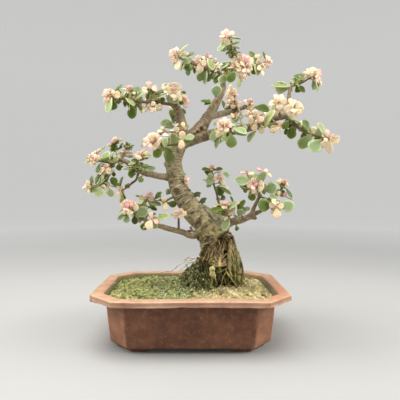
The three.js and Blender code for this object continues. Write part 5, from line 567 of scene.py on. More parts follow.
# leafy shoots: name, stem (x, y, z, radius), leaves (base, tip, roll, width, kind)
SHOOTS = [
    ("shoot_apex", [[39.88, 4.63, 294.05, 1.3], [44.01, 0, 300.16, 1.18], [46.34, -3.8, 307, 1.06], [44.56, -7.6, 313.7, 0.94], [42.81, -11.4, 317.56, 0.82], [39.04, -15.2, 322.03, 0.7]], [
        [37.7, -18.3, 321.3, 32.4, -16.4, 328.3, -6, 5.4, "p"], [37.7, -18.3, 322.7, 37.8, -19.2, 329.8, -13, 5.6, "p"], [40.3, -18.2, 323.1, 46.1, -15.2, 328.4, 5, 5.4, "p"], [38.6, -18.3, 322.2, 41.9, -19.9, 325.5, -15, 4.9, "c"],
        [36.8, -18.3, 321.4, 30.8, -18.4, 321.3, 1, 4.2, "p"], [38.1, -18.3, 320.5, 39, -15.2, 314.6, -5, 6.8, "c"], [37, -18.2, 320.2, 32.2, -15.2, 316.9, -16, 4.6, "c"], [38.8, -20.1, 321, 36.4, -22.3, 321.9, 0, 4.4, "k"],
        [41.1, -14.8, 322.6, 55.5, -16.4, 320.6, -71, 10.1, "l"], [38.2, -12.9, 317.4, 29.5, -13.1, 307.3, 48, 10.2, "g"], [45.3, -11.4, 318.4, 34.9, -12.6, 312.8, 73, 7, "l"], [43.6, -10.3, 316.2, 53.4, -11.3, 318.7, -58, 7.9, "g"],
        [44.4, -6.2, 315.6, 55, -4, 315.6, -66, 8, "g"], [45.3, -6.5, 311.9, 38.2, -5.8, 307.4, 57, 6.6, "d"], [45.9, -5.7, 310.4, 56.1, -6.6, 309.7, -72, 7.9, "l"], [44.6, -4.6, 308.4, 41, -4.9, 305.1, 54, 3.7, "g"],
        [42.2, -13.3, 320.4, 44.5, -14.3, 320.3, -3, 2.1, "c"], [38, -12.2, 322.5, 38.4, -9.6, 328.8, -32, 5, "p"], [38.7, -12.2, 322.2, 41.6, -8.8, 324.1, -13, 4.4, "c"], [38.3, -12.2, 320.8, 39.3, -7.4, 316, -9, 6.2, "c"],
        [37.4, -12.3, 320.6, 33.5, -7.5, 319.1, -21, 4.1, "c"], [39.4, -11.6, 318.3, 32.6, -5.5, 311.9, -3, 9.2, "g"], [44.3, -9.7, 318.1, 37.7, -3.7, 312.9, 5, 6.3, "g"], [45.8, -3.9, 310.3, 52, 1.2, 311.6, 18, 7.1, "d"],
        [45.1, -2.9, 308.5, 42.9, -0.5, 306.5, 12, 3.3, "g"]]),
    ("branch_top_left", [[28.72, 13.47, 296.52, 2.1], [26.31, 11.4, 295.77, 1.93], [19.77, 1.9, 293.37, 1.76], [11.45, -11.4, 292.77, 1.59], [1.79, -22.8, 292.12, 1.41], [-5.14, -28.5, 292.88, 1.24], [-10.5, -34.2, 293.1, 1.07], [-13.99, -38, 294.18, 0.9]], [
        [-15, -40.6, 294.8, -21.6, -40.5, 298.6, 10, 5, "p"], [-15.2, -40.6, 295.7, -17.6, -41.7, 300.1, 3, 4.6, "p"], [-14.6, -40.6, 296.3, -13.4, -38, 303.5, 14, 3.7, "p"], [-13.9, -40.6, 295.9, -11.6, -41.1, 299.9, -7, 3.4, "p"],
        [-15.7, -40.6, 294.1, -21.9, -41, 293.8, 7, 5, "c"], [-15.4, -40.5, 293.2, -19.8, -40.3, 289.8, 3, 4.1, "p"], [-14.8, -40.3, 291.8, -17.7, -38, 287.4, 3, 3.8, "p"], [-15.2, -42, 293.4, -16.4, -44.1, 294.8, -2, 3.5, "k"],
        [-12.8, -36.8, 289.7, -13.4, -39, 279.4, 36, 7.9, "c"], [-15.3, -33.1, 288.7, -18.9, -32.1, 286.3, 53, 3.5, "l"], [-14.4, -38, 294.6, -2.5, -38.1, 306.2, -71, 11, "l"], [-9.9, -34.6, 294.9, -2.1, -34.2, 298, -38, 6.9, "c"],
        [-3.4, -28.5, 297.5, 4.2, -29.4, 301.1, -47, 6.6, "d"], [0.6, -27.1, 294.6, -7.7, -32.3, 290.5, 5, 8.2, "g"], [-5.6, -27.9, 290.6, -10.7, -27.6, 282.1, 64, 7.7, "g"], [-1.9, -24.5, 288.7, -3.1, -23.3, 278.7, 46, 8.1, "d"],
        [2.5, -17.9, 290.3, 4.8, -16.1, 283.2, -54, 6.2, "d"], [8.8, -17.9, 295.2, -0.2, -16, 294.1, -8, 6.9, "p"], [8.9, -17.9, 296, 7.1, -19.1, 301.5, -4, 6.6, "c"], [9.4, -17.9, 295.3, 16.6, -17.7, 292.7, 6, 6.9, "p"],
        [8.9, -17.9, 294.2, 9, -16, 283.4, -17, 8.7, "c"], [8.8, -18.9, 295, 8.4, -20.3, 296.3, -1, 2.8, "k"], [13.6, -3.2, 291.2, 8.8, -0.3, 279.9, 27, 10.1, "d"], [17.3, -0.8, 292.2, 15.7, -2.2, 276, 68, 12.2, "g"],
        [18.8, -7.4, 303.6, 16.8, -11.4, 306.8, 11, 5.6, "k"], [19.4, -6.1, 303.1, 23.5, -8.4, 304.5, -6, 4.6, "p"], [14.7, -8.6, 301.2, 13.1, -5.8, 305.5, 9, 4.1, "c"], [18.5, -10.2, 301.8, 23.5, -13.3, 287.7, -39, 10.8, "g"],
        [25.9, 8.6, 307.4, 29.9, 8.4, 307.2, -11, 3.3, "c"], [25.8, 8.6, 304.7, 30.3, 8.9, 305.3, -66, 3.4, "l"], [26.7, 8.8, 300.2, 32.1, 7.4, 302.9, -27, 5.2, "p"], [26.9, 12, 298.5, 28.8, 8.2, 293.2, -1, 5.3, "c"],
        [30, 13.5, 301.8, 33.4, 13.5, 299, -24, 3.6, "c"], [25.2, 10.4, 293.4, 24.2, 5.2, 283.6, 9, 7.9, "d"], [32.3, 13.5, 292.1, 27, 14.4, 282, 42, 9, "d"], [-15, -35.4, 295.4, -16.7, -32.4, 298.9, 27, 4.2, "p"],
        [-13.9, -35.4, 295.6, -11.6, -32.9, 298.2, -19, 3, "p"], [-15.3, -35.4, 294.1, -20.1, -33, 293.7, -35, 4.5, "c"], [-15.2, -35.4, 293.4, -18.9, -33.2, 290.9, 32, 3.7, "p"], [-12.6, -34.4, 291.3, -12.6, -28.7, 284, -31, 7.1, "c"],
        [-0.1, -23.1, 293.7, -5.5, -16.3, 291.5, -31, 7.4, "g"], [-5.4, -26.3, 291.5, -9.4, -21.7, 286.7, -31, 6.9, "d"], [-1.6, -23, 290.2, -3.5, -17.8, 284.2, -10, 7.3, "d"], [8.6, -14.4, 295.3, 8.1, -11.3, 299.7, -11, 6, "c"],
        [9, -14.1, 294.7, 14.6, -11.9, 291.3, 35, 6.2, "p"], [8.6, -14.5, 293.9, 8.6, -10.8, 285.9, -28, 7.8, "c"], [17.5, 1.4, 292.6, 18.4, 9.4, 282.3, 32, 11, "d"], [16.8, -4.7, 298.3, 17.6, 3.6, 288.1, 25, 9.8, "g"],
        [25.9, 13.5, 301.1, 28.7, 15.8, 301.2, 2, 3.1, "l"], [27.1, 15.1, 297.6, 27.9, 19.6, 293.5, 34, 4.8, "c"]]),
    ("shoot_apex_front", [[36.67, 9.77, 283.04, 1.1], [37.3, -11.4, 283.45, 0.97], [38.58, -22.8, 284, 0.83], [40.58, -30.4, 284.23, 0.7]], [
        [44.9, -32.3, 280.9, 38.1, -35.9, 268.8, 6, 10.3, "d"], [36.3, -16.9, 283.3, 31.7, -21.5, 271.3, 7, 9.8, "g"], [43.8, -30.4, 285.1, 35.9, -30.4, 284.2, 64, 6.5, "p"], [42.4, -30.4, 285.1, 43.5, -31.7, 287.4, -3, 2.8, "k"],
        [40.4, -28.5, 291.8, 32, -26.6, 290.5, 70, 6.8, "l"], [38.8, -30.4, 288.6, 30.9, -31.5, 283, 66, 7.2, "g"], [35.4, -26.9, 289.8, 29.1, -25.4, 288, 58, 5.6, "c"], [38.6, -22.3, 285.1, 33.6, -21, 282.7, 61, 4.8, "c"],
        [43.2, -28.9, 282.2, 40.8, -20.9, 273.2, 31, 9.3, "d"], [39.5, -28.6, 286.8, 33.9, -23.7, 284.1, 9, 6.5, "d"]]),
    ("branch_top_right", [[55.93, 15.91, 297.81, 1.9], [56.41, 5.7, 296.94, 1.4], [58.02, -7.6, 295.33, 0.9]], [
        [52.4, -6.2, 298.2, 44.2, -3.1, 303.3, -1, 8.2, "c"], [54.3, -6.2, 300.2, 52.4, -6.4, 307.2, 6, 6.6, "p"], [57.3, -6.1, 300.7, 58.2, -6.1, 307.9, 11, 6.8, "p"], [60.3, -8.6, 299.8, 62, -6.9, 306.3, -15, 6.1, "k"],
        [61.7, -5.9, 299.8, 69, -4.7, 301.5, 6, 6.6, "p"], [59.2, -9.3, 297.2, 60.3, -11.5, 300.2, 15, 4.3, "k"], [59.2, -6.4, 297.2, 53.6, -12.6, 295.3, 10, 6.6, "c"], [61.6, -6.1, 297.3, 66.3, -9.2, 294.8, 9, 5.5, "p"],
        [55.2, -6.6, 296.2, 49.4, -11.8, 292.4, -1, 6.1, "c"], [54.8, -6.6, 293.7, 50.6, -11.1, 287.4, -12, 5.6, "c"], [59.1, -6.5, 293.8, 56.5, -11.2, 285.7, 10, 5.6, "p"], [62.1, -6.1, 293.4, 66.9, -7.8, 289.4, -6, 5.1, "c"],
        [61.1, -6.2, 292.4, 62.5, -9.7, 286.4, 11, 4.4, "p"], [55.3, -6.3, 289.9, 49.2, -6.7, 284, 17, 6.6, "c"], [57.2, -6.3, 289.9, 55.8, -6.2, 281.7, -4, 5.7, "c"], [59.2, -6.2, 290, 60.6, -0.9, 281.5, -4, 3.6, "p"],
        [57.3, -5.6, 286.8, 55.3, -0.9, 277.9, 16, 3.7, "c"], [53.3, -6.4, 297.2, 47.5, -10.5, 296.2, 8, 5.8, "p"], [59.1, -6.5, 296.2, 62.3, -11.2, 296.5, -12, 4.9, "p"], [58.2, -6.2, 299.7, 54.7, -10.8, 301.4, -13, 5.8, "p"],
        [56.1, 19, 289.6, 56.1, 21.5, 279, -58, 8.7, "l"], [63.9, -4.1, 289.7, 64.2, -2.9, 284.6, -15, 4.2, "g"], [52.4, 17.9, 301.6, 46.9, 17.9, 299, 38, 5, "d"], [53.5, -3.8, 297.7, 45.6, 1, 300.8, 11, 7.4, "c"],
        [55, -3.7, 299.3, 53.4, -1.5, 304.4, -34, 6, "p"], [58.9, -5.5, 296.9, 55, 2, 294.3, 26, 6, "c"], [55.8, -5.1, 296, 50.9, 1.6, 293.8, -18, 5.5, "c"], [55.4, -5.5, 294.1, 51.5, 0.6, 289.6, -26, 5.1, "c"],
        [61.3, -5.5, 293.8, 65.1, -2, 290.5, 28, 4.6, "c"], [60.5, -5.6, 293, 62.7, -2, 288.6, 2, 3.9, "p"], [55.8, -5.6, 291.1, 49.9, -3.2, 287.8, -22, 6, "c"], [57.4, -5.7, 291.1, 57.3, -3.5, 284.8, -2, 5.2, "c"],
        [57.4, -5.1, 288.5, 55.1, 1.1, 281.6, 4, 3.3, "c"], [58.9, -5.7, 296.1, 61.3, 0.5, 296.4, -16, 4.4, "p"]]),
    ("shoot_top_right", [[65.42, 17.54, 299.09, 1.2], [71.11, 19, 301.97, 1.08], [77.83, 19, 305.07, 0.95], [83.51, 19, 307.13, 0.83], [87.39, 15.2, 307.59, 0.7]], [
        [71.6, 21.2, 314.4, 71.5, 28, 323.7, 10, 8.1, "d"], [74.5, 19, 305.8, 73.6, 18.9, 314.7, 34, 6.9, "g"], [74.7, 19, 305.8, 77.2, 19.4, 292.3, -46, 10.7, "g"], [78.5, 19, 309.7, 78.8, 19, 317.1, -13, 6, "c"],
        [79, 19, 307.1, 77.3, 17.4, 311.3, 0, 4.3, "c"], [79.6, 19, 305.1, 79.2, 16.5, 297, 5, 6.4, "c"], [82.3, 19, 300.2, 83.5, 18.9, 291.9, -41, 6.8, "c"], [82.9, 17, 306.7, 85.5, 15.5, 300.1, -41, 5.6, "c"],
        [87, 15.2, 308.9, 82.2, 15.1, 319.4, 61, 8.9, "d"], [87, 13.2, 307.1, 87.2, 15.2, 314.9, 16, 4.3, "p"], [88.2, 13.2, 306.9, 90.2, 13.6, 312.8, 7, 3.9, "p"], [88.8, 13.2, 306.1, 93.9, 13.3, 306.2, 14, 4.4, "p"],
        [87.6, 13.2, 305.9, 89, 15.2, 299.8, 16, 4.8, "p"], [86.3, 12.1, 306.2, 85.8, 10.7, 307.3, -9, 2.3, "k"], [88.5, 13.2, 306.6, 90.7, 11.6, 308.1, 2, 3.6, "p"], [75.1, 20.8, 305.1, 74.8, 27.2, 295.9, -18, 9.6, "d"],
        [79, 20.7, 308.1, 78.7, 24, 313.4, 28, 5.4, "c"], [79.2, 20.7, 306.6, 77.7, 23.5, 309.3, -25, 3.9, "c"], [83.4, 20, 306.9, 86.2, 23.9, 303.1, -1, 5, "c"], [88.1, 17.4, 307, 89.8, 19.8, 311.7, -11, 3.5, "p"],
        [88.5, 17.4, 306.4, 92.8, 19.5, 306, -34, 4, "p"], [87.5, 17.4, 306.2, 88.4, 21.2, 301.8, -12, 4.3, "p"]]),
    ("leaf_pair_limb", [[29.45, 3.88, 259.91, 0.9], [28.41, -19, 256.68, 0.8], [26.31, -28.5, 254.58, 0.7]], [
        [25.9, -30.4, 253.9, 26.5, -35.3, 265.7, 0, 11.1, "g"], [27.4, -21.8, 256.1, 26, -19.3, 255.1, 10, 3.7, "k"]]),
    ("shoot_limb_left", [[25.49, 2.95, 255.1, 0.9], [24.18, -3.8, 255.13, 0.8], [22.57, -7.6, 254.47, 0.7]], [
        [22.8, -7.2, 254.7, 10.5, -6.4, 256.8, 64, 9.6, "d"], [24.4, 3.2, 251.3, 20.1, 3.2, 254.7, 28, 4.2, "g"], [22.8, -5.7, 254.7, 15.4, 0.4, 256.9, 20, 8.6, "d"]]),
    ("bud_limb_left", [[18.91, 13.17, 248.6, 0.9], [17.82, 15.24, 249.49, 0.7]], [
        [20.1, 13.2, 247.6, 15.9, 12.3, 249.3, 9, 4.4, "p"], [20.3, 15.3, 248.7, 17.7, 16.2, 252.1, 36, 3.4, "c"]]),
    ("shoot_crown_back", [[50.28, 43.65, 260.23, 1.4], [50.28, 45.6, 262.86, 1.26], [52.53, 38, 265.39, 1.12], [53.31, 34.2, 268.73, 0.98], [51.04, 30.4, 272, 0.84], [48.2, 26.6, 274.3, 0.7]], [
        [46.9, 25.9, 275, 47.1, 27.4, 285.2, -9, 4.4, "c"], [49.3, 25.9, 274.1, 51.7, 27.4, 280.5, -13, 6.4, "c"], [48.1, 25.8, 273.5, 41.4, 27.4, 269.1, 15, 7.4, "c"], [51.3, 26, 271.9, 57.2, 27.4, 272.5, 3, 4, "p"],
        [46.8, 25.1, 274.2, 44.4, 24.4, 274.2, 7, 3.6, "k"], [50.1, 25.2, 271.2, 49.1, 23.8, 272.7, -15, 3, "k"], [50.6, 26.3, 269.1, 46.9, 25.1, 266.1, -16, 5.3, "c"], [52.4, 26.4, 269.7, 53.3, 27.4, 265.7, 7, 3.4, "p"],
        [50.5, 36.8, 265.4, 41, 38.8, 266.9, -3, 4.3, "p"], [51.1, 36.7, 265.7, 47.7, 35.2, 268, -15, 4.3, "p"], [52.1, 36.7, 265.1, 56.2, 35.2, 267.4, 16, 5.3, "p"], [51.1, 36.7, 263.9, 50.4, 35.7, 257.8, 5, 5.5, "c"],
        [54.2, 36.8, 263.2, 62, 38.8, 265.6, 11, 5.3, "p"], [55.2, 36.9, 262.7, 59.1, 36.6, 260.4, -15, 4.1, "p"], [51.1, 35.6, 264.2, 49.6, 34.1, 264.4, 13, 3.1, "k"], [41, 47.5, 261.7, 39.3, 49.6, 271.4, 49, 7.2, "d"],
        [42.6, 44.2, 260.4, 50.8, 45, 264.9, -59, 7.1, "d"], [40.7, 43.6, 257.4, 45.3, 38.5, 259.4, -1, 4, "d"], [56.7, 37.2, 260.9, 61.6, 34.3, 248.5, -72, 8.6, "g"], [47.2, 27.9, 274.9, 45.5, 31.2, 282.4, -26, 4, "c"],
        [49.1, 28.1, 274.1, 51.5, 31.5, 278.5, -24, 5.7, "c"], [48.1, 27.9, 273.7, 42.5, 31.3, 271.2, -14, 6.7, "c"], [50.5, 31.7, 269.9, 47.7, 34.7, 267.6, -11, 4.8, "c"], [52, 32.6, 270.3, 52.3, 35.4, 267.3, 16, 3, "p"],
        [51, 38.9, 265.5, 43.7, 42.7, 268, 30, 3.9, "p"], [51.5, 38.5, 265.8, 48.4, 41.9, 267.1, 0, 3.9, "p"], [51.4, 39.7, 264.1, 50.8, 39.6, 259.1, 34, 5, "c"], [53.9, 39.6, 263.7, 59.9, 43.4, 266.8, 10, 4.8, "p"],
        [54.6, 39.6, 263.2, 57.4, 41.8, 261.4, -26, 3.6, "p"], [44.5, 45.9, 258.5, 47.6, 48.4, 259.2, 24, 3.6, "d"]]),
    ("branch_crown_stub", [[69.21, 47.03, 264.43, 2.6], [71.79, 43.7, 265.66, 1.5]], [
        [70.6, 41.4, 266.2, 64.8, 43.7, 270.1, 6, 5.3, "p"], [71.2, 41.4, 266.9, 69.3, 40.5, 271.2, -8, 5.2, "p"], [72.5, 41.5, 267.2, 75.5, 40.2, 270.8, -9, 5.8, "p"], [72.8, 41.4, 265.6, 77, 40.1, 263.9, -7, 5, "p"],
        [71.2, 41.4, 265, 66.4, 40, 264.6, -1, 4.1, "c"], [72.5, 41.5, 263.4, 76.2, 40.8, 260.4, -12, 4.7, "c"], [71.9, 41.5, 262.5, 71.2, 43.7, 257.8, -2, 4.7, "c"], [71.7, 40.1, 265.3, 72, 38.4, 266.1, -9, 3.3, "k"],
        [72.3, 46.1, 266.9, 75.4, 49.2, 269.6, -13, 5.2, "p"], [72.6, 46.1, 265.6, 75.4, 49.3, 263.4, -2, 4.5, "p"], [71.3, 46.1, 265.1, 67.5, 49.4, 265.5, -35, 3.7, "c"], [72.3, 46.1, 263.9, 74.6, 48.6, 260.9, -32, 4.2, "c"],
        [71.9, 46, 263.1, 70.9, 50, 259.6, 6, 4.2, "c"]]),
    ("shoot_pink_front", [[29.41, -7.63, 223.74, 1.3], [30.29, -19, 225.53, 1.13], [31.2, -34.2, 223.83, 0.97], [32.45, -49.4, 221.55, 0.8]], [
        [32.1, -50.4, 222.4, 33.7, -50.3, 230, 1, 5.8, "p"], [31.4, -50.4, 222.1, 26.4, -51.8, 226.5, 9, 5.8, "p"], [30.9, -50.4, 221.1, 25, -53.9, 222.9, 6, 5.4, "p"], [32.4, -50.4, 222.1, 30.1, -53.7, 225.7, 8, 5.2, "c"],
        [33.4, -50.4, 222.1, 38.7, -49.9, 227.5, 14, 5.8, "c"], [34.4, -50.3, 221.4, 40.6, -50.4, 221.6, -4, 4.3, "p"], [33.4, -50.4, 220.1, 35.8, -51.9, 214.8, -6, 5.8, "c"], [30.9, -50.4, 219.9, 26.6, -53.1, 217.4, 17, 5.8, "c"],
        [30.1, -50.2, 218.9, 25.5, -46.4, 210.6, -13, 5.3, "c"], [31.6, -50.2, 218.4, 32.8, -49.2, 212.2, 8, 5.3, "c"], [36.9, -49.9, 222, 44.4, -46.4, 221.5, 5, 3.9, "c"], [29.7, -52.5, 222, 28.4, -55.1, 223, -16, 2.8, "k"],
        [34.6, -52.3, 222.5, 37, -53.8, 223.7, 12, 2.8, "k"], [32.4, -50.4, 221.4, 33.4, -54.8, 221.1, 14, 4, "p"], [27.5, -24.4, 232, 24.2, -22.9, 226.3, 50, 5.2, "g"], [26.4, -13.5, 225.2, 22.7, -16.5, 211.6, 36, 10.5, "g"],
        [31.7, -7.6, 220.4, 27.1, -6.4, 204.9, 70, 12.4, "g"], [33.9, -49.4, 214.1, 31.2, -50.1, 206.3, 33, 6.2, "g"], [38.7, -51.4, 213.3, 38.8, -57.5, 198.8, -1, 11.9, "d"], [40.7, -51.4, 219, 53.9, -54.6, 213.7, -47, 11.1, "g"],
        [51.6, -47.4, 222.9, 55.4, -46.1, 218.4, -21, 4.6, "g"], [44.1, -47.4, 214.4, 55.1, -45, 212.8, -71, 8.3, "d"], [40.1, -47.4, 219.9, 41.7, -46.5, 216.1, -36, 3.5, "p"], [32.2, -47.9, 222.2, 32, -45.8, 228.7, 14, 5.3, "p"],
        [31.6, -47.9, 222, 28.9, -44.6, 226.1, -10, 5.3, "p"], [31.2, -47.9, 221.2, 26.2, -44.1, 221.7, 9, 4.8, "p"], [34, -48, 221.4, 39.1, -45.9, 220.1, 17, 3.8, "p"], [33.2, -47.9, 220.4, 35.3, -44.5, 216, -30, 5.3, "c"],
        [30.6, -48, 219.4, 25.7, -42.5, 214.1, 16, 4.7, "c"], [31.8, -48, 219, 33.5, -46.6, 213.8, 0, 4.7, "c"], [36, -48.3, 221.9, 42.2, -43.1, 221.4, 19, 3.5, "c"], [32.4, -47.9, 221.4, 33.2, -42, 221.2, -25, 3.6, "p"],
        [27.8, -11.3, 224.9, 24.2, -5, 215.9, -9, 9.4, "d"], [30.8, -7.5, 221.7, 28.6, -1.6, 210.5, -15, 11.2, "g"], [36.2, -47.8, 216.6, 36.1, -38.3, 207.5, 28, 10.7, "d"], [37.4, -47.8, 220, 47.8, -39.8, 218.8, -3, 10, "d"]]),
    ("shoot_cream_mid", [[62.66, -5.92, 227.77, 1.6], [63.31, -7.6, 227.59, 1.38], [64.24, -19, 230.38, 1.15], [65.65, -26.6, 233.15, 0.93], [61.86, -30.4, 237.61, 0.7]], [
        [61, -32.3, 237.7, 54.6, -32, 236, -8, 4, "c"], [61.6, -32.3, 238.2, 55.8, -32.9, 239.6, -10, 3.4, "c"], [62.1, -32.3, 237.7, 69.1, -31.2, 239.6, 16, 5, "c"], [61.6, -32.3, 236.7, 60.6, -33.2, 231.8, -10, 4.5, "c"],
        [60.6, -33.4, 237.2, 59.6, -34.7, 237.7, 3, 2.9, "k"], [65.6, -28.4, 232.5, 59.8, -27.8, 228.2, -13, 5, "c"], [65.9, -28.4, 233.3, 68.8, -30.4, 235.9, 1, 4.5, "c"], [67.7, -28.7, 229, 65.3, -25.8, 220.4, 16, 6.1, "c"],
        [69, -28.7, 228.5, 74.3, -29.8, 234.5, -13, 7.2, "c"], [69.2, -30.3, 228.2, 69.1, -32.5, 229.9, 12, 2.9, "k"], [65.3, -28.3, 233.1, 61.5, -29.6, 232, 0, 3.5, "c"], [68.4, -28.7, 229, 65.8, -31.7, 230, 14, 4.2, "c"],
        [74.4, -26.6, 237.6, 78.9, -26.4, 239, -28, 3.8, "p"], [71.5, -26.6, 236.8, 72.9, -29.2, 238.6, -6, 3.5, "p"], [74.5, -28.7, 237.4, 74.4, -30.5, 238.6, 10, 2.3, "k"], [74.2, -22.1, 227.6, 75.2, -21.1, 218.4, 0, 7.8, "c"],
        [76.9, -25.8, 224.1, 85.5, -30.4, 241.9, -70, 16, "l"], [71.1, -7.3, 224.6, 62, -3.8, 212.4, 64, 12.3, "g"], [61.2, -28.3, 237.7, 56.2, -26, 236.5, -25, 3.6, "c"], [61.6, -28.3, 238.1, 56.8, -25.8, 239.8, -35, 3.1, "c"],
        [65.5, -25.1, 232.7, 61.7, -22.5, 228.1, 28, 4.5, "c"], [65.7, -25.4, 233.4, 68.1, -21.6, 235.3, 35, 4.1, "c"], [67.2, -24.3, 229.9, 64.9, -19.7, 223.2, -16, 5.5, "c"], [68.3, -24.3, 229.4, 73.9, -21.3, 233.4, -15, 6.4, "c"],
        [67.9, -24.3, 229.9, 65.9, -19.6, 230.9, -22, 3.8, "c"], [70.9, -24.9, 235.8, 73.8, -22.6, 237.7, 22, 3.5, "p"]]),
    ("leaf_big_green", [[66.85, 45.6, 261.47, 0.9], [71.63, 26.6, 252.97, 0.83], [74.07, 30.4, 256.85, 0.77], [76.19, 30.4, 258.67, 0.7]], [
        [75.6, 30.4, 259, 94, 31.4, 255.9, -34, 14.2, "d"], [75, 32.4, 257.3, 73.1, 35.7, 256.2, 11, 4.3, "c"]]),
    ("rosette_right_left", [[97.67, -3.72, 242.83, 1.1], [94.61, -19, 245.58, 0.9], [91.54, -26.6, 248.84, 0.7]], [
        [90.1, -30, 249.9, 86.7, -26.6, 258.8, 9, 5.5, "p"], [91.1, -29.9, 250.5, 95.4, -26.6, 258.8, 5, 5.5, "p"], [91.1, -29.9, 249.9, 98.7, -31.5, 249.9, -8, 8.5, "c"], [90.1, -30, 249.9, 84.8, -32.1, 251.4, -16, 7.1, "c"],
        [89.5, -30, 248.9, 80.5, -26.6, 248.7, 15, 7.1, "c"], [89.8, -30, 248.3, 83, -28.1, 243.4, -35, 6.1, "c"], [90.8, -30, 247.7, 90.5, -31.4, 241.1, -1, 7.2, "c"], [92.4, -29.7, 245.6, 93.5, -26.6, 239.7, -6, 4.9, "c"],
        [90.2, -31.9, 249.1, 90.4, -34.2, 250.1, -7, 2.9, "k"], [91.2, -23.5, 249.7, 97, -20.1, 250.2, 4, 7.6, "c"], [90.4, -23.4, 249.7, 86.7, -19.5, 251.6, -20, 6.4, "c"], [90.2, -23.4, 248.4, 83.7, -18.4, 245.2, 35, 5.5, "c"],
        [90.9, -23.4, 247.9, 89.8, -20.1, 243.1, -29, 6.5, "c"], [92.2, -23.6, 246.2, 92.1, -18.8, 241.7, -17, 4.4, "c"]]),
    ("rosette_right_right", [[107.04, -5.62, 240.31, 1.2], [105.11, -22.8, 240.26, 1], [104.94, -30.4, 242.95, 0.8]], [
        [103.2, -34.4, 244.5, 101.3, -31.9, 253, 3, 5.9, "p"], [104.8, -34.4, 244.5, 105.3, -34.9, 251.2, 14, 5.9, "p"], [103.8, -34.5, 242.9, 100.2, -37.3, 247.1, 9, 6.5, "c"], [106, -34.4, 242.6, 113.4, -33.7, 247, -3, 8.4, "c"],
        [106.9, -34.4, 242, 114.9, -34.8, 241.5, 19, 6, "c"], [106, -34.4, 241.1, 111.2, -35, 235.9, 1, 7.3, "c"], [103.2, -34.5, 242, 94.8, -35.1, 240.5, -4, 7.8, "c"], [103.2, -34.5, 241.1, 99, -34.9, 233.9, -6, 7.8, "c"],
        [104.6, -34.5, 240.8, 106.1, -33.9, 232.2, -16, 8.4, "c"], [103.5, -34.5, 242.3, 103.5, -38.2, 236.5, -8, 6.6, "c"], [104.8, -26.8, 244.2, 105.2, -24.4, 249.7, 25, 5.3, "p"], [104, -26.8, 242.9, 101.8, -22.2, 246.4, -7, 5.9, "c"],
        [105.8, -26.8, 242.7, 111, -24.1, 247.9, 26, 7.5, "c"], [106.5, -26.8, 242.2, 112.8, -23.9, 240.1, 28, 5.4, "c"], [105.8, -26.8, 241.5, 109.7, -25.8, 237.9, -8, 6.5, "c"]]),
    ("shoot_right_up", [[108.43, 3.49, 254.99, 2.4], [110.52, 7.6, 262.64, 2.17], [112.55, 11.4, 271.88, 1.94], [115.99, 15.2, 279.18, 1.71], [121.92, 19, 281.69, 1.49], [130.33, 19, 285.2, 1.26], [136.14, 15.2, 288.22, 1.03], [139.76, 11.4, 289.45, 0.8]], [
        [113.3, 14.4, 278.6, 91.6, 13.1, 279.8, 59, 16.5, "l"], [118.7, 19.5, 283.1, 119.3, 24.8, 289.5, -9, 6, "l"], [131.5, 21.1, 285.8, 125.2, 30.3, 298.1, 8, 13, "d"], [130.2, 15.8, 286.3, 123, 14, 290.5, 67, 6.7, "c"],
        [122.8, 19, 281.6, 133, 19.6, 273.6, -36, 10, "d"], [125.5, 21.6, 281.1, 129.5, 23.3, 274.8, -25, 5.8, "l"], [139.6, 8.7, 288.9, 127.5, 9.9, 294.2, 8, 4.5, "c"], [139.6, 8.7, 289.6, 131.5, 11.4, 297.4, 5, 5.9, "c"],
        [139.9, 8.7, 290.3, 137.1, 10, 299.4, 10, 7.9, "c"], [140.9, 8.7, 291, 142.1, 7.2, 296.2, -2, 7.3, "c"], [141.6, 8.7, 290.3, 147, 5, 291.9, 2, 9.3, "p"], [138.9, 8.7, 289.3, 134.1, 6.6, 290.4, -17, 5.9, "c"],
        [140.6, 8.7, 288.2, 143.2, 6.2, 287, 10, 4.5, "p"], [141.8, 11.4, 288.8, 144.3, 10.2, 270.5, -57, 14, "g"], [142.9, 11.4, 288.4, 149.8, 12.6, 279.1, -55, 9.6, "c"], [141.8, 9.4, 287.1, 144.2, 7.7, 279.6, -56, 6.2, "p"],
        [137.3, 14.4, 288, 139.3, 14.3, 284.9, -47, 3, "c"], [114.1, 17, 278.2, 99.2, 27.4, 281.2, -27, 14.9, "l"], [130.9, 20, 286.2, 126.4, 23.2, 289.1, 7, 6, "c"], [122.7, 21.3, 281.7, 129, 27.4, 275.6, 32, 9, "d"],
        [139.6, 14.1, 289.6, 134.4, 18.5, 296.3, 32, 5.3, "c"], [140.7, 14.1, 290.7, 142.7, 17.5, 294.5, 12, 6.5, "c"], [141.2, 14.1, 290.1, 145.8, 18.1, 290.9, 30, 8.4, "p"], [139.1, 14.1, 289.3, 135.7, 18, 291.1, -6, 5.3, "c"],
        [141, 13, 289, 144.9, 21.9, 276.5, -21, 12.6, "g"], [141, 13, 288, 143.3, 15.9, 283.6, -20, 5.6, "p"]]),
    ("branch_right_droop", [[111.75, -7.72, 232.23, 2], [112.6, -9.5, 230.41, 1.83], [115.34, -11.4, 227.12, 1.66], [120.06, -15.2, 221.91, 1.49], [125.32, -19, 219.02, 1.31], [131.72, -22.8, 216.18, 1.14], [138.6, -26.6, 213.7, 0.97], [142.22, -30.4, 212.5, 0.8]], [
        [105.7, -10.9, 234.7, 98.3, -13.4, 225.5, 20, 8.6, "d"], [104.8, -4.5, 227.7, 105.5, -0.2, 220.8, -11, 7, "d"], [108.2, -11.7, 228, 107.9, -14.8, 213.8, 17, 10.6, "d"], [105.7, -10.9, 237.7, 117.3, -14, 230.9, -65, 10.7, "g"],
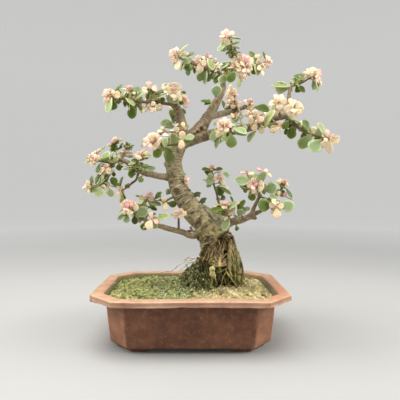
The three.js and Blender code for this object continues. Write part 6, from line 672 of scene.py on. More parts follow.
        [117, -7.7, 231.1, 117.3, -4.6, 227.4, -7, 4.3, "g"], [118.9, -12.9, 226.8, 117.8, -13.1, 234.2, 50, 6.1, "c"], [119.7, -13.3, 226.8, 121.7, -13.1, 223.2, -39, 3.4, "c"], [124.5, -17.9, 221.8, 119.7, -16.4, 234.3, 25, 10.3, "d"],
        [128.3, -20.5, 220.1, 129.7, -21.6, 226.2, -8, 5.5, "c"], [139, -29.9, 214.3, 129.3, -33.4, 227.4, 41, 12.5, "g"], [125.6, -22.2, 217.5, 113.5, -26.2, 202.6, 33, 13.9, "d"], [135.1, -27.7, 211.7, 121, -33.5, 199.1, 11, 14.1, "g"],
        [129.5, -18.9, 216.5, 143.4, -16, 215.6, -68, 9.9, "l"], [130.7, -19.3, 216.7, 134.5, -17.6, 220.5, -11, 4.2, "c"], [140.1, -33.2, 212.4, 138.2, -33.2, 221.7, -16, 4.8, "p"], [141.9, -33.2, 213, 146.1, -35.3, 215.3, -4, 4.7, "p"],
        [143, -33.2, 211.1, 152.3, -32.5, 210.3, 14, 8.4, "c"], [141.9, -33.2, 210.2, 142, -30.4, 196.2, 14, 7.2, "c"], [139.6, -33.2, 210.8, 133.9, -30.4, 202.6, 8, 7.2, "c"], [139.3, -33.2, 211.4, 134.8, -35.6, 209.3, 18, 5.3, "p"],
        [141.5, -34.8, 211.8, 142.2, -36.9, 210.9, 16, 2.8, "k"], [108.1, -4.9, 233.7, 101.5, 1.6, 227.9, 17, 7.7, "d"], [110, -6.9, 229, 109.1, 1, 219.6, -12, 9.5, "d"], [108.1, -4.9, 235.5, 114.2, 2.7, 229.2, 32, 9.7, "d"],
        [118.8, -10.8, 225.9, 120.1, -8.8, 223.2, 23, 3.1, "c"], [124.2, -15.6, 221.1, 123.1, -10.3, 230.1, 13, 9.2, "d"], [139.5, -26.6, 213.9, 133.1, -17.5, 224, -6, 11.2, "d"], [140.5, -27.6, 212.4, 137.5, -25.6, 219, 17, 4.3, "p"],
        [142.9, -27.6, 211.4, 150.8, -25, 209.7, 8, 7.5, "c"], [142, -27.6, 210.7, 143.3, -23.1, 200, -16, 6.4, "c"], [140.2, -27.6, 211.2, 136.2, -23.1, 203.4, 9, 6.4, "c"]]),
    ("shoot_right_under", [[90.81, -2.61, 236.09, 1], [92.51, -11.4, 231.03, 0.85], [94.55, -15.2, 227.4, 0.7]], [
        [94.4, -17.1, 226.7, 83.6, -19.7, 220.4, 62, 9.7, "c"], [95.5, -15.2, 226.4, 96.8, -15.7, 218.9, -59, 6.2, "c"], [95.5, -15.2, 228, 96.9, -15.2, 233.3, -18, 4.4, "p"], [93.9, -16.7, 227.4, 92.8, -18.3, 228.4, 11, 2.8, "k"],
        [92.5, -8.5, 231.3, 84.4, -6.4, 227.6, 29, 7.3, "d"], [94.5, -13.7, 227, 86.7, -6.7, 223.8, 0, 8.8, "c"], [95.1, -13.7, 227.8, 95.5, -11.2, 231.6, 23, 4, "p"]]),
    ("branch_upper_left", [[-24.57, -1.22, 254.79, 2], [-32.29, -3.8, 255, 1.82], [-42.6, -9.5, 254.68, 1.63], [-55.88, -17.1, 253.24, 1.45], [-66.89, -24.7, 253.5, 1.27], [-75.27, -30.4, 253.33, 1.08], [-80.44, -36.1, 254.37, 0.9]], [
        [-80.4, -38.3, 255.9, -87.3, -39.1, 259.8, 4, 5, "p"], [-80.8, -38.3, 256.7, -81.8, -39.6, 260.9, -6, 4.7, "p"], [-82.5, -38.4, 255, -89.2, -39.2, 254.8, -6, 4.7, "p"], [-79.6, -38.2, 255.1, -76.4, -39.3, 258.9, -5, 5.5, "p"],
        [-79.2, -38.2, 255.5, -70.6, -36.1, 255.2, 10, 7.7, "c"], [-83.7, -38.3, 253, -86.9, -36.1, 247, -15, 5, "c"], [-82.2, -39.5, 251.8, -82.5, -38.3, 246.7, -11, 4.2, "k"], [-82, -38.4, 255, -84.2, -40.6, 256.7, 9, 4.2, "p"],
        [-79.9, -37.6, 252.3, -82.7, -41.1, 236.3, 42, 12.1, "l"], [-77.3, -35, 259.1, -68.6, -36.1, 266.3, -60, 8.7, "d"], [-67, -28.3, 260.5, -72.9, -30.2, 254.2, 42, 6.6, "l"], [-66.9, -24.7, 256.1, -66, -26.7, 259.9, -1, 3.8, "d"],
        [-64.6, -23.9, 263.2, -71.7, -24.2, 265.3, 67, 6.1, "c"], [-64.5, -24.7, 264.3, -66.5, -26.7, 267.8, 12, 4.3, "p"], [-63.2, -23.9, 264.5, -61.8, -25.6, 268.8, -9, 4.3, "p"], [-63.3, -23.2, 262.4, -52.4, -21.8, 266.2, -37, 8.9, "d"],
        [-60.5, -24.2, 261.6, -57.3, -26.5, 258.9, -6, 3.6, "c"], [-64.4, -23.9, 263.2, -64, -25.5, 265.4, -10, 2.6, "k"], [-59.4, -22.7, 253.6, -47.1, -26, 261.6, -54, 11.5, "g"], [-67.6, -28.3, 254.5, -57.8, -31, 246, -60, 9.4, "g"],
        [-69.2, -26.4, 252.4, -68.2, -26, 245.2, -60, 5.6, "d"], [-74, -29.3, 252.2, -77.3, -29.3, 246.9, 44, 4.8, "d"], [-60.2, -22, 247.7, -61.7, -24.8, 233.6, 6, 10.8, "d"], [-60.3, -16.8, 248, -64.7, -15.8, 247.1, 13, 3.6, "p"],
        [-56.8, -17.1, 249.7, -51.3, -16.9, 244.8, -43, 5.7, "d"], [-52.2, -14.8, 248.1, -50.2, -14.5, 241.7, -43, 5.5, "c"], [-54.7, -16.3, 246.4, -51.6, -16, 241.4, -58, 4.5, "l"], [-45, -13.3, 269.6, -45.3, -14.5, 275.7, 12, 6.9, "p"],
        [-44.9, -13.3, 268.7, -52.1, -14, 265.4, 6, 6.9, "c"], [-43.1, -13.2, 268.7, -35.5, -12.2, 267.5, -14, 7.8, "p"], [-46.5, -13.2, 266.2, -48.4, -17.8, 262.8, 12, 5.2, "p"], [-44.5, -14.6, 267.6, -44.9, -16.1, 269.8, -7, 3.5, "k"],
        [-42.1, -12.3, 261.5, -45.1, -14.3, 269.3, 26, 6.8, "d"], [-41.5, -9.5, 263.5, -38.8, -9.7, 269.9, 0, 5.4, "d"], [-47.4, -12.5, 256.6, -44.8, -12.1, 263.8, -26, 5.8, "d"], [-39.2, -7.8, 262.1, -29, -8.7, 268.5, -58, 9.3, "d"],
        [-35.5, -9, 262.4, -24.2, -11.6, 264.9, -63, 8.9, "l"], [-35.1, -8.5, 257.4, -43.6, -10.6, 260.9, 19, 7.4, "g"], [-37, -6.7, 261.2, -31.7, -7.1, 263.1, -44, 4.7, "p"], [-30.3, -6.3, 254.4, -30.2, -8.1, 260.4, -9, 5.2, "d"],
        [-43.7, -11.7, 248.6, -47.9, -10.4, 254.9, 3, 5, "c"], [-42.4, -11.7, 249.5, -38.6, -11.7, 254.9, -6, 6.2, "c"], [-42.2, -11.7, 248.2, -39.3, -13.5, 242.3, -4, 7.8, "c"], [-39, -11.5, 247.2, -30.1, -9.5, 250.6, 18, 6.8, "c"],
        [-43.1, -12.9, 247.4, -44, -14.3, 246, 0, 3, "k"], [-80.4, -33.8, 255.6, -86.5, -31, 257.8, 34, 4.5, "p"], [-80.7, -33.8, 256.2, -81.5, -30.6, 259.8, 24, 4.2, "p"], [-79.7, -33.8, 254.9, -77.1, -30.9, 257.5, -22, 5, "p"],
        [-83.1, -33.8, 253.2, -84.4, -31.3, 248.1, 26, 4.5, "c"], [-81.7, -33.7, 254.9, -83.3, -29.7, 256.6, 31, 3.8, "p"], [-80.1, -34.4, 253.1, -81.5, -25.4, 241.9, -9, 10.9, "d"], [-78, -32.7, 257.1, -71.6, -27, 260.8, 7, 7.9, "d"],
        [-67.6, -23.8, 257.7, -71.8, -18.9, 254.4, 12, 6, "d"], [-66.9, -22.6, 255.1, -66.1, -19.9, 257.4, 21, 3.4, "d"], [-64.9, -21.6, 260, -65.7, -18.8, 262.5, 4, 3.9, "p"], [-63.5, -20.5, 258.8, -55.5, -14.7, 260, -6, 8, "d"],
        [-61.3, -20.4, 258.3, -59.1, -18, 256.1, -13, 3.3, "c"], [-60, -18.4, 253.5, -51.4, -11.6, 258.2, 35, 10.3, "g"], [-68.1, -24.1, 254.1, -62.3, -16.9, 246.9, -35, 8.5, "d"], [-73.9, -27.5, 252.6, -75.5, -24.6, 248.8, 27, 4.4, "d"],
        [-60.5, -18.5, 249.9, -63, -9.2, 241.7, 4, 9.7, "d"], [-52.4, -12.9, 250.3, -50.8, -9.8, 246.2, 0, 4.9, "c"], [-54.9, -14.4, 249.2, -53.2, -11.7, 245.5, -27, 4.1, "l"], [-45, -8.2, 266.5, -46.1, -5.1, 271.8, -21, 6.2, "p"],
        [-44.9, -8.2, 265.8, -50.3, -5.5, 261.5, -1, 6.2, "c"], [-43.2, -6.9, 265.9, -37.2, -4, 266.4, 28, 7, "p"], [-41.5, -6.5, 260, -40.5, -3.2, 264.3, -7, 4.8, "d"], [-36, -3.7, 259.4, -28.3, 2.7, 259.8, -8, 8, "l"],
        [-35.6, -3.5, 256.4, -41.2, 1.7, 259.7, -32, 6.6, "g"], [-43.9, -9.4, 249.8, -47.8, -6.2, 253.8, 7, 4.5, "c"], [-42.7, -8.3, 250.5, -40.1, -6.3, 254.8, -6, 5.6, "c"], [-42.5, -8.3, 249.5, -40.4, -4.7, 244.5, -4, 7.1, "c"],
        [-39.4, -5.7, 248.7, -31.6, -1.9, 249.4, -1, 6.1, "c"]]),
    ("crown_upper_left", [[-16.14, -3.45, 253.4, 1.7], [-16.53, -11.4, 256.88, 1.43], [-17.97, -19, 260.2, 1.17], [-18.48, -26.6, 262.46, 0.9]], [
        [-21.7, -31, 262.8, -30.3, -27.2, 267.3, -10, 6.8, "c"], [-21, -31, 264.5, -23.2, -33.7, 267.7, 9, 5.1, "c"], [-16.6, -31.1, 263.8, -14.6, -33.7, 268.5, 10, 8.3, "c"], [-15.6, -31.1, 262.7, -9.6, -34.5, 264.9, -2, 6.8, "c"],
        [-17.4, -31.2, 259.3, -22.6, -35.7, 261.4, -12, 7.6, "c"], [-16.4, -31.1, 258.5, -10.1, -33.6, 257, -1, 9.2, "c"], [-17.4, -31.1, 258.2, -16.8, -34.4, 252.7, -14, 7.5, "c"], [-20, -31.2, 261.2, -26.6, -33.5, 263.8, -13, 5.9, "c"],
        [-24.7, -30.3, 265.7, -26.7, -31.6, 268, -2, 3.4, "l"], [-17.1, -33.8, 260.5, -15.3, -36.8, 262.8, -15, 3.2, "k"], [-10.5, -19, 263, -4.7, -17.7, 262.3, -26, 4.6, "d"], [-24.5, -9, 254.6, -21.6, -13, 262.2, 0, 7.9, "g"],
        [-21, -11, 254.3, -12.7, -15.6, 255.8, -11, 7.9, "g"], [-8.5, -11.2, 256.9, -13, -11.3, 260.9, 5, 6.1, "c"], [-7.6, -11.2, 257.8, -4.7, -12.5, 261.5, -15, 5.9, "p"], [-6.5, -11.2, 256.8, -1.2, -10.6, 252.6, 8, 5.2, "p"],
        [-7.4, -11.2, 255.2, -3.9, -9, 248.3, 10, 5, "p"], [-8.5, -11.2, 255.6, -11.6, -11.8, 251.3, 0, 4.3, "d"], [-7.1, -12.5, 256.8, -4, -13.4, 258.5, -16, 3.2, "k"], [-8.5, -11.2, 256.2, -12.4, -15.7, 257.4, 0, 4.5, "c"],
        [-21, -22.7, 262.7, -28.1, -17.3, 264.3, 25, 6.1, "c"], [-17.6, -22.6, 259.9, -22.1, -16.6, 260.5, 32, 6.9, "c"], [-17.6, -22.6, 259.1, -16.3, -17.7, 254.4, -30, 6.7, "c"], [-19.7, -22.6, 261.4, -24.8, -18.5, 262.6, 28, 5.3, "c"],
        [-23.4, -23.2, 265, -25.2, -20.1, 266.5, 29, 3.1, "l"], [-21.3, -6.6, 255.1, -19.4, -0.9, 260.1, -22, 7.1, "d"], [-19.2, -8, 255.2, -13.7, -1.9, 257.6, -23, 7.1, "g"], [-9.4, -10.4, 257.6, -7.1, -7.3, 260.7, -10, 5.3, "p"],
        [-9.2, -8.8, 255.4, -5.9, -4.8, 249.7, -28, 4.5, "p"]]),
    ("leaves_upper_left_limb", [[-16.06, 9.03, 246.44, 0.9], [-19.82, 19, 244.93, 0.8], [-19.65, 15.2, 237.73, 0.7]], [
        [-19.2, 17.1, 238.1, -23.8, 20.5, 253.5, 51, 11.8, "d"], [-21.3, 17.1, 237.3, -35.1, 20.1, 237.9, 32, 10.5, "d"], [-21.5, 11.1, 251.8, -25, 12.1, 254.9, 56, 3.7, "c"], [-12.4, 11.1, 253.4, -5.3, 13.3, 247.3, -48, 7.5, "d"]]),
    ("crown_fork_left", [[-12.96, -8.95, 207.38, 1.6], [-13.05, -28.5, 206.01, 1.44], [-19.02, -38, 204.74, 1.28], [-25.23, -45.6, 203.72, 1.12], [-31.5, -49.4, 204.51, 0.96], [-36.28, -49.4, 206.47, 0.8]], [
        [-37.6, -53.2, 208.1, -39.8, -52.8, 214.2, -12, 6.4, "c"], [-36.3, -53.2, 208.3, -35.4, -52, 215, 9, 5.6, "c"], [-34.2, -52.9, 209.2, -30.6, -53.9, 212.7, -16, 5.4, "p"], [-33.3, -53, 207.2, -27.1, -49.4, 207.6, 12, 6.3, "p"],
        [-38.9, -53.2, 205.7, -46, -51.6, 208.5, -9, 5.6, "p"], [-39.8, -53.1, 204.3, -46.8, -49.4, 202.7, 5, 5.2, "p"], [-37.6, -53.2, 203.9, -40, -54.8, 199.3, 17, 5.5, "p"], [-35.5, -53.1, 203.5, -36.8, -49.4, 196.8, 3, 6, "p"],
        [-34.1, -53.1, 204.3, -30.2, -54.2, 201.6, 6, 5.5, "c"], [-36.8, -53.3, 206.6, -37.2, -57.5, 207.2, -7, 5.2, "p"], [-41.3, -54.7, 204.6, -40.4, -57.4, 203.2, -18, 2.5, "k"], [-33.1, -54.8, 207.8, -33.6, -56.6, 210.3, -17, 2.1, "k"],
        [-32.7, -54.9, 205.8, -30.9, -56.6, 204.6, -13, 2, "k"], [-45.7, -47.4, 209.2, -48.4, -45.4, 200.7, 73, 6.8, "g"], [-25.5, -47.9, 200.3, -25.8, -50.3, 210.8, 43, 8.4, "g"], [-10.2, -31.1, 211.1, -23.2, -33.3, 211.6, 0, 10.3, "l"],
        [-13.3, -28.5, 206.2, -21.6, -27.7, 204.2, 37, 6.5, "g"], [-27.4, -49, 200.1, -35.8, -51.7, 191.1, 6, 9.5, "d"], [-24.2, -47.2, 199.3, -17.9, -50.6, 184.9, -35, 11.9, "o"], [-25.3, -45.6, 200, -26.1, -45.2, 190.6, 73, 6.9, "g"],
        [-21.4, -43.5, 212.8, -28, -45, 213.6, 50, 5.6, "p"], [-21.2, -43.5, 212.8, -23.1, -44.5, 212.7, 12, 1.9, "k"], [-37.4, -45.9, 207.8, -38, -43.5, 212.8, -19, 5.7, "c"], [-36.3, -46, 207.9, -35.9, -41.4, 213, -13, 5, "c"],
        [-34.5, -46.1, 208.6, -30.8, -43.2, 210.9, -18, 4.9, "p"], [-33.5, -46.1, 206.9, -28.4, -40.9, 206, 26, 5.7, "p"], [-39.1, -46, 204.8, -44.3, -40.7, 204.2, 10, 4.7, "p"], [-37.4, -45.9, 204.4, -39.6, -42.5, 200.8, -4, 5, "p"],
        [-36.7, -45.9, 206.5, -37.1, -40.1, 206.9, 2, 4.7, "p"], [-25.8, -44.2, 201.7, -24.1, -38.3, 209.1, 4, 7.6, "d"], [-13.2, -26.3, 206.1, -19.1, -22.1, 205.7, 10, 5.9, "g"], [-24.6, -43.7, 201.1, -21.6, -34.9, 191.3, -32, 10.7, "o"]]),
    ("shoot_fork_centre", [[-6.17, -8.45, 212.94, 1.1], [-7.02, -36.1, 210.4, 0.9], [-8.34, -45.6, 208.91, 0.7]], [
        [-8.5, -47.5, 209.1, -8.1, -49.3, 216.8, -7, 6.6, "c"], [-7.6, -42.9, 209.6, 3.7, -45.4, 211.9, -36, 9, "g"], [-8.4, -47.5, 208.3, -9.7, -49.5, 198.9, 25, 7.5, "c"], [-8.4, -44.1, 209, -8, -39.7, 214.5, -3, 5.9, "c"],
        [-7.7, -41.2, 209.5, -0.3, -34.7, 209.3, -12, 8.1, "d"], [-8.4, -44.1, 208.5, -8.6, -38.8, 201.7, 15, 6.8, "c"]]),
    ("shoot_fork_top", [[-8.92, -6.41, 222.89, 1.2], [-7.57, -26.6, 222.22, 1.08], [-12.92, -32.3, 219.62, 0.95], [-19.11, -36.1, 218.07, 0.83], [-24.72, -39.9, 216.98, 0.7]], [
        [-7.2, -28.9, 222.9, -8.4, -30.4, 229.2, 23, 5.5, "c"], [-6.4, -28.9, 222, -4.5, -30.6, 223.3, -1, 2.7, "c"], [-3.4, -24.3, 222.8, -2.6, -23.2, 228.3, -44, 4.1, "l"], [-15.2, -33.4, 223.5, -12.5, -33.1, 227.3, -65, 3.7, "p"],
        [-17.5, -32.5, 224.6, -22.7, -31.3, 226.7, 68, 4.5, "p"], [-11.2, -30, 221.6, -16.3, -30.3, 221.7, 56, 4.2, "c"], [-8.3, -29.4, 221.6, -8.7, -30.7, 222.5, 3, 1.7, "k"], [-14.7, -33.8, 215.6, -20.7, -33, 220.4, 35, 6.2, "c"],
        [-15.1, -35.9, 218, -11.3, -36.8, 218.5, -71, 3.1, "c"], [-25.8, -39.9, 222.4, -16.5, -39, 223, -40, 7.2, "o"], [-26.4, -39.9, 217.8, -28.4, -40.4, 221.9, 23, 3.8, "p"], [-27.6, -39.9, 217.3, -33.5, -40.2, 218.1, 41, 4.9, "c"],
        [-28.4, -38, 216.6, -35.3, -36.5, 217, 53, 5.2, "l"], [-27.9, -38, 216.6, -31.2, -37.2, 214.8, 36, 2.9, "d"], [-7.1, -25.4, 221.9, -5.6, -23.4, 222.8, -12, 2.4, "c"]]),
    ("shoot_mid_left_tip", [[-86.71, -5.06, 188.53, 1.3], [-88.39, -11.4, 189.32, 1.2], [-92.83, -17.1, 189.44, 1.1], [-97.1, -22.8, 189.87, 1], [-99.37, -28.5, 191.06, 0.9], [-100.67, -32.3, 192.29, 0.8]], [
        [-100.3, -34.6, 192, -99.6, -36.1, 193.6, 8, 2.2, "k"], [-100.9, -33.4, 192.1, -104.3, -34.8, 193, 3, 4, "c"], [-100.4, -33.4, 193, -102, -34.7, 195.7, -7, 4, "c"], [-99.5, -33.4, 191.3, -95, -34.1, 195, -10, 4.9, "p"],
        [-98.1, -33.4, 190.7, -92.2, -31.2, 192.8, 4, 5.4, "c"], [-99.1, -33.4, 190.7, -102, -35.5, 189.1, -15, 4, "p"], [-99.6, -33.4, 189.8, -101.7, -31.2, 182.6, 15, 4, "c"], [-98, -33.3, 189.8, -98.5, -34.9, 186.5, -13, 3.1, "p"],
        [-97.3, -34.5, 189.9, -97.5, -36.3, 190.5, -17, 1.7, "k"], [-103.1, -34.3, 191, -107.2, -35.7, 186.3, 39, 4.9, "l"], [-94.6, -23.3, 191.8, -83.5, -26, 197.9, -41, 9.5, "l"], [-85.6, -10.8, 195.3, -82.9, -11, 201.3, -47, 5.1, "l"],
        [-83.4, -7.6, 189.8, -93, -9.9, 192.6, 48, 8.1, "l"], [-84.3, -7.6, 189.3, -77.9, -9.7, 196.8, -37, 7.5, "l"], [-80.3, -5.1, 197.7, -79.2, -5.5, 201.9, -65, 3.6, "c"], [-90, -14.8, 198.3, -89.5, -14.7, 200.6, -5, 1.8, "d"],
        [-95, -30.8, 197.8, -99.2, -30.3, 198.7, 5, 3.1, "p"], [-94.1, -30.9, 198.7, -91.7, -31.4, 201.6, 7, 3.1, "c"], [-91.9, -30.7, 200.1, -87.9, -29.6, 204.1, 9, 2.2, "l"], [-97.4, -30.5, 197.4, -100.7, -28.1, 197, -16, 2.6, "c"],
        [-96.3, -31.3, 198.2, -95.6, -32.3, 199.2, 3, 1.7, "k"], [-100.9, -30.7, 192.1, -103.8, -27.5, 192.4, 27, 3.6, "c"], [-100.5, -30.8, 192.9, -102.3, -27.5, 194.8, 31, 3.6, "c"], [-99.7, -30.7, 191.5, -96, -28.1, 193.7, -33, 4.4, "p"],
        [-102.1, -30.7, 191.5, -105, -27.2, 188.9, 18, 4.4, "d"], [-95.4, -20.2, 191, -87.6, -13.2, 194.3, -17, 8.6, "d"], [-86.7, -8.8, 192.9, -85.4, -5.7, 197.1, 32, 4.6, "d"], [-84.9, -4.6, 189.4, -91.8, -0.5, 190, 16, 7.3, "d"],
        [-85.5, -6.6, 189.1, -82, -2.2, 194.6, 3, 6.8, "l"], [-82.8, -3, 194, -82.7, -0.8, 196.7, 22, 3.2, "c"], [-96.1, -30.1, 196.6, -98.9, -27.6, 198.1, 18, 2.8, "p"], [-98, -30, 196.3, -100.7, -27.2, 196, 21, 2.4, "c"]]),
    ("shoot_mid_left_up", [[-80.74, 0.83, 195.49, 1.3], [-81.88, 1.9, 199.66, 1.18], [-83.49, 3.8, 205.35, 1.05], [-84.49, 3.8, 209.84, 0.93], [-83.73, 0, 212.3, 0.8]], [
        [-84.5, -1.6, 213, -88.7, 0, 212.6, -11, 3.8, "k"], [-84.2, -1.1, 214, -86.4, -0.8, 216.9, 0, 3.4, "p"], [-82.7, -1.1, 214, -82, -2.1, 218.6, -6, 5.3, "c"], [-80.3, -0.9, 214.8, -75.3, 0, 215.5, 12, 3.4, "c"],
        [-87.7, 0, 211.2, -92.6, 0, 208.7, -9, 2.7, "c"], [-83.2, 1.3, 209.9, -78.8, -0.4, 216.1, -48, 5.9, "d"], [-83.6, 1.3, 209.7, -88.3, 0.1, 211.3, 35, 4, "d"], [-84.6, 3.8, 206.8, -90.8, 3.3, 209.5, 37, 5.3, "d"],
        [-84.6, 3.8, 205.2, -89.6, 1.2, 203.9, 5, 4.9, "d"], [-83.1, 1.1, 203.9, -79.7, 0.1, 200.3, -45, 3.7, "l"], [-83.6, 3.8, 206.8, -86.5, 3.4, 210.3, 42, 3.6, "d"], [-83, 1.4, 204.5, -81.3, 0.1, 209.6, -53, 4.2, "d"],
        [-80.2, 3.8, 206.2, -74.9, 3, 212.5, -63, 6.3, "d"], [-79.7, 3.6, 205.6, -76, 3.9, 208.4, -42, 3.6, "d"], [-86.9, 2.5, 211.3, -90.9, 4.5, 209.6, 27, 2.4, "c"], [-83.6, 3.5, 210.4, -81.7, 7.8, 214.7, -21, 5.3, "d"],
        [-83.8, 3.7, 210.2, -87.2, 6.5, 210.6, -8, 3.6, "d"], [-84.2, 5.7, 205.3, -87.6, 9.2, 204.5, 18, 4.4, "d"], [-83, 5.2, 204.2, -81.7, 8.2, 207.3, 24, 3.8, "d"]]),
    ("shoot_mid_left_up2", [[-75.42, 2.18, 194.68, 1.2], [-75.86, 5.7, 198.57, 1.1], [-74.78, 9.5, 202.51, 1], [-72.76, 9.5, 205.54, 0.9], [-71.42, 7.6, 207.83, 0.8]], [
        [-71.5, 8, 207.3, -63.6, 7.3, 210.8, -64, 6.6, "d"], [-71.9, 7.6, 208.2, -72.5, 7.5, 214.6, 60, 4.9, "d"], [-71.7, 10, 207.5, -69.3, 11.4, 213.5, -50, 4.9, "d"], [-70.2, 6.3, 206.1, -65.6, 5.2, 208.1, -63, 3.8, "d"],
        [-72.4, 8, 207.8, -75.1, 7.7, 208.9, 31, 2.4, "c"], [-72.3, 7.6, 210.2, -74.9, 7.6, 212.7, 60, 2.9, "c"], [-68.8, 6.3, 205.6, -66.9, 7.2, 207.7, -46, 2.3, "c"], [-71.7, 9.5, 204.4, -68.4, 9.3, 205.1, -54, 2.6, "l"],
        [-74.3, 7.4, 202.7, -75.7, 7.1, 206, -11, 2.9, "c"], [-74.5, 7.4, 202.2, -80.9, 8.7, 200.8, -7, 2.9, "c"], [-73.7, 6.7, 202.1, -70.1, 6.8, 203.3, 7, 2.9, "k"], [-73.8, 7.4, 201.2, -65.2, 8.7, 201.8, 12, 3.1, "p"],
        [-74.5, 7.4, 200.2, -79.7, 7.7, 199.2, -12, 2.4, "p"], [-74.3, 7.3, 196.9, -74.2, 4.4, 198.7, -12, 2.4, "k"], [-73, 7.7, 197.7, -64.2, 8.7, 197.8, -9, 3.9, "l"], [-74.9, 7.4, 201.2, -70.9, 6.5, 199.6, -6, 2.4, "c"],
        [-78, 8.3, 196.7, -79.7, 7.9, 198.9, 1, 2.4, "c"], [-71.6, 9.6, 207.3, -66.4, 13.8, 209.1, 33, 5.9, "d"], [-72, 9.2, 209.3, -73.8, 10.8, 211.2, 21, 2.6, "c"], [-74.5, 10.4, 202.5, -75.1, 12.7, 205.3, -28, 2.6, "c"],
        [-74.6, 9.9, 202, -79.3, 13.1, 201.3, -7, 2.6, "c"]]),
    ("shoot_mid_left_inner", [[-61.67, -7.48, 184.5, 1.2], [-59.2, -17.1, 187.17, 1.07], [-54.61, -22.8, 190.9, 0.93], [-51.31, -26.6, 194.7, 0.8]], [
        [-51.5, -28.3, 196.7, -55.3, -29.3, 198.1, 0, 2.7, "p"], [-51, -28.2, 197.2, -48.5, -28.6, 200.8, 5, 2.7, "c"], [-50.5, -28.2, 196.7, -42.7, -26.6, 197.8, -1, 4, "c"], [-52.4, -28.3, 195.8, -59.4, -26.6, 195.8, -13, 3.1, "p"],
        [-52.8, -28.2, 195.4, -54.2, -30.1, 190.9, 4, 7.4, "c"], [-50.4, -29.2, 196, -50.9, -30.4, 196.8, -3, 2.2, "k"], [-49.9, -26.6, 193.7, -40.7, -26.1, 194, -73, 7, "l"], [-52.3, -25.3, 190.1, -61.9, -27.5, 189.4, 62, 7.7, "o"],
        [-50.3, -22.6, 191.3, -48.5, -21.9, 194.3, -41, 2.7, "d"], [-59.9, -15.6, 185.8, -49.1, -17.9, 185.7, -31, 8.1, "g"], [-56.6, -19.4, 187.8, -66.1, -18.8, 186.5, 64, 7.3, "l"], [-62, -7.5, 182.5, -73.6, -7.7, 182.8, 73, 7.3, "l"],
        [-62.4, -5.1, 181.1, -69.8, -7.4, 183.8, 103, 5.8, "d"], [-59.7, -9.9, 176.6, -67, -16.1, 176.7, 5, 8.6, "d"], [-71.7, -7.5, 185.8, -74, -7.3, 186.3, 55, 1.9, "c"], [-53.1, -9.9, 178.6, -47, -11.4, 181.9, -49, 5.3, "l"],
        [-49, -18.9, 183.2, -37.4, -16.3, 182.4, -61, 9.2, "d"], [-48.4, -21.8, 181.7, -37.2, -22, 180.8, -50, 7.6, "g"], [-50.7, -24.6, 196.3, -44.2, -22.7, 196.6, -28, 3.6, "c"], [-52.2, -24.6, 195.6, -57.9, -21.1, 194.7, 9, 2.8, "p"],
        [-52.5, -24.7, 195.2, -53.8, -21, 191.7, 9, 6.6, "c"], [-50.5, -25, 194.1, -43.8, -20.6, 195, 11, 6.3, "d"], [-59.8, -13.4, 186.1, -53.4, -7.4, 187.8, -24, 7.2, "g"], [-60.4, -6.1, 179.8, -65.5, -6.2, 179.7, -15, 7.7, "d"],
        [-56.3, -9.9, 181.2, -52, -7.2, 184, -6, 4.8, "l"], [-51.5, -19.1, 184.9, -44, -13.6, 185.1, -26, 6.8, "g"]]),
    ("leaf_mid_left_under", [[-50.61, -9.06, 176.4, 0.9], [-53.04, -17.1, 173.05, 0.8], [-54.31, -20.9, 172.78, 0.7]], [
        [-54.2, -22.8, 172.6, -50, -27.1, 167.5, -12, 6.2, "d"], [-54.3, -19.4, 172.7, -52.4, -14.2, 168.8, -7, 5.5, "d"]]),
    ("leaf_mid_left_low", [[-80.44, 3.13, 191.45, 0.9], [-81.6, 9.5, 189.78, 0.7]], [
        [-82.1, 11.4, 189.9, -82.5, 16.2, 182.3, 12, 7.5, "d"], [-80.2, 11.4, 189, -76.5, 12.3, 187.6, -63, 3.4, "c"]]),
    ("shoot_mid_left_hang", [[-87.42, -6.4, 183.95, 1.1], [-86.67, -17.1, 183.76, 0.9], [-88.07, -26.6, 183.7, 0.7]], [
        [-94.3, -28.5, 186, -95.2, -30.5, 176.7, 34, 7.1, "d"], [-91.4, -26.6, 186.3, -92.2, -28.6, 183.8, 6, 2.7, "l"], [-88.7, -28.5, 182.9, -87.8, -30.6, 184.9, -7, 2.7, "k"], [-89.6, -26.6, 183.1, -91, -29.7, 180.5, 6, 4, "p"],
        [-88.3, -28.5, 182, -93.7, -30.5, 174.9, 61, 7.5, "c"], [-87.2, -24.8, 183.2, -84, -26.5, 175.7, -53, 6.5, "c"], [-88, -25.6, 183.6, -85.2, -25.9, 186.1, -32, 3, "p"], [-89.6, -26.6, 177, -93.8, -25.8, 166.9, 57, 8.4, "g"],
        [-92.9, -26.6, 181.8, -93.8, -28.7, 179.8, 3, 2.8, "c"], [-91.8, -25.1, 185.1, -93.8, -19.9, 178.7, 22, 6.4, "d"], [-88.2, -26, 182.7, -93, -21.6, 178.1, -10, 6.8, "c"], [-87.5, -23.2, 183.4, -84.2, -18.6, 178.5, -2, 5.9, "c"],
        [-88, -24.1, 183.6, -86.3, -22.4, 185.2, 23, 2.7, "p"], [-89, -25.1, 179.7, -90.3, -19.8, 172.7, -17, 7.6, "d"], [-91, -26, 182.5, -91.7, -24.6, 181.4, 16, 2.5, "c"]]),
    ("branch_mid_left_down", [[-89.84, -7.74, 174, 1.5], [-89.46, -15.2, 170.19, 1.36], [-91.44, -19, 166.74, 1.22], [-94.77, -24.7, 164.93, 1.08], [-98.42, -30.4, 163.4, 0.94], [-101.76, -34.2, 162.72, 0.8]], [
        [-101.2, -33.4, 164.4, -99.7, -34, 173.9, -53, 7.4, "d"], [-98.4, -26.5, 165.9, -96.5, -24.6, 174.2, -36, 6.5, "d"], [-99.6, -30.8, 168.1, -99.6, -31.9, 169.7, -5, 1.7, "c"], [-100.4, -33.1, 161.7, -100.7, -33.1, 156.1, 59, 4.3, "d"],
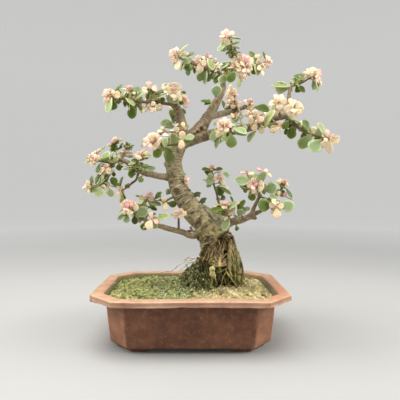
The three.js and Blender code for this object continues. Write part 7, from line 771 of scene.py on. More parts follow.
        [-95.1, -24.7, 166, -94.6, -24.8, 169.6, -46, 2.8, "g"], [-94.2, -28.1, 162.7, -91.8, -36.1, 152, -3, 11, "g"], [-89.6, -22.5, 161.4, -90.9, -26.4, 165, 39, 3.2, "c"], [-88, -19, 159.1, -88.3, -20.7, 155.1, 3, 3.7, "p"],
        [-85.6, -21.4, 161.4, -81.9, -23.6, 152.3, -11, 7.4, "g"], [-86.3, -21.1, 163.3, -82.9, -21.9, 165.5, -38, 3.2, "c"], [-87.8, -20, 166.1, -91.6, -20.9, 167.7, 66, 3.3, "l"], [-80.4, -15.2, 163, -83.2, -14.3, 173.8, 11, 8.5, "d"],
        [-84.8, -5, 180.3, -84, -3.7, 174.3, -31, 4.7, "d"], [-84.2, -7.7, 179.7, -82.8, -8, 182.1, -7, 2.3, "c"], [-103.5, -35, 163.9, -105.8, -34.2, 169.2, -13, 3.1, "c"], [-104.4, -35, 163.9, -110.8, -34.2, 160.6, 12, 2.6, "c"],
        [-103.5, -35, 162.1, -103.7, -34.2, 154.2, 5, 2.6, "c"], [-102.9, -35.4, 162.7, -102.8, -36, 164, -17, 2.4, "k"], [-104, -35, 164, -106.9, -34.2, 165.6, -18, 2.6, "c"], [-100.5, -31.4, 162.2, -101.5, -28.8, 158.8, -19, 3.9, "d"],
        [-95.1, -25.3, 163.3, -94.8, -16.4, 155.3, -23, 9.9, "g"], [-88.4, -17.1, 164.7, -86.3, -14.8, 166.8, 24, 2.9, "c"], [-89.2, -16.8, 166.4, -91.9, -14.5, 167.2, -4, 3, "l"], [-103.2, -32.9, 163.7, -104.3, -30.2, 167.8, 0, 2.8, "c"],
        [-103.9, -32.9, 163.7, -108.7, -30.2, 161.3, -1, 2.4, "c"], [-103.2, -32.9, 162.2, -103.2, -30.1, 155.4, -35, 2.4, "c"]]),
    ("branch_mid_left_lower", [[-57.56, -2.38, 178.67, 1.6], [-61.36, 7.6, 171.61, 1.44], [-66.59, 5.7, 167.02, 1.28], [-70.63, 0, 162.4, 1.12], [-74.39, -3.8, 159.88, 0.96], [-76.37, -7.6, 158.47, 0.8]], [
        [-77.7, -6.5, 162.7, -73.8, -6.6, 174.7, -71, 9.8, "d"], [-77.6, -7.6, 158.8, -80.2, -7.5, 164.3, 62, 5, "p"], [-77.2, -9.6, 157.8, -81, -11.1, 152.4, 66, 5.5, "p"], [-76.5, -7.6, 158.6, -77, -8.8, 159.4, 8, 1.8, "k"],
        [-74.8, -3.4, 161.8, -75.7, -5.1, 163.4, 3, 2.4, "c"], [-75.9, -7.6, 156.8, -75.3, -7.8, 145.1, -69, 9, "l"], [-74.5, -6.1, 156.8, -72.5, -7.5, 158.5, -11, 2.2, "l"], [-72.3, -1.1, 162.3, -68.2, -1.8, 167.5, -64, 5.1, "d"],
        [-76.9, -6, 158.1, -79.3, -2.3, 154.1, 30, 5, "p"], [-76.1, -6, 157.5, -73.6, -0.6, 149.9, 28, 8.1, "d"], [-72.1, 0.7, 162, -69.7, 4, 166, -11, 4.6, "d"]]),
    ("shoot_low_left_ball", [[-54.14, -13.55, 130.45, 1.8], [-56.88, -19, 132.43, 1.5], [-59.82, -20.9, 134.68, 1.2], [-63.19, -26.6, 139.72, 0.9]], [
        [-65.8, -30, 143.4, -67.2, -31.5, 149.6, 13, 7.2, "p"], [-63.6, -30.1, 144.5, -62.7, -32.9, 149.4, -5, 6.2, "p"], [-67.9, -29.8, 142.3, -71, -31.1, 146.2, -1, 6.2, "p"], [-68.5, -29.6, 140.2, -71.3, -30.9, 141.9, 1, 5.1, "p"],
        [-66.7, -29.9, 139.2, -70.1, -26.6, 134.1, 10, 4.6, "c"], [-63, -30.2, 139.2, -61.8, -31.5, 133.5, -10, 6.7, "c"], [-59.5, -29.9, 142.4, -53.2, -31.2, 140.2, -2, 6.7, "c"], [-61, -30, 143.9, -57.4, -31.4, 147.8, -3, 6.2, "p"],
        [-63.8, -32.3, 141.4, -65.1, -33.9, 145.6, 2, 5, "k"], [-61.6, -32.2, 141.9, -59.3, -33.3, 146.2, 12, 4.1, "k"], [-63.5, -30.2, 140.3, -65.2, -33.5, 138.2, -7, 4.6, "p"], [-66.2, -30.1, 141.3, -67.5, -32.6, 138.2, 12, 4.1, "p"],
        [-57.5, -21.7, 131.4, -45, -25.4, 140.9, -2, 12.2, "g"], [-55.9, -25.5, 144.3, -50, -25.4, 147.1, -59, 5, "l"], [-54.8, -21.5, 143.2, -50.6, -20.1, 147.7, -56, 4.8, "d"], [-67.1, -25.5, 134.8, -76.4, -25.4, 129, 60, 8.5, "d"],
        [-72.2, -26.6, 138, -76.5, -26.1, 135.7, 64, 3.7, "l"], [-65.7, -23.8, 133.1, -66.8, -27.9, 125.2, 4, 7.5, "g"], [-59.3, -19.9, 132.4, -59, -19.3, 123.1, -5, 7.1, "o"], [-54.7, -10.6, 128, -55.8, -8.2, 123.9, 4, 3.7, "g"],
        [-65.2, -23.4, 142.7, -65.8, -20.1, 147.8, 9, 6.5, "p"], [-67, -23.6, 141.8, -70, -20.4, 144.8, 3, 5.6, "p"], [-67.4, -23.7, 140.2, -69.3, -20.6, 141.5, -22, 4.6, "p"], [-63.1, -23.3, 139.3, -61.6, -20.1, 134.6, 29, 6, "c"],
        [-60.2, -23.4, 141.8, -55, -20.4, 140.4, 14, 6, "c"], [-61.4, -23.4, 143.1, -59, -20.2, 146.3, 12, 5.6, "p"], [-63.5, -23.3, 140.2, -64.4, -18.3, 138.5, -22, 4.2, "p"], [-65.6, -23.4, 141, -66.3, -19.1, 138.1, 11, 3.7, "p"],
        [-57.5, -17.3, 132.1, -50, -8.4, 140.4, -17, 11, "g"], [-58.6, -24.2, 142.3, -54.7, -21.3, 143.9, 10, 4.5, "d"], [-65.2, -23.3, 136.2, -70.8, -18.4, 132.4, -27, 7.6, "d"]]),
    ("shoot_low_left_crown", [[-48.66, -3.2, 127.16, 1.2], [-51.09, 11.4, 133.08, 1.1], [-52.78, 13.3, 141.15, 1], [-50.46, 9.5, 147.04, 0.9], [-49.09, 5.7, 150.25, 0.8]], [
        [-49.9, 4.4, 150.4, -58.9, 5.7, 151.1, -17, 4.5, "c"], [-48.1, 4.4, 149.9, -40.2, 5.7, 148.6, -4, 5.6, "c"], [-45.8, 3.9, 153.9, -44.2, 5, 157.6, 3, 6.2, "k"], [-48.1, 3.6, 152.2, -51.6, 3.1, 153.3, 16, 3.9, "k"],
        [-44.7, 4.5, 152.2, -40.9, 3.5, 150.4, 17, 5, "p"], [-49.3, 4.4, 150.4, -53.8, 3.9, 152.2, -1, 3.3, "c"], [-54.6, 5, 152.7, -62.3, 5.7, 153.2, -3, 2.6, "l"], [-47.3, 7.4, 146.4, -33.1, 4.2, 143.1, -62, 11.1, "l"],
        [-40.3, 5.7, 149.3, -33.3, 6.1, 158.2, -53, 8.7, "d"], [-36.5, 7.7, 151, -33.4, 8.6, 153.6, -18, 3.3, "c"], [-35.9, 7.7, 148.1, -31.8, 8.7, 149.4, -17, 3.3, "d"], [-47.9, 12.5, 141.1, -38.3, 11.3, 137, -59, 8, "d"],
        [-50.1, 2.1, 128.3, -46.7, 3.5, 133.5, -53, 4.9, "d"], [-46.3, 12.7, 140, -43.4, 12.9, 142.3, -43, 2.9, "l"], [-49.7, 7.4, 150.4, -56.3, 10.5, 149.2, 26, 4, "c"], [-48.3, 7.4, 149.9, -42.2, 10.6, 147.1, -18, 5, "c"],
        [-49.2, 7.4, 150.4, -52.6, 9.9, 152.7, 15, 3, "c"], [-48.4, 9.7, 147.1, -39.2, 17.9, 142.6, -3, 10, "l"], [-48.7, 14.6, 139.5, -46.8, 16.3, 141.3, -13, 2.6, "d"]]),
    ("shoot_low_left_front", [[-38.04, -6.92, 121.72, 1.2], [-38.83, -19, 123.81, 1], [-39.41, -26.6, 128.1, 0.8]], [
        [-40.1, -28.6, 128.7, -44.5, -30.8, 119.2, 6, 9, "c"], [-40.1, -28.6, 129.7, -41.8, -30.3, 137.2, 38, 6.3, "p"], [-38.7, -28.6, 128.7, -33, -30, 125.4, -17, 5.3, "p"], [-38.4, -25.1, 127.4, -36.2, -25.1, 118.8, -7, 6.8, "g"],
        [-36.1, -26.6, 129.6, -22, -28.1, 133, -55, 11.1, "l"], [-46.9, -24.6, 126.3, -50.9, -21.2, 117.2, 3, 7.9, "d"], [-41.6, -24.6, 132.6, -36.2, -23.3, 135, -54, 4.7, "d"], [-39.7, -28.6, 129.2, -39.9, -29.8, 130.3, 1, 2, "k"],
        [-39.9, -25, 128.4, -44.3, -19.2, 122.4, -10, 8.1, "c"], [-39.9, -25, 129.1, -41.3, -20.7, 134, -8, 5.7, "p"]]),
    ("shoot_trunk_left", [[-18.96, -1.69, 151.86, 1.4], [-22.42, -3.8, 150.34, 1.2], [-26.92, -7.6, 147.6, 1], [-29.42, -11.4, 146.02, 0.8]], [
        [-27.2, -10.2, 147.8, -29.4, -15.1, 151.7, 11, 6.1, "c"], [-27.7, -12, 145.7, -27.3, -13.8, 137.5, -29, 6.8, "c"], [-25.4, -5, 145.5, -15.7, -2.2, 143.2, -5, 8.1, "d"], [-30.4, -11.4, 147.8, -35, -11, 149, 51, 3.7, "d"],
        [-27.5, -7.5, 147.4, -29.3, -3.1, 150.2, 23, 5.5, "c"], [-28.3, -9.5, 145.8, -28.6, -5, 140.4, 27, 6.1, "c"]]),
    ("leaf_trunk_left", [[-20.45, 10.55, 157.22, 0.9], [-21.51, 11.4, 156.87, 0.7]], [
        [-21.8, 13.3, 156.8, -29.1, 18.8, 158.8, 2, 7.5, "d"]]),
    ("shoot_low_left_upright", [[-13.18, -6.56, 118.46, 1.5], [-13.07, -7.6, 122.94, 1.3], [-12.94, -11.4, 129.82, 1.1], [-11.84, -15.2, 133.42, 0.9]], [
        [-12.7, -16.5, 134.4, -21.7, -15.2, 133.2, 11, 4.8, "c"], [-12.1, -16.5, 135.4, -15.7, -16.6, 138.9, -8, 4.2, "p"], [-11.1, -16.5, 136, -9.8, -17.4, 140.1, -18, 4.8, "p"], [-10, -16.5, 134.9, -3.8, -15.2, 134.3, -9, 5.3, "c"],
        [-11, -16.5, 133.8, -9.9, -18.2, 129.4, -3, 6.9, "c"], [-11.6, -17.3, 134.4, -12.3, -18.2, 135.7, 3, 2.5, "k"], [-6.3, -16.1, 133.2, -2.6, -15.2, 131.6, 11, 2.6, "l"], [-12.1, -13.5, 135, -15.6, -11.4, 137.4, 26, 3.8, "p"],
        [-11.2, -13.5, 135.5, -9.7, -10.7, 138.9, 21, 4.3, "p"], [-7.4, -13.8, 133.3, -4.8, -11, 131.3, -21, 2.3, "l"]]),
    ("bud_trunk_base", [[4.44, 1.87, 111.44, 0.9], [2.27, 9.5, 114, 0.7]], [
        [2, 9.5, 114.6, -1.1, 9.8, 118.4, 35, 4, "p"], [2, 8.7, 113.5, -5.1, 9.5, 113.2, 64, 5.4, "d"], [6.5, 4, 107.1, 10, 5.1, 103, -43, 4, "d"]]),
    ("bud_trunk_right_top", [[-7.75, -4.22, 169.88, 0.9], [-6.25, -5.7, 169.38, 0.7]], [
        [-10.9, -2.1, 176.2, -4.5, -0.7, 177.3, -40, 5, "g"], [-6.2, -5.7, 169.1, -1.1, -6.1, 172.7, -36, 5.2, "p"], [-5.2, -5.7, 168.6, -2.1, -8.9, 166.3, -6, 4.3, "c"], [-5.3, -7.6, 169.6, -4.8, -9.3, 171.1, -7, 2.2, "k"],
        [-6.2, -4.2, 169.2, -3, -1.2, 172.4, -19, 4.7, "p"]]),
    ("leaf_trunk_right_mid", [[6.4, 3.8, 152.96, 0.9], [8.9, 3.8, 152.96, 0.7]], [
        [0.3, 3.8, 152.8, 11.4, 4.9, 156.9, -62, 9.1, "o"], [-2.7, -0.7, 160.5, 0.3, -5.5, 158.9, -9, 2.6, "d"]]),
    ("leaf_trunk_right_low", [[13.52, 12.96, 144.94, 0.9], [15.14, 14.52, 146.02, 0.7]], [
        [8, 13, 141, 18.1, 12.9, 150.9, -62, 10.8, "o"]]),
    ("shoot_centre", [[32.13, 11.58, 134.2, 1.7], [32.9, 11.4, 140.32, 1.55], [31.29, 15.2, 148.76, 1.4], [29.57, 15.2, 156.37, 1.25], [26.91, 15.2, 164.93, 1.1], [26.01, 11.4, 172.37, 0.95], [24.19, 7.6, 180.43, 0.8]], [
        [23.4, 7.6, 183.2, 12.2, 6.8, 183.4, 58, 8.6, "d"], [25.5, 7.6, 182.5, 36.2, 6.8, 183.4, -56, 8.3, "d"], [23.4, 7.6, 184.7, 17.4, 7.1, 185.3, 65, 4.9, "c"], [24.6, 7.6, 184.7, 29.2, 7.8, 184.8, -54, 3.8, "c"],
        [23.6, 7.6, 185.7, 23.3, 4.9, 187.9, 3, 5.4, "k"], [23.3, 5.6, 181.8, 23.4, 3.7, 183.3, -2, 3, "k"], [25.5, 8.2, 174.8, 19.3, 3.7, 176.9, 2, 6.4, "g"], [28.5, 10, 171.2, 16.4, 5.1, 170.1, 0, 10.2, "g"],
        [17.8, 11.8, 171.3, 13.5, 11.4, 171.2, 61, 3.3, "l"], [22.1, 14.4, 166.1, 17.8, 11.7, 163.3, 11, 4.6, "g"], [33.8, 17.8, 149.5, 29.6, 21.1, 150.4, 12, 4.6, "d"], [34.5, 17.4, 148.5, 40.1, 21.7, 152.9, -3, 6.5, "d"],
        [31.5, 8.6, 173.9, 25.1, 7.5, 172.8, -14, 6.4, "p"], [32.9, 8.6, 175.8, 34.9, 7.8, 180.8, 5, 5.4, "p"], [33.8, 8.6, 173.9, 37.8, 7, 172.9, 10, 4.5, "c"], [34.8, 8.7, 172.1, 38.1, 11, 163.3, -12, 5.4, "c"],
        [31.8, 7.2, 172.9, 31.7, 5.3, 175.7, 4, 3.2, "k"], [36, 10.8, 180.1, 44.9, 13, 175.1, -39, 7.7, "g"], [32.4, 15.2, 163.8, 47.1, 15.3, 155.2, -69, 13.1, "d"], [39.6, 15.2, 164.7, 42.5, 14.6, 160.7, -32, 4.1, "c"],
        [23.7, 9.2, 182.1, 15.8, 14.7, 180, -1, 7.8, "d"], [23.7, 9.2, 183, 19.7, 10.6, 182.7, 31, 4.4, "c"], [21.1, 12.9, 171.9, 18.4, 15.1, 172.6, -29, 3, "d"], [24, 16.2, 166.2, 20.9, 19.9, 164.2, 31, 4.1, "d"],
        [30.3, 13.1, 173.9, 25.6, 16.1, 173.3, 32, 5.7, "p"], [31.4, 12.1, 175.6, 32.9, 14.9, 179.8, 32, 4.9, "p"], [33, 14.1, 172.1, 35.3, 18.1, 165.5, 33, 4.9, "c"], [30.6, 17.1, 163.2, 38.3, 24.8, 155.4, -10, 11.8, "d"]]),
    ("shoot_right_low_front", [[45.16, -1.4, 125.32, 1.3], [41.23, -19, 129.05, 1.13], [37.01, -26.6, 134.69, 0.97], [35.37, -30.4, 140.83, 0.8]], [
        [33.2, -32.4, 140.7, 19.9, -35.4, 137.5, 65, 10.5, "d"], [27.6, -28.4, 144, 24.2, -27.5, 141.4, 59, 3.5, "c"], [38.5, -30.9, 139, 47.6, -33.8, 147.9, -64, 10, "l"], [43.7, -28.4, 146.6, 41.4, -26.8, 153.2, 59, 5.5, "d"],
        [47.7, -30.4, 144.9, 50.1, -30.2, 146.9, -28, 2.6, "p"], [35.5, -25.8, 132.8, 31.1, -29.6, 137.6, 4, 5.8, "d"], [38.8, -27.3, 134.2, 45.1, -29.1, 139.8, -48, 7, "c"], [39, -25.8, 132.8, 35.6, -27.1, 127.7, 58, 5, "c"],
        [40.3, -25.1, 132.7, 40.4, -26.6, 134.5, -9, 2.1, "k"], [41, -22.8, 130.9, 34.6, -26.3, 116.8, 52, 12, "l"], [44.3, -24.3, 134.4, 46.3, -26.2, 134.2, -11, 2.6, "k"], [44.7, -20.5, 133.3, 50, -20.2, 129.8, -52, 4.8, "g"],
        [34, -33.2, 145.8, 29.5, -33.1, 147, -7, 2.5, "k"], [34.9, -32.2, 145, 40.8, -32.8, 144.6, 3, 3, "c"], [34.9, -32.2, 143.3, 36.5, -33.5, 139.9, 9, 3, "p"], [33.2, -33.2, 145, 38.2, -33.7, 147.7, -14, 3, "k"],
        [31.6, -32, 142.4, 34.8, -33.9, 140.8, -6, 3.9, "c"], [34.1, -28.8, 140.8, 24.8, -21.1, 140.5, -23, 9.4, "d"], [37.4, -27.8, 139.1, 42.4, -20.6, 145.1, -21, 9, "l"], [38.2, -24.4, 134.3, 41.7, -19.7, 139.3, 27, 6.3, "c"],
        [38.6, -23, 133, 36.4, -19.6, 129.9, 30, 4.5, "c"], [35, -28.3, 144.1, 40, -25.9, 143.4, -2, 2.7, "c"], [32.3, -28.5, 142.1, 34.5, -24.8, 140.6, 15, 3.5, "c"]]),
    ("shoot_right_low_mid", [[57.13, -3.19, 128.57, 1], [54.19, -17.1, 132.45, 0.85], [52.18, -19, 136.93, 0.7]], [
        [50.4, -19.3, 131.5, 53.7, -25.1, 139.6, -1, 8.6, "g"], [50.4, -17.1, 138.4, 57, -14.3, 149.7, -62, 9.9, "d"], [49.5, -17.1, 140.2, 52.1, -16.1, 144.9, -9, 4.2, "d"], [56.2, -18.4, 136.7, 62.4, -18.9, 141.5, -36, 6.1, "l"],
        [51.7, -16, 132.4, 54.8, -9.2, 137.1, -12, 7.7, "g"], [54.9, -16.8, 136.2, 58, -13, 139.9, -31, 5.5, "l"]]),
    ("leaf_right_low_under", [[50.8, 3.92, 120.49, 0.9], [51.52, 4.29, 118.12, 0.7]], [
        [50.7, 3.9, 121.3, 52.2, 4.6, 113.9, -23, 5.7, "d"]]),
    ("branch_right_low_top", [[72.78, -16.71, 155.56, 2], [71.44, -19, 157.94, 1.63], [69.55, -24.7, 160.91, 1.27], [66.57, -30.4, 163.11, 0.9]], [
        [63.3, -33.9, 166.9, 63.1, -36.7, 171.8, -10, 4.9, "c"], [62.4, -34, 164.4, 56.2, -35.2, 164.3, -1, 6.6, "p"], [63.2, -34, 165.2, 58.5, -36.6, 168.7, -8, 4.9, "p"], [64.1, -34, 161.8, 64.2, -33.5, 154.9, -9, 5.6, "p"],
        [66.6, -34, 166.1, 66.3, -35.7, 171.4, -11, 5.7, "p"], [67.6, -34, 166.1, 73.5, -35.2, 167, -5, 6.6, "p"], [68.5, -33.9, 163.5, 74.8, -32.6, 161, 18, 6.6, "c"], [69.9, -33.6, 161.8, 71.7, -34.9, 157.6, 18, 5.7, "c"],
        [64.9, -34.1, 163.5, 61.1, -37, 160.1, 15, 5.6, "p"], [66.2, -36.1, 163.5, 64.8, -38.9, 166.1, -14, 4.7, "k"], [62, -32.5, 169.5, 44.3, -36.3, 167.5, 30, 13.3, "g"], [57.2, -30.4, 177.2, 49.2, -29.6, 176.9, 66, 6.7, "p"],
        [57.2, -30.4, 177.7, 57.8, -32.3, 179.6, -11, 2.5, "k"], [58.1, -30.4, 176.7, 64.2, -36.6, 175.5, -41, 5.1, "c"], [74.1, -30.4, 167.9, 69.2, -41.9, 177.2, 5, 13.3, "g"], [73.2, -30.4, 178.9, 67.5, -29.7, 181.7, 43, 5.2, "k"],
        [74.2, -30.4, 178.9, 79.4, -31, 179.1, -28, 4.3, "p"], [77.5, -30.4, 177.2, 83, -29.9, 172.8, -49, 5.8, "c"], [73.4, -30.4, 178.1, 72.3, -32.4, 179.8, 4, 2.5, "k"], [76.9, -21.3, 159.5, 88.9, -29.3, 162.8, -9, 13.2, "g"],
        [60.1, -28.3, 160.2, 54.2, -25.1, 158.6, 12, 5.8, "d"], [63.4, -29.3, 159.4, 62.5, -28.4, 148.1, 17, 8.7, "d"], [72, -18.1, 157.1, 71.1, -18.4, 154.3, 1, 2.3, "l"], [63.9, -27.2, 166.1, 63.9, -24, 170.4, -20, 4.4, "c"],
        [63.2, -27.1, 164.1, 58.7, -24, 165, 19, 5.9, "p"], [64.6, -27.1, 162.1, 63.5, -24.7, 157.2, 8, 5, "p"], [66.6, -27.1, 165.5, 66.9, -23.5, 169.5, 8, 5.2, "p"], [69.2, -27.3, 162.1, 70, -24.2, 158.8, 16, 5.2, "c"],
        [65.2, -27, 163.4, 62.8, -22.4, 160.6, 22, 5, "p"], [63.8, -30.5, 166.9, 51.4, -21.8, 163.1, -12, 12, "d"], [71.2, -28.7, 172.6, 74.9, -26.1, 172, -9, 3.9, "p"], [73.1, -28.5, 171.6, 76.8, -25.1, 168.2, -35, 5.2, "c"],
        [74.6, -17.5, 159.1, 82.9, -7.9, 161.1, 15, 11.9, "d"]]),
    ("shoot_right_low_right", [[83.03, -16.59, 148.57, 1.2], [85.75, -22.8, 145.34, 1], [87.83, -30.4, 141.68, 0.8]], [
        [82.9, -25.7, 142.2, 68.2, -37.5, 144.8, 4, 14.5, "d"], [87.5, -30.9, 143.2, 82.6, -32.7, 150, 33, 6.7, "c"], [86.7, -30.9, 142.4, 79.8, -32.2, 144.3, 3, 5.8, "c"], [88.6, -32.4, 143.3, 94.2, -36.2, 142.4, -6, 6.6, "c"],
        [88, -32.4, 140.7, 87.5, -34.7, 130.2, 19, 8.7, "c"], [87.7, -32.4, 141.6, 87.7, -34.1, 143.3, 9, 2.2, "k"], [91.9, -30.4, 145.8, 103.7, -38.1, 140.8, -11, 13.4, "g"], [92.1, -25.8, 149.1, 81.1, -25.9, 153.2, 44, 9.1, "g"],
        [84.3, -23.9, 142.9, 74.2, -11.3, 144.5, -34, 13, "d"], [87.1, -28.7, 142.1, 83.1, -24.8, 144.1, -17, 5.2, "c"], [88, -28.8, 141.1, 85.9, -22.9, 133.9, -21, 7.9, "c"], [90.2, -28.1, 144.2, 98.5, -18.5, 141.3, 14, 12.1, "g"],
        [89.8, -23.3, 147.2, 81.6, -18, 148.4, -26, 8.1, "d"]]),
    ("shoot_right_low_end", [[82.88, -13.62, 150.26, 1], [87.9, -7.6, 152.65, 0.94], [93.72, -3.8, 153.36, 0.88], [99.64, 0, 158.12, 0.82], [102.39, 0, 163.63, 0.76], [101.45, -3.8, 167.18, 0.7]], [
        [104.4, -2, 161.6, 97.9, -3.8, 167, 35, 6.3, "d"], [100.3, -3.8, 167.9, 93.7, -3.8, 169.9, 62, 5.6, "c"], [101.9, -3.8, 168.4, 105.2, -6.4, 170, -5, 4.4, "k"], [103.9, -3.8, 167, 107, -4.5, 163.2, -9, 4.2, "c"],
        [101, -3.8, 168.3, 99.2, -6.6, 170.9, 2, 3.6, "c"], [106.1, 0, 160.9, 111.9, -1, 150.6, -58, 9.2, "d"], [110.2, 0, 149.7, 113.5, 0.1, 148.8, -14, 2.8, "k"], [97.4, -4.3, 153.7, 94.3, -7.5, 158.4, 9, 5.3, "c"],
        [101, 0.1, 152.1, 102.4, 1.9, 159.8, -29, 6, "d"], [103.6, -0.8, 152.1, 104.7, -2.2, 157.6, -32, 4.6, "k"], [103.4, 1.6, 162.1, 99.5, 6.3, 166.8, 31, 5.6, "d"], [100.7, -2.3, 167.6, 96.1, 0.8, 169.3, 2, 5, "c"],
        [103, -1.9, 166.9, 105.8, 0.7, 164.8, -11, 3.8, "c"], [101.2, -2.3, 167.8, 100.2, 0.5, 169.7, 34, 3.3, "c"]]),
    ("shoot_mid_small", [[56.08, 39.49, 256.07, 1.1], [54.98, 30.4, 252.01, 0.9], [51.17, 15.2, 245.62, 0.7]], [
        [50.8, 13.3, 244.8, 44.6, 9.4, 243.6, 8, 6.1, "c"], [50.2, 13.3, 244.5, 50.6, 11.3, 247.2, -11, 3.3, "k"], [51.4, 13.3, 244.8, 55.5, 9.8, 243.9, 0, 5, "c"], [61, 23.8, 244.9, 48.8, 20.9, 238.3, 60, 10.3, "g"],
        [51.3, 16.7, 245.1, 54.1, 20.3, 244.4, -9, 4.5, "c"], [58, 25.5, 246.6, 48.9, 33.2, 244.3, -34, 9.3, "g"]]),
]

# ------------------------------------------------------------------ leaves and shoots

# centre, rim and base colour of each kind of leaf
LEAF = {
    "g": (srgb(140, 156, 106), srgb(196, 204, 150), srgb(156, 166, 100)),
    "d": (srgb(80, 98, 22), srgb(124, 142, 62), srgb(102, 118, 34)),
    "l": (srgb(154, 168, 106), srgb(210, 212, 156), srgb(180, 184, 110)),
    "o": (srgb(66, 74, 8), srgb(98, 108, 26), srgb(88, 96, 18)),
    "c": (srgb(236, 216, 176), srgb(242, 216, 190), srgb(222, 212, 154)),
    "p": (srgb(246, 224, 196), srgb(238, 150, 158), srgb(238, 218, 176)),
    "k": (srgb(244, 188, 180), srgb(226, 100, 132), srgb(240, 182, 172)),
}


def foot_on(stem, p):
    """Nearest point of the stem to p, not at its very start or end."""
    best = None
    last = len(stem) - 2
    for i in range(len(stem) - 1):
        a, b = stem[i], stem[i + 1]
        ab = b[:3] - a[:3]
        t = float(np.dot(p - a[:3], ab) / max(np.dot(ab, ab), 1e-9))
        t = min(max(t, 0.25 if i == 0 else 0.0), 0.82 if i == last else 1.0)
        q = a + (b - a) * t
        e = np.linalg.norm(p - q[:3])
        if best is None or e < best[0]:
            best = (e, q, unit(ab))
    return best


def leaf_template(ts, sides):
    ts = np.array(ts)
    ang = np.arange(sides) / sides * 2 * math.pi
    cx = np.sign(np.cos(ang)) * np.abs(np.cos(ang)) ** 0.9
    cz = np.sign(np.sin(ang)) * np.abs(np.sin(ang)) ** 0.95
    width = np.sqrt((np.sin(np.pi * ts ** 1.42) ** 0.62) ** 2 + (0.17 * (1 - ts) ** 2) ** 2)
    thick = (np.sin(np.pi * np.clip(ts * 0.94 + 0.06, 0, 1)) ** 0.42) * (1.1 - 0.3 * ts)
    n = len(ts)
    i, j = np.meshgrid(np.arange(n - 1), np.arange(sides), indexing="ij")
    k = (j + 1) % sides
    Q = np.stack([i * sides + j, i * sides + k, (i + 1) * sides + k, (i + 1) * sides + j], -1).reshape(-1, 4)
    j = np.arange(sides)
    k = (j + 1) % sides
    T = np.vstack([np.stack([np.full(sides, n * sides), k, j], 1), np.stack([np.full(sides, n * sides + 1), (n - 1) * sides + j, (n - 1) * sides + k], 1)])
    return ts, cx, cz, width, thick, Q, T


BIG = leaf_template([0.0, 0.08, 0.21, 0.37, 0.53, 0.69, 0.83, 0.925, 0.975], 12)
SMALL = leaf_template([0.0, 0.13, 0.33, 0.55, 0.77, 0.93], 8)


def add_leaf(bag, base, tip, roll, w, kind, rng, shade_factor=1.0, toward=-1.0):
    base, tip = np.array(base), np.array(tip)
    d = tip - base
    L = np.linalg.norm(d)
    axis = d / L
    face = np.array([0.0, toward, 0.0])
    face = face - axis * face.dot(axis)
    if np.linalg.norm(face) < 0.05:
        face = np.array([0.0, 0.0, 1.0]) - axis * axis[2]
    face = unit(face)
    side = np.cross(axis, face)
    r = math.radians(roll)
    n = face * math.cos(r) + side * math.sin(r)
    s = np.cross(axis, n)
    ts, cx, cz, width, thick, Q, T = BIG if w >= (6.6 if toward < 0 else 99) else SMALL
    half = w / 2
    th = min(1.15, 0.10 * w + 0.24)
    if kind == "k":
        th = min(1.0, 0.2 * w + 0.2)
    cup = rng.uniform(0.02, 0.20) * (1.3 if kind in "cpk" else 1.0)
    bend = rng.uniform(-0.10, 0.06)
    lean = rng.uniform(-0.10, 0.10)
    x = width[:, None] * cx[None, :]
    z = thick[:, None] * cz[None, :]
    t = ts[:, None]
    wob = 1 + 0.05 * np.sin(t * 7 + rng.uniform(0, 6) + 2.2 * np.sign(cx)[None, :])
    X = half * x * wob + lean * L * (t - 0.3) ** 2
    Z = th * z + cup * half * x ** 2 * 1.4 + bend * L * (t ** 2 - 0.3 * t) - 0.03 * half * np.exp(-(x / 0.12) ** 2) * (cz > 0)
    V = base + axis * (L * t)[..., None] + s * X[..., None] + n * Z[..., None]
    V = V.reshape(-1, 3)
    first = base - axis * 0.02 * L
    end = base + axis * L + s * (lean * L * 0.49) + n * (bend * L * 0.7)
    V = np.vstack([V, first, end])
    # how near the rim each vertex is, 1 on the rim
    edge = np.minimum(width[:, None] * half * (1 - np.abs(cx)[None, :]), (1 - t) * L * 0.8) / half
    m = 1 - smooth(0.03, 0.26 if kind in "pk" else 0.32, edge)
    tt = np.broadcast_to(t, m.shape)
    m = np.concatenate([m.ravel(), [0.2, 1]])
    tt = np.concatenate([tt.ravel(), [0, 1]])
    under = np.concatenate([np.broadcast_to(cz[None, :] < 0, (len(ts), len(cx))).ravel(), [False, False]])
    c0, c1, c2 = LEAF[kind]
    tone = rng.uniform(0.86, 1.12)
    warm = rng.uniform(-1, 1)
    shift = np.array([1 + 0.05 * warm, 1.0, 1 - 0.08 * warm])
    c = mix(c0, c1, m * (0.85 if kind in "gdlo" else 0.7))
    if kind in "pc":
        c = mix(c, LEAF["p"][1], smooth(0.72, 1.0, tt) * (0.42 if kind == "p" else 0.14) * rng.uniform(0.2, 1.3))
    c = mix(c, c2, (1 - smooth(0.0, 0.38, tt)) * 0.8)
    if kind == "p":
        c = mix(c, srgb(222, 92, 122), (1 - smooth(0.02, 0.22, tt)) * rng.uniform(0.0, 0.9))
    if kind in "gdlo":
        c = mix(c, c * [1.25, 1.25, 1.4] + 0.01, under * 0.5)
    # a factor below 1 darkens the leaf as painted shade
    c = np.clip(c * shift * tone * shade_factor, 0, 0.95)
    bag.add(V, Q, T, mat=0, col=c, seed=rng.random())


def stem_colour(r, along, rng_seed, V):
    old = srgb(134, 118, 92)
    mid = srgb(122, 102, 76)
    young = srgb(158, 134, 98)
    a = smooth(0.7, 1.2, r)
    b = smooth(1.4, 2.4, r)
    c = mix(mix(young, mid, a), old, b)
    k = 0.5 + 0.5 * noise(V, 2.2, rng_seed)
    return c * (0.78 + 0.42 * k)[:, None]


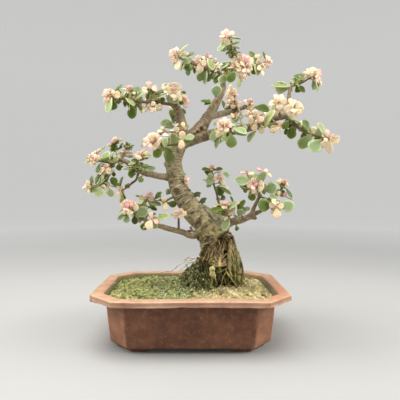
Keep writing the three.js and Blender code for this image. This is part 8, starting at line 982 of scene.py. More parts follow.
def add_stem(bag, stem, seed):
    d = unit(stem[1, :3] - stem[0, :3])
    P = np.vstack([np.concatenate([stem[0, :3] - d * 3.0, [stem[0, 3] * 1.25]]), stem])
    ph = (seed * 0.37) % 1.0

    def ring(s, a, r):
        x = (s / 3.6 + ph) % 1.0
        return r * (0.13 * np.exp(-((x - 0.5) / 0.10) ** 2) - 0.03 + 0.05 * np.sin(a * 2 + s * 0.4))

    V, Q, T, along = tube(P, 8, 1.3, bump=ring)
    C = curve(P, 1.3)
    s = np.concatenate([[0], np.cumsum(np.linalg.norm(np.diff(C[:, :3], axis=0), axis=1))])
    r = np.interp(along, s, C[:, 3])
    bag.add(V, Q, T, mat=1, col=stem_colour(r, along, seed, V), seed=ph)


def rosette_fill(rows, rng):
    """Further pale leaves set between and behind the outer ones of each rosette."""
    pale = [r for r in rows if r[8] in "cpk"]
    if len(pale) < 4:
        return []
    A = np.array([r[:3] for r in pale], float)
    B = np.array([r[3:6] for r in pale], float)
    mid = (A + B) / 2
    out = []
    for i, r in enumerate(pale):
        near = np.flatnonzero(np.linalg.norm(mid - mid[i], axis=1) < 6.5)
        if len(near) < 4:
            continue
        heart = mid[near].mean(0)
        for turn in rng.choice([-1, 1], 1 if rng.random() < 0.6 else 2, replace=False):
            a = turn * rng.uniform(0.45, 1.0)
            d = B[i] - A[i]
            d = np.array([d[0] * math.cos(a) + d[2] * math.sin(a), d[1], -d[0] * math.sin(a) + d[2] * math.cos(a)])
            base = A[i] * 0.7 + heart * 0.3 + [0, rng.uniform(0.6, 2.2), 0]
            tip = base + d * rng.uniform(0.66, 0.92) + [0, rng.uniform(-0.8, 1.2), 0]
            tip = tip + (heart - tip) * 0.12
            kind = "c" if r[8] == "c" and rng.random() < 0.8 else "p"
            out.append([*base, *tip, r[6] + rng.uniform(-35, 35), max(2.4, r[7] * rng.uniform(0.7, 0.95)), kind])
    return out


def turned(v, axis, a):
    """v turned about a unit axis by the angle a."""
    return v * math.cos(a) + np.cross(axis, v) * math.sin(a) + axis * np.dot(axis, v) * (1 - math.cos(a))


def seen_at(P):
    """Half-pixel column and row at which points are seen from the front."""
    P = np.atleast_2d(P)
    k = CAMERA_F / (P[:, 1] - CAMERA_AT[1])
    u = np.round((CAMERA_CENTRE[0] + P[:, 0] * k) * 2).astype(int)
    v = np.round((CAMERA_CENTRE[1] - (P[:, 2] - CAMERA_AT[2]) * k) * 2).astype(int)
    return np.clip(u, 1, 798), np.clip(v, 1, 798)


def front_cover():
    """Depth of what the near leaves, stems and limbs show in every half-pixel, seen from the front."""
    M = np.full((800, 800), 1e9)
    bag = Bag()
    rng = np.random.default_rng(4)
    for name, stem, leaves in SHOOTS:
        for row in leaves:
            add_leaf(bag, row[0:3], row[3:6], row[6], row[7], row[8], rng)
        bag.add(*tube(np.array(stem, float), 8, 0.8)[:3])
    for name, path in WOOD:
        bag.add(*tube(np.array(path, float), 60, 0.8)[:3])
    V = np.concatenate(bag.v)
    u, v = seen_at(V)
    for a in (-1, 0, 1):
        for b in (-1, 0, 1):
            np.minimum.at(M, (v + a, u + b), V[:, 1])
    return M


COVER = front_cover()


def hidden(base, tip, w):
    """Share of a leaf that lies behind what is seen from the front."""
    d = tip - base
    side = unit(np.cross(d, [0.0, 1.0, 0.0]) + [1e-6, 0, 0]) * (w * 0.45)
    P = [base + d * f for f in (0.3, 0.5, 0.75, 1.0)] + [base + d * f + side * s for f in (0.45, 0.75) for s in (-1, 1)]
    P = np.array(P)
    u, v = seen_at(P)
    return (COVER[v, u] < P[:, 1] - 0.2).mean()


def far_side(stem, rows, rng):
    """Leaves on the side of a shoot that faces away, so it is leafy all round."""
    out = []
    ends = np.array([r[3:6] for r in rows], float)
    lo, hi = ends.min(0) - 0.8, ends.max(0) + 0.8
    for r in rows:
        kind = r[8]
        if kind == "k" or rng.random() > (0.9 if kind in "gdlo" else 0.76):
            continue
        base, tip = np.array(r[0:3], float), np.array(r[3:6], float)
        e, q, along = foot_on(stem, base)
        best = None
        w2 = r[7] * rng.uniform(0.82, 1.0)
        for attempt in range(14):
            a = (1 if attempt % 2 else -1) * math.radians(rng.uniform(75, 180))
            b2, t2 = q[:3] + turned(base - q[:3], along, a), q[:3] + turned(tip - q[:3], along, a)
            L = np.linalg.norm(t2 - b2)
            if (t2 - b2)[1] < (0.25 + 0.04 * attempt) * L:
                t2 = b2 + unit(t2 - b2 + [0, L * (0.8 + 0.1 * attempt), 0]) * L
            if t2[2] < 62 or not lo[0] < t2[0] < hi[0] or not lo[2] < t2[2] < hi[2]:
                continue
            if b2[1] + t2[1] < 2 * q[1]:
                continue
            share = hidden(b2, t2, w2)
            if best is None or share > best[0]:
                best = (share, b2, t2)
            if share > 0.93:
                break
        if best is None or best[0] < 0.7:
            continue
        share, b2, t2 = best
        out.append([*b2, *t2, r[6] + rng.uniform(-20, 20), w2, kind])
    return out


def build_shoots(leaf_mat, stem_mat):
    for number, (name, stem, leaves) in enumerate(SHOOTS):
        rng = np.random.default_rng(1000 + number)
        stem = np.array(stem, float)
        bag = Bag()
        add_stem(bag, stem, number)
        far = far_side(stem, leaves, rng)
        for row in leaves + far:
            base, tip = np.array(row[0:3], float), np.array(row[3:6], float)
            roll, w, kind = row[6], row[7], row[8]
            e, q, along = foot_on(stem, base)
            gap = e - q[3]
            if gap > 0.7:
                d = unit(base - q[:3])
                inner = q[:3] + d * (q[3] * 0.4)
                a = unit(tip - base)
                path = np.array([[*inner, 0.62], [*((inner + base) / 2 - a * 0.25 * gap), 0.52], [*base, 0.5], [*(base + a * 0.12 * np.linalg.norm(tip - base)), 0.5]])
                V, Q, T, al = tube(path, 5, 2.0)
                tone = LEAF[kind][2] if kind in "cpgl" else srgb(214, 196, 150) if kind == "k" else srgb(120, 126, 72)
                bag.add(V, Q, T, mat=1, col=mix(tone, srgb(150, 124, 88), 0.4), seed=0.3)
            else:
                base = base + unit(q[:3] - base) * max(0.0, min(e, gap + 0.5 * q[3]))
            add_leaf(bag, base, tip, roll, w, kind, rng, toward=-1.0 if row in leaves else 1.0)
        for row in rosette_fill(leaves, rng):
            # the filler leaves sit behind the outer ones and are painted 6% darker as painted shade
            add_leaf(bag, row[0:3], row[3:6], row[6], row[7], row[8], rng, shade_factor=0.94)
        # a pair of tiny folded leaves closes each shoot's tip
        t = unit(stem[-1, :3] - stem[-2, :3])
        u = unit(np.cross(t, [0.3, -0.9, 0.2]))
        end = stem[-1, :3]
        tipkind = "k" if any(r[8] in "pk" for r in leaves) else "l"
        for sgn in (-1, 1):
            add_leaf(bag, end - t * 0.3, end + t * 2.0 + u * sgn * 1.3, 0 if sgn > 0 else 180, 1.7, tipkind, rng)
        ob = bag.mesh(name + "_leaves", [leaf_mat, stem_mat])
        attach(ob, "root")
        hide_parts(name)


def leaf_material():
    m, nt, b = shader("fleshy_leaf")
    P = place(nt)
    col = attribute(nt, "col")
    mottle = ramp(nt, noise_node(nt, P, 900, 4, 0.6), [(0.3, 0.80), (0.62, 1.10)])
    cells = node(nt, "ShaderNodeTexVoronoi", feature="F1")
    cells.inputs["Scale"].default_value = 3600
    nt.links.new(P, cells.inputs["Vector"])
    dots = ramp(nt, cells.outputs["Distance"], [(0.0, 1.10), (0.55, 0.97)])
    c = blend(nt, "MULTIPLY", 1.0, col, mottle)
    c = blend(nt, "MULTIPLY", 0.6, c, dots)
    # faint waxy bloom in broad patches
    bloom = ramp(nt, noise_node(nt, P, 260, 3, 0.5), [(0.42, (0.97, 0.97, 0.96)), (0.75, (1.10, 1.09, 1.12))])
    c = blend(nt, "MULTIPLY", 1.0, c, bloom)
    nt.links.new(c, b.inputs["Base Color"])
    rough = ramp(nt, noise_node(nt, P, 700, 3, 0.5), [(0.3, 0.38), (0.7, 0.55)])
    nt.links.new(rough, b.inputs["Roughness"])
    b.inputs["Specular IOR Level"].default_value = 0.32
    b.inputs["Subsurface Weight"].default_value = 0.12
    b.inputs["Subsurface Radius"].default_value = (0.0012, 0.0016, 0.0006)
    b.inputs["Subsurface Scale"].default_value = 1.0
    bump(nt, b, noise_node(nt, P, 1500, 2, 0.5), 0.00012, 0.35)
    return m


def stem_material():
    m, nt, b = shader("young_stem")
    P = place(nt)
    col = attribute(nt, "col")
    fine = noise_node(nt, P, 1300, 4, 0.65)
    c = blend(nt, "MULTIPLY", 1.0, col, ramp(nt, fine, [(0.28, 0.62), (0.68, 1.16)]))
    nt.links.new(c, b.inputs["Base Color"])
    nt.links.new(ramp(nt, fine, [(0.3, 0.55), (0.7, 0.8)]), b.inputs["Roughness"])
    b.inputs["Specular IOR Level"].default_value = 0.3
    bump(nt, b, fine, 0.0003, 0.6)
    return m

# ------------------------------------------------------------------ trunk, limbs and roots

def limb_rows():
    """Straight stretches of all limbs, with the distance along each."""
    A, B, S = [], [], []
    for name, path in WOOD:
        P = curve(np.array(path, float), 5.0)
        s = 0.0
        for a, b in zip(P[:-1], P[1:]):
            A.append(a)
            B.append(b)
            S.append(s)
            s += np.linalg.norm(b[:3] - a[:3])
    return np.array(A), np.array(B), np.array(S)


def nearest_limb(V, A, B, reach=9.0):
    best = np.full(len(V), 1e9)
    who = np.zeros(len(V), int)
    tt = np.zeros(len(V))
    for i in range(len(A)):
        m = reach + max(A[i, 3], B[i, 3])
        a, b = np.minimum(A[i, :3], B[i, :3]) - m, np.maximum(A[i, :3], B[i, :3]) + m
        near = np.flatnonzero((V[:, 0] > a[0]) & (V[:, 0] < b[0]) & (V[:, 2] > a[2]) & (V[:, 2] < b[2]) & (V[:, 1] > a[1]) & (V[:, 1] < b[1]))
        if not len(near):
            continue
        ab = B[i, :3] - A[i, :3]
        X = V[near] - A[i, :3]
        t = np.clip(X @ ab / max(ab @ ab, 1e-9), 0, 1)
        e = np.linalg.norm(X - t[:, None] * ab, axis=1) - (A[i, 3] + (B[i, 3] - A[i, 3]) * t)
        w = e < best[near]
        k = near[w]
        best[k], who[k], tt[k] = e[w], i, t[w]
    return best, who, tt


def rings_body(rings):
    """Closed body through rings of the same number of points."""
    rings = np.array(rings, float)
    n, sides = rings.shape[:2]
    i, j = np.meshgrid(np.arange(n - 1), np.arange(sides), indexing="ij")
    k = (j + 1) % sides
    Q = np.stack([i * sides + j, i * sides + k, (i + 1) * sides + k, (i + 1) * sides + j], -1).reshape(-1, 4)
    V = np.vstack([rings.reshape(-1, 3), rings[0].mean(0), rings[-1].mean(0)])
    j = np.arange(sides)
    k = (j + 1) % sides
    T = np.vstack([np.stack([np.full(sides, n * sides), k, j], 1), np.stack([np.full(sides, n * sides + 1), (n - 1) * sides + j, (n - 1) * sides + k], 1)])
    return V, Q, T


def core_bag():
    bag = Bag()
    for name, path in WOOD:
        big = name == "trunk"
        V, Q, T, _ = tube(path, 26 if big else 14, 2.0 if big else 1.6, flat=0.25 if big else 1.0)
        bag.add(V, Q, T)
    for path in RIDGES:
        V, Q, T, _ = tube(path, 12, 1.6)
        bag.add(V, Q, T)
    # the inner column behind the surface roots, painted near-black in build_trunk as the shade between them
    ang = np.arange(30) / 30 * 2 * math.pi
    bag.add(*rings_body([np.stack([x + rx * np.cos(ang), y + ry * np.sin(ang), np.full(30, z)], 1) for z, x, y, rx, ry in CORE]))
    return bag


def line_distance(V, path):
    """Distance in the upright plane from each vertex to a line (x, z) and the share along it."""
    P = np.array(path, float)
    X = V[:, [0, 2]]
    best = np.full(len(V), 1e9)
    share = np.zeros(len(V))
    for i in range(len(P) - 1):
        ab = P[i + 1] - P[i]
        t = np.clip((X - P[i]) @ ab / (ab @ ab), 0, 1)
        e = np.linalg.norm(X - P[i] - t[:, None] * ab, axis=1)
        m = e < best
        best[m] = e[m]
        share[m] = (i + t[m]) / (len(P) - 1)
    return best, share


def bark_line(x):
    """Height where smooth bark gives way to roots, on the front."""
    return np.interp(x, [6, 13, 17, 22, 27, 33, 40, 60], [88, 93, 98, 105, 109, 112, 115, 116])


def build_trunk(mat):
    V, Q, T = fuse(core_bag(), VOXEL)
    V = relax(V, Q, T, 2, 0.5)
    N = normals(V, Q, T)
    A, B, S = limb_rows()
    gap, who, t = nearest_limb(V, A, B)
    s = S[who] + t * np.linalg.norm(B[who, :3] - A[who, :3], axis=1)
    rad = A[who, 3] + (B[who, 3] - A[who, 3]) * t
    z = V[:, 2]
    low = smooth(3, -3, z - bark_line(V[:, 0]) + 2.5 * noise(V, 7, 71))
    # rings around trunk and limbs, broken and uneven
    thick = smooth(7, 12, rad)
    spacing = np.clip(1.25 + rad * 0.13, 1.5, 3.1)
    u = s / spacing + 0.6 * noise(V, 11, 3) + 0.35 * noise(V, 4, 4)
    x = u - np.floor(u)
    groove = np.exp(-((x - 0.5) / 0.2) ** 2)
    level = np.floor(u)
    keep = smooth(-0.25, 0.4, 0.32 * thick + noise(np.stack([level * 7.3, V[:, 0] * 0.9, V[:, 1] * 0.9], 1), 5, 9) + 0.5 * noise(V, 3, 10))
    ring = groove * keep * (0.25 + 0.75 * smooth(106, 122, z))
    # now and then a stronger ring, where a leaf pair once sat
    un = s / np.clip(6 + rad * 0.5, 7, 11) + 0.35 * noise(V, 20, 5)
    xn = un - np.floor(un)
    node_ring = np.exp(-((xn - 0.5) / 0.045) ** 2) * smooth(-0.3, 0.3, noise(V, 9, 11) + 0.15)
    node_lip = np.exp(-((xn - 0.42) / 0.07) ** 2)
    depth = np.clip(0.10 + rad * 0.020, 0.12, 0.32)
    swell = 0.85 * fbm(V, 9, 2, 21) * smooth(2.0, 8, rad) + 0.34 * fbm(V, 4.2, 2, 22)
    fine = 0.20 * fbm(V, 1.7, 2, 23)
    swell = swell * (1 - 0.72 * thick)
    h = swell + fine - depth * (1 + 1.1 * thick) * ring - 0.3 * node_ring * smooth(1, 4, rad) + 0.18 * node_lip * smooth(1, 5, rad)
    h = h * (1 - low) + low * (0.9 * fbm(V, 4.2, 2, 31) + 0.35 * fbm(V, 1.9, 2, 32))
    # knobbly underside of the long right limb near the fork
    k = np.exp(-(((V[:, 0] - 12.5) / 11) ** 4 + ((V[:, 2] - 225) / 7.5) ** 4))
    lump = 1.4 * noise(V, 3.6, 41) + 0.5 * noise(V, 1.8, 40)
    # a swollen stretch of the long limb, painted dark as the shade under the leaves above it
    shaded_swollen_limb = np.exp(-(((V[:, 0] - 83) / 13) ** 2 + ((V[:, 2] - 224) / 10) ** 2))
    h += 1.5 * shaded_swollen_limb * smooth(0.4, -0.6, N[:, 2])
    # folded, torn bark where trunk turns into roots
    fold = noise(np.stack([0.55 * V[:, 0] + 0.3 * V[:, 2], 0.6 * V[:, 1], V[:, 2] - 0.45 * V[:, 0]], 1), 2.5, 48)
    torn = np.exp(-(((V[:, 0] - 16) / 11) ** 4 + ((z - 103) / 9.5) ** 4)) * smooth(0.2, -0.2, N[:, 1]) * (1 - low)
    cleft = torn * smooth(0.30, 0.04, np.abs(fold)) 
    h += torn * (0.7 * fbm(V, 4.0, 2, 49) + 0.4 * noise(V, 2.2, 50)) - 1.5 * cleft
    under = k * smooth(0.62, -0.05, N[:, 2])
    h += under * (2.2 * smooth(-0.1, 0.35, lump) - 0.8 * smooth(-0.05, -0.3, lump))
    front = smooth(0.25, -0.25, N[:, 1])
    shade = np.zeros(len(V))
    for path, w, d in CREASES:
        e, f = line_distance(V, path)
        e = e + 0.4 * noise(V, 3.1, 43)
        g = np.exp(-(e / w) ** 2) * front * (0.45 + 0.55 * np.sin(np.pi * np.clip(f, 0.02, 0.98))) * smooth(-0.75, 0.25, noise(V, 3.4, 44))
        near = np.abs(V[:, 1]) < 26
        h += g * d * near * 0.85
        if d < 0:
            shade = np.maximum(shade, g * near * min(1, -d))
    # where a branch was cut off long ago
    c, r = SCAR
    dist = np.linalg.norm((V - c) * [1, 0.3, 1.15], axis=1) + 1.3 * noise(V, 4.0, 45)
    h += front * (-0.75 * smooth(r, r - 3.0, dist) + 0.75 * np.exp(-((dist - r - 0.4) / 1.2) ** 2) * smooth(-0.5, 0.3, noise(V, 6, 46) + 0.4 * np.sign(z - c[2])))
    V = V + N * h[:, None]
    # colour
    n1 = 0.5 + 0.5 * fbm(V, 7, 3, 51)
    n2 = 0.5 + 0.5 * fbm(V, 2.3, 2, 52)
    n3 = 0.5 + 0.5 * fbm(V, 1.1, 2, 53)
    C = mix(BARK["mid"], BARK["light"], smooth(0.35, 0.7, n1))
    C = mix(C, BARK["brown"], smooth(0.5, 0.8, n2) * 0.42)
    C = mix(C, BARK["pale"], smooth(0.52, 0.78, n3) * 0.55)
    C = mix(C, BARK["pale"], node_lip * smooth(1, 5, rad) * smooth(0.35, 0.65, n2) * 0.6)
    # ring grooves and leaf-scar rings are darkened: partly the bark's own dark lines, partly painted shade in the
    # grooves
    C = mix(C, BARK["dark"], np.clip(ring * (0.48 + 0.30 * thick) + node_ring * 0.7 * smooth(1, 4, rad), 0, 0.9))
    C = C * (1 - 0.22 * smooth(9.5, 7.0, rad))[:, None] * (1 + np.array([0.02, -0.035, 0.01]) * smooth(9.5, 7.0, rad)[:, None])
    C = mix(C, BARK["moss"], smooth(160, 116, z) * smooth(0.35, 0.7, n1) * 0.55 * smooth(6, 9.5, rad))
    C = C * (1 + 0.22 * smooth(152, 134, z) + 0.07 * smooth(150, 165, z) * smooth(230, 215, z) * smooth(8, 10, rad))[:, None]
    C = C * (1 - np.array([0.03, 0.06, 0.12]) * smooth(130, 117, z)[:, None])
    # the greyer plate between trunk and lower right limb
    line = np.array([(9.9, 141), (16.8, 133.3), (24, 124.5), (29.6, 118.8)])
    beyond = V[:, 0] - np.interp(z, line[::-1, 1], line[::-1, 0])
    C = mix(C, mix(srgb(124, 122, 96), srgb(166, 164, 134), smooth(0.35, 0.7, n2)), smooth(0.2, 2.0, beyond) * smooth(116, 121, z) * smooth(150, 140, z) * smooth(44, 34, V[:, 0]) * 0.8)
    C = mix(C, BARK["lichen"], np.exp(-(((V[:, 0] - 31) / 9) ** 2 + ((z - 114.5) / 4.5) ** 2)) * smooth(0.35, 0.6, n2) * front)
    # painted shade in the creases and in the clefts of the torn bark
    C = mix(C, BARK["dark"], np.clip(np.maximum(shade * 0.68, 0.95 * cleft), 0, 0.9))
    C = mix(C, BARK["pale"], torn * (1 - cleft) * smooth(0.42, 0.7, n3) * 0.5)
    # painted shade on the swollen stretch of limb under the leaves
    C = mix(C, mix(srgb(70, 54, 40), srgb(112, 90, 68), smooth(0.3, 0.7, n2)), shaded_swollen_limb * 0.85)
    scar = front * smooth(r + 0.4, r - 2.2, dist)
    C = mix(C, mix(BARK["scar"], BARK["brown"], smooth(0.35, 0.75, n2)), scar * 0.42)
    # a pale band on the scar's raised lip, on its upper side only: painted highlight
    C = mix(C, BARK["pale"], front * np.exp(-((dist - r - 0.7) / 0.9) ** 2) * smooth(-2, 3, z - c[2]) * 0.45)
    # the knobs' crests are painted pale and the gaps between them dark: painted highlight and shade
    C = mix(C, srgb(186, 162, 126), under * smooth(0.05, 0.30, lump) * 0.9)
    C = mix(C, BARK["knob_gap_shade"], under * smooth(0.05, -0.2, lump) * 0.85)
    # below the bark line the trunk and root column are painted near-black: painted shade in the gaps between the
    # surface roots
    R = mix(BARK["hollow_shade"], BARK["root_shade"], smooth(0.4, 0.8, n2))
    C = mix(C, R, low)
    # painted shade: the hollows of the displaced surface are darkened
    C = mix(C, BARK["dark"], smooth(-0.15, -0.7, h - swell) * (1 - low) * 0.4)
    ob = make_object("trunk_and_limbs", metres(V), Q, T, [mat], None, np.clip(C, 0, 1), np.clip(low, 0, 1))
    a = ob.data.attributes.new("along", "FLOAT", "POINT")
    a.data.foreach_set("value", ((s + 0.9 * noise(V, 8, 47)) / 1000.0).astype(np.float32))
    a = ob.data.attributes.new("wrinkle", "FLOAT", "POINT")
    a.data.foreach_set("value", ((0.5 + 0.4 * thick) * (0.6 + 0.4 * smooth(112, 132, z))).astype(np.float32))
    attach(ob, "root")
    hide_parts("trunk")
    return len(Q) * 2 + len(T)


def bark_material(name="bark", rings=True):
    m, nt, b = shader(name)
    P = place(nt)
    col = attribute(nt, "col")
    fine = noise_node(nt, P, 1100, 5, 0.7)
    wide = noise_node(nt, P, 300, 3, 0.6)
    c = blend(nt, "MULTIPLY", 1.0, col, ramp(nt, fine, [(0.26, 0.55), (0.50, 0.98), (0.74, 1.30)]))
    c = blend(nt, "MULTIPLY", 0.8, c, ramp(nt, wide, [(0.3, 0.80), (0.7, 1.15)]))
    first = bump(nt, None, wide, 0.0008, 0.5)
    if rings:
        # fine broken wrinkles running round trunk and limbs
        xyz = node(nt, "ShaderNodeSeparateXYZ")
        nt.links.new(P, xyz.inputs[0])
        ring = node(nt, "ShaderNodeCombineXYZ")
        nt.links.new(attribute(nt, "along", True), ring.inputs[0])
        for k, (u, v, f) in enumerate(((0, 2, 0.6), (1, 2, -0.35))):
            w = node(nt, "ShaderNodeMath", operation="MULTIPLY_ADD")
            nt.links.new(xyz.outputs[v], w.inputs[0])
            w.inputs[1].default_value = f
            nt.links.new(xyz.outputs[u], w.inputs[2])
            g = node(nt, "ShaderNodeMath", operation="MULTIPLY")
            nt.links.new(w.outputs[0], g.inputs[0])
            g.inputs[1].default_value = 0.17
            nt.links.new(g.outputs[0], ring.inputs[k + 1])
        lines = noise_node(nt, ring.outputs[0], 620, 3, 0.62)
        # the wrinkle lines are painted dark in their troughs and light beside them: partly the bark's own lines, partly
        # painted shade and highlight along with the bump
        c = blend(nt, "MULTIPLY", attribute(nt, "wrinkle", True), c, ramp(nt, lines, [(0.30, (0.36, 0.33, 0.29)), (0.42, (0.80, 0.79, 0.76)), (0.56, (1.04, 1.04, 1.03)), (0.72, (1.34, 1.33, 1.30))]))
        first = bump(nt, None, lines, 0.0011, 0.8, before=first)
    nt.links.new(c, b.inputs["Base Color"])
    nt.links.new(ramp(nt, fine, [(0.3, 0.7), (0.7, 0.9)]), b.inputs["Roughness"])
    b.inputs["Specular IOR Level"].default_value = 0.25
    bump(nt, b, fine, 0.0005, 0.7, before=first)
    return m


def column_at(z):
    """Outside of the root column at height z: centre and half widths."""
    Z = [r[0] for r in FLARE]
    return tuple(float(np.interp(z, Z, [r[i] for r in FLARE])) for i in (1, 2, 3, 4))


def add_root(bag, path, tone, rng, sides=10, step=0.9, wander=0.25, swell=0.14):
    P = curve(np.array(path, float), 0.45 if tone == "n" else step * 1.4)
    # the open black hollow between the roots stays open
    e = np.hypot((P[:, 0] - HOLLOW[0]) / HOLLOW[2], (P[:, 2] - HOLLOW[1]) / HOLLOW[3])
    if sides < 10 and np.any((e < 1) & (P[:, 1] < 0)):
        return
    n = len(P)
    s = np.arange(n) * 0.55
    ph = rng.uniform(0, 6.28, 8)
    r = P[:, 3].copy()
    for a, f in ((0, 0.9), (1, 0.8), (2, 0.7)):
        P[:, a] += wander * np.minimum(1.0, r) * (np.sin(s * f + ph[a]) + 0.5 * np.sin(s * f * 2.3 + ph[a + 3]))
    P[:, 3] = r * (1 + swell * np.sin(s * 1.1 + ph[6]) + 0.5 * swell * np.sin(s * 2.6 + ph[7]))

    def grain(s_, a, R):
        return R * (0.10 * np.sin(a * 3 + ph[0] + 0.25 * s_) + 0.06 * np.sin(a * 5 + ph[1] - 0.4 * s_))

    if tone == "n":
        # fine rings, and a round head
        far = np.concatenate([[0], np.cumsum(np.linalg.norm(np.diff(P[:, :3], axis=0), axis=1))])
        P[:, 3] = r * (1 + 0.035 * np.sin(far * 3.9) + 0.02 * np.sin(far * 2.3 + 1))
    V, Q, T, al = tube(P, sides, step, bump=grain if r.max() > 0.7 else None)
    bag.add(V, Q, T, col=ROOT_TONE[tone] * rng.uniform(0.85, 1.15), seed=rng.random())


def root_finish(bag, name, mat, amp, tone):
    """Roughens all roots of a bag and shades them."""
    V = np.concatenate(bag.v)
    Q = np.concatenate(bag.q)
    T = np.concatenate(bag.t)
    C = np.concatenate(bag.c)
    S = np.concatenate(bag.s)
    N = normals(V, Q, T)
    rows = np.array([(r[0], r[1], r[2], r[3], r[4]) for r in FLARE])
    xc, yc, rx, ry = (np.interp(V[:, 2], rows[:, 0], rows[:, i]) for i in (1, 2, 3, 4))
    out = np.sqrt(((V[:, 0] - xc) / rx) ** 2 + ((V[:, 1] - yc) / ry) ** 2)
    h = amp * (fbm(V, 2.6, 2, 301) + 0.5 * noise(V, 0.9, 302))
    V = V + N * h[:, None]
    n1 = 0.5 + 0.5 * fbm(V, 3.4, 3, 303)
    n2 = 0.5 + 0.5 * noise(V, 1.0, 304)
    C = tone * C * (0.46 + 1.0 * smooth(0.22, 0.78, n1))[:, None] * (0.74 + 0.52 * n2)[:, None]
    C = mix(C, srgb(126, 134, 62), smooth(0.50, 0.75, n1) * smooth(100, 60, V[:, 2]) * 0.45)
    # painted shade and highlight: roots lying inside the flare darker, proud ones a little lighter, and faces turned
    # downwards darker
    C = C * mix(0.30, 1.08, smooth(0.80, 1.06, out))[:, None]
    C = C * mix(0.55, 1.0, smooth(-0.9, 0.0, N[:, 2]))[:, None]
    # the moss tint at the foot is mixed in above
    ob = make_object(name, metres(V), Q, T, [mat], None, np.clip(C, 0, 1), S)
    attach(ob, "root")
    return ob


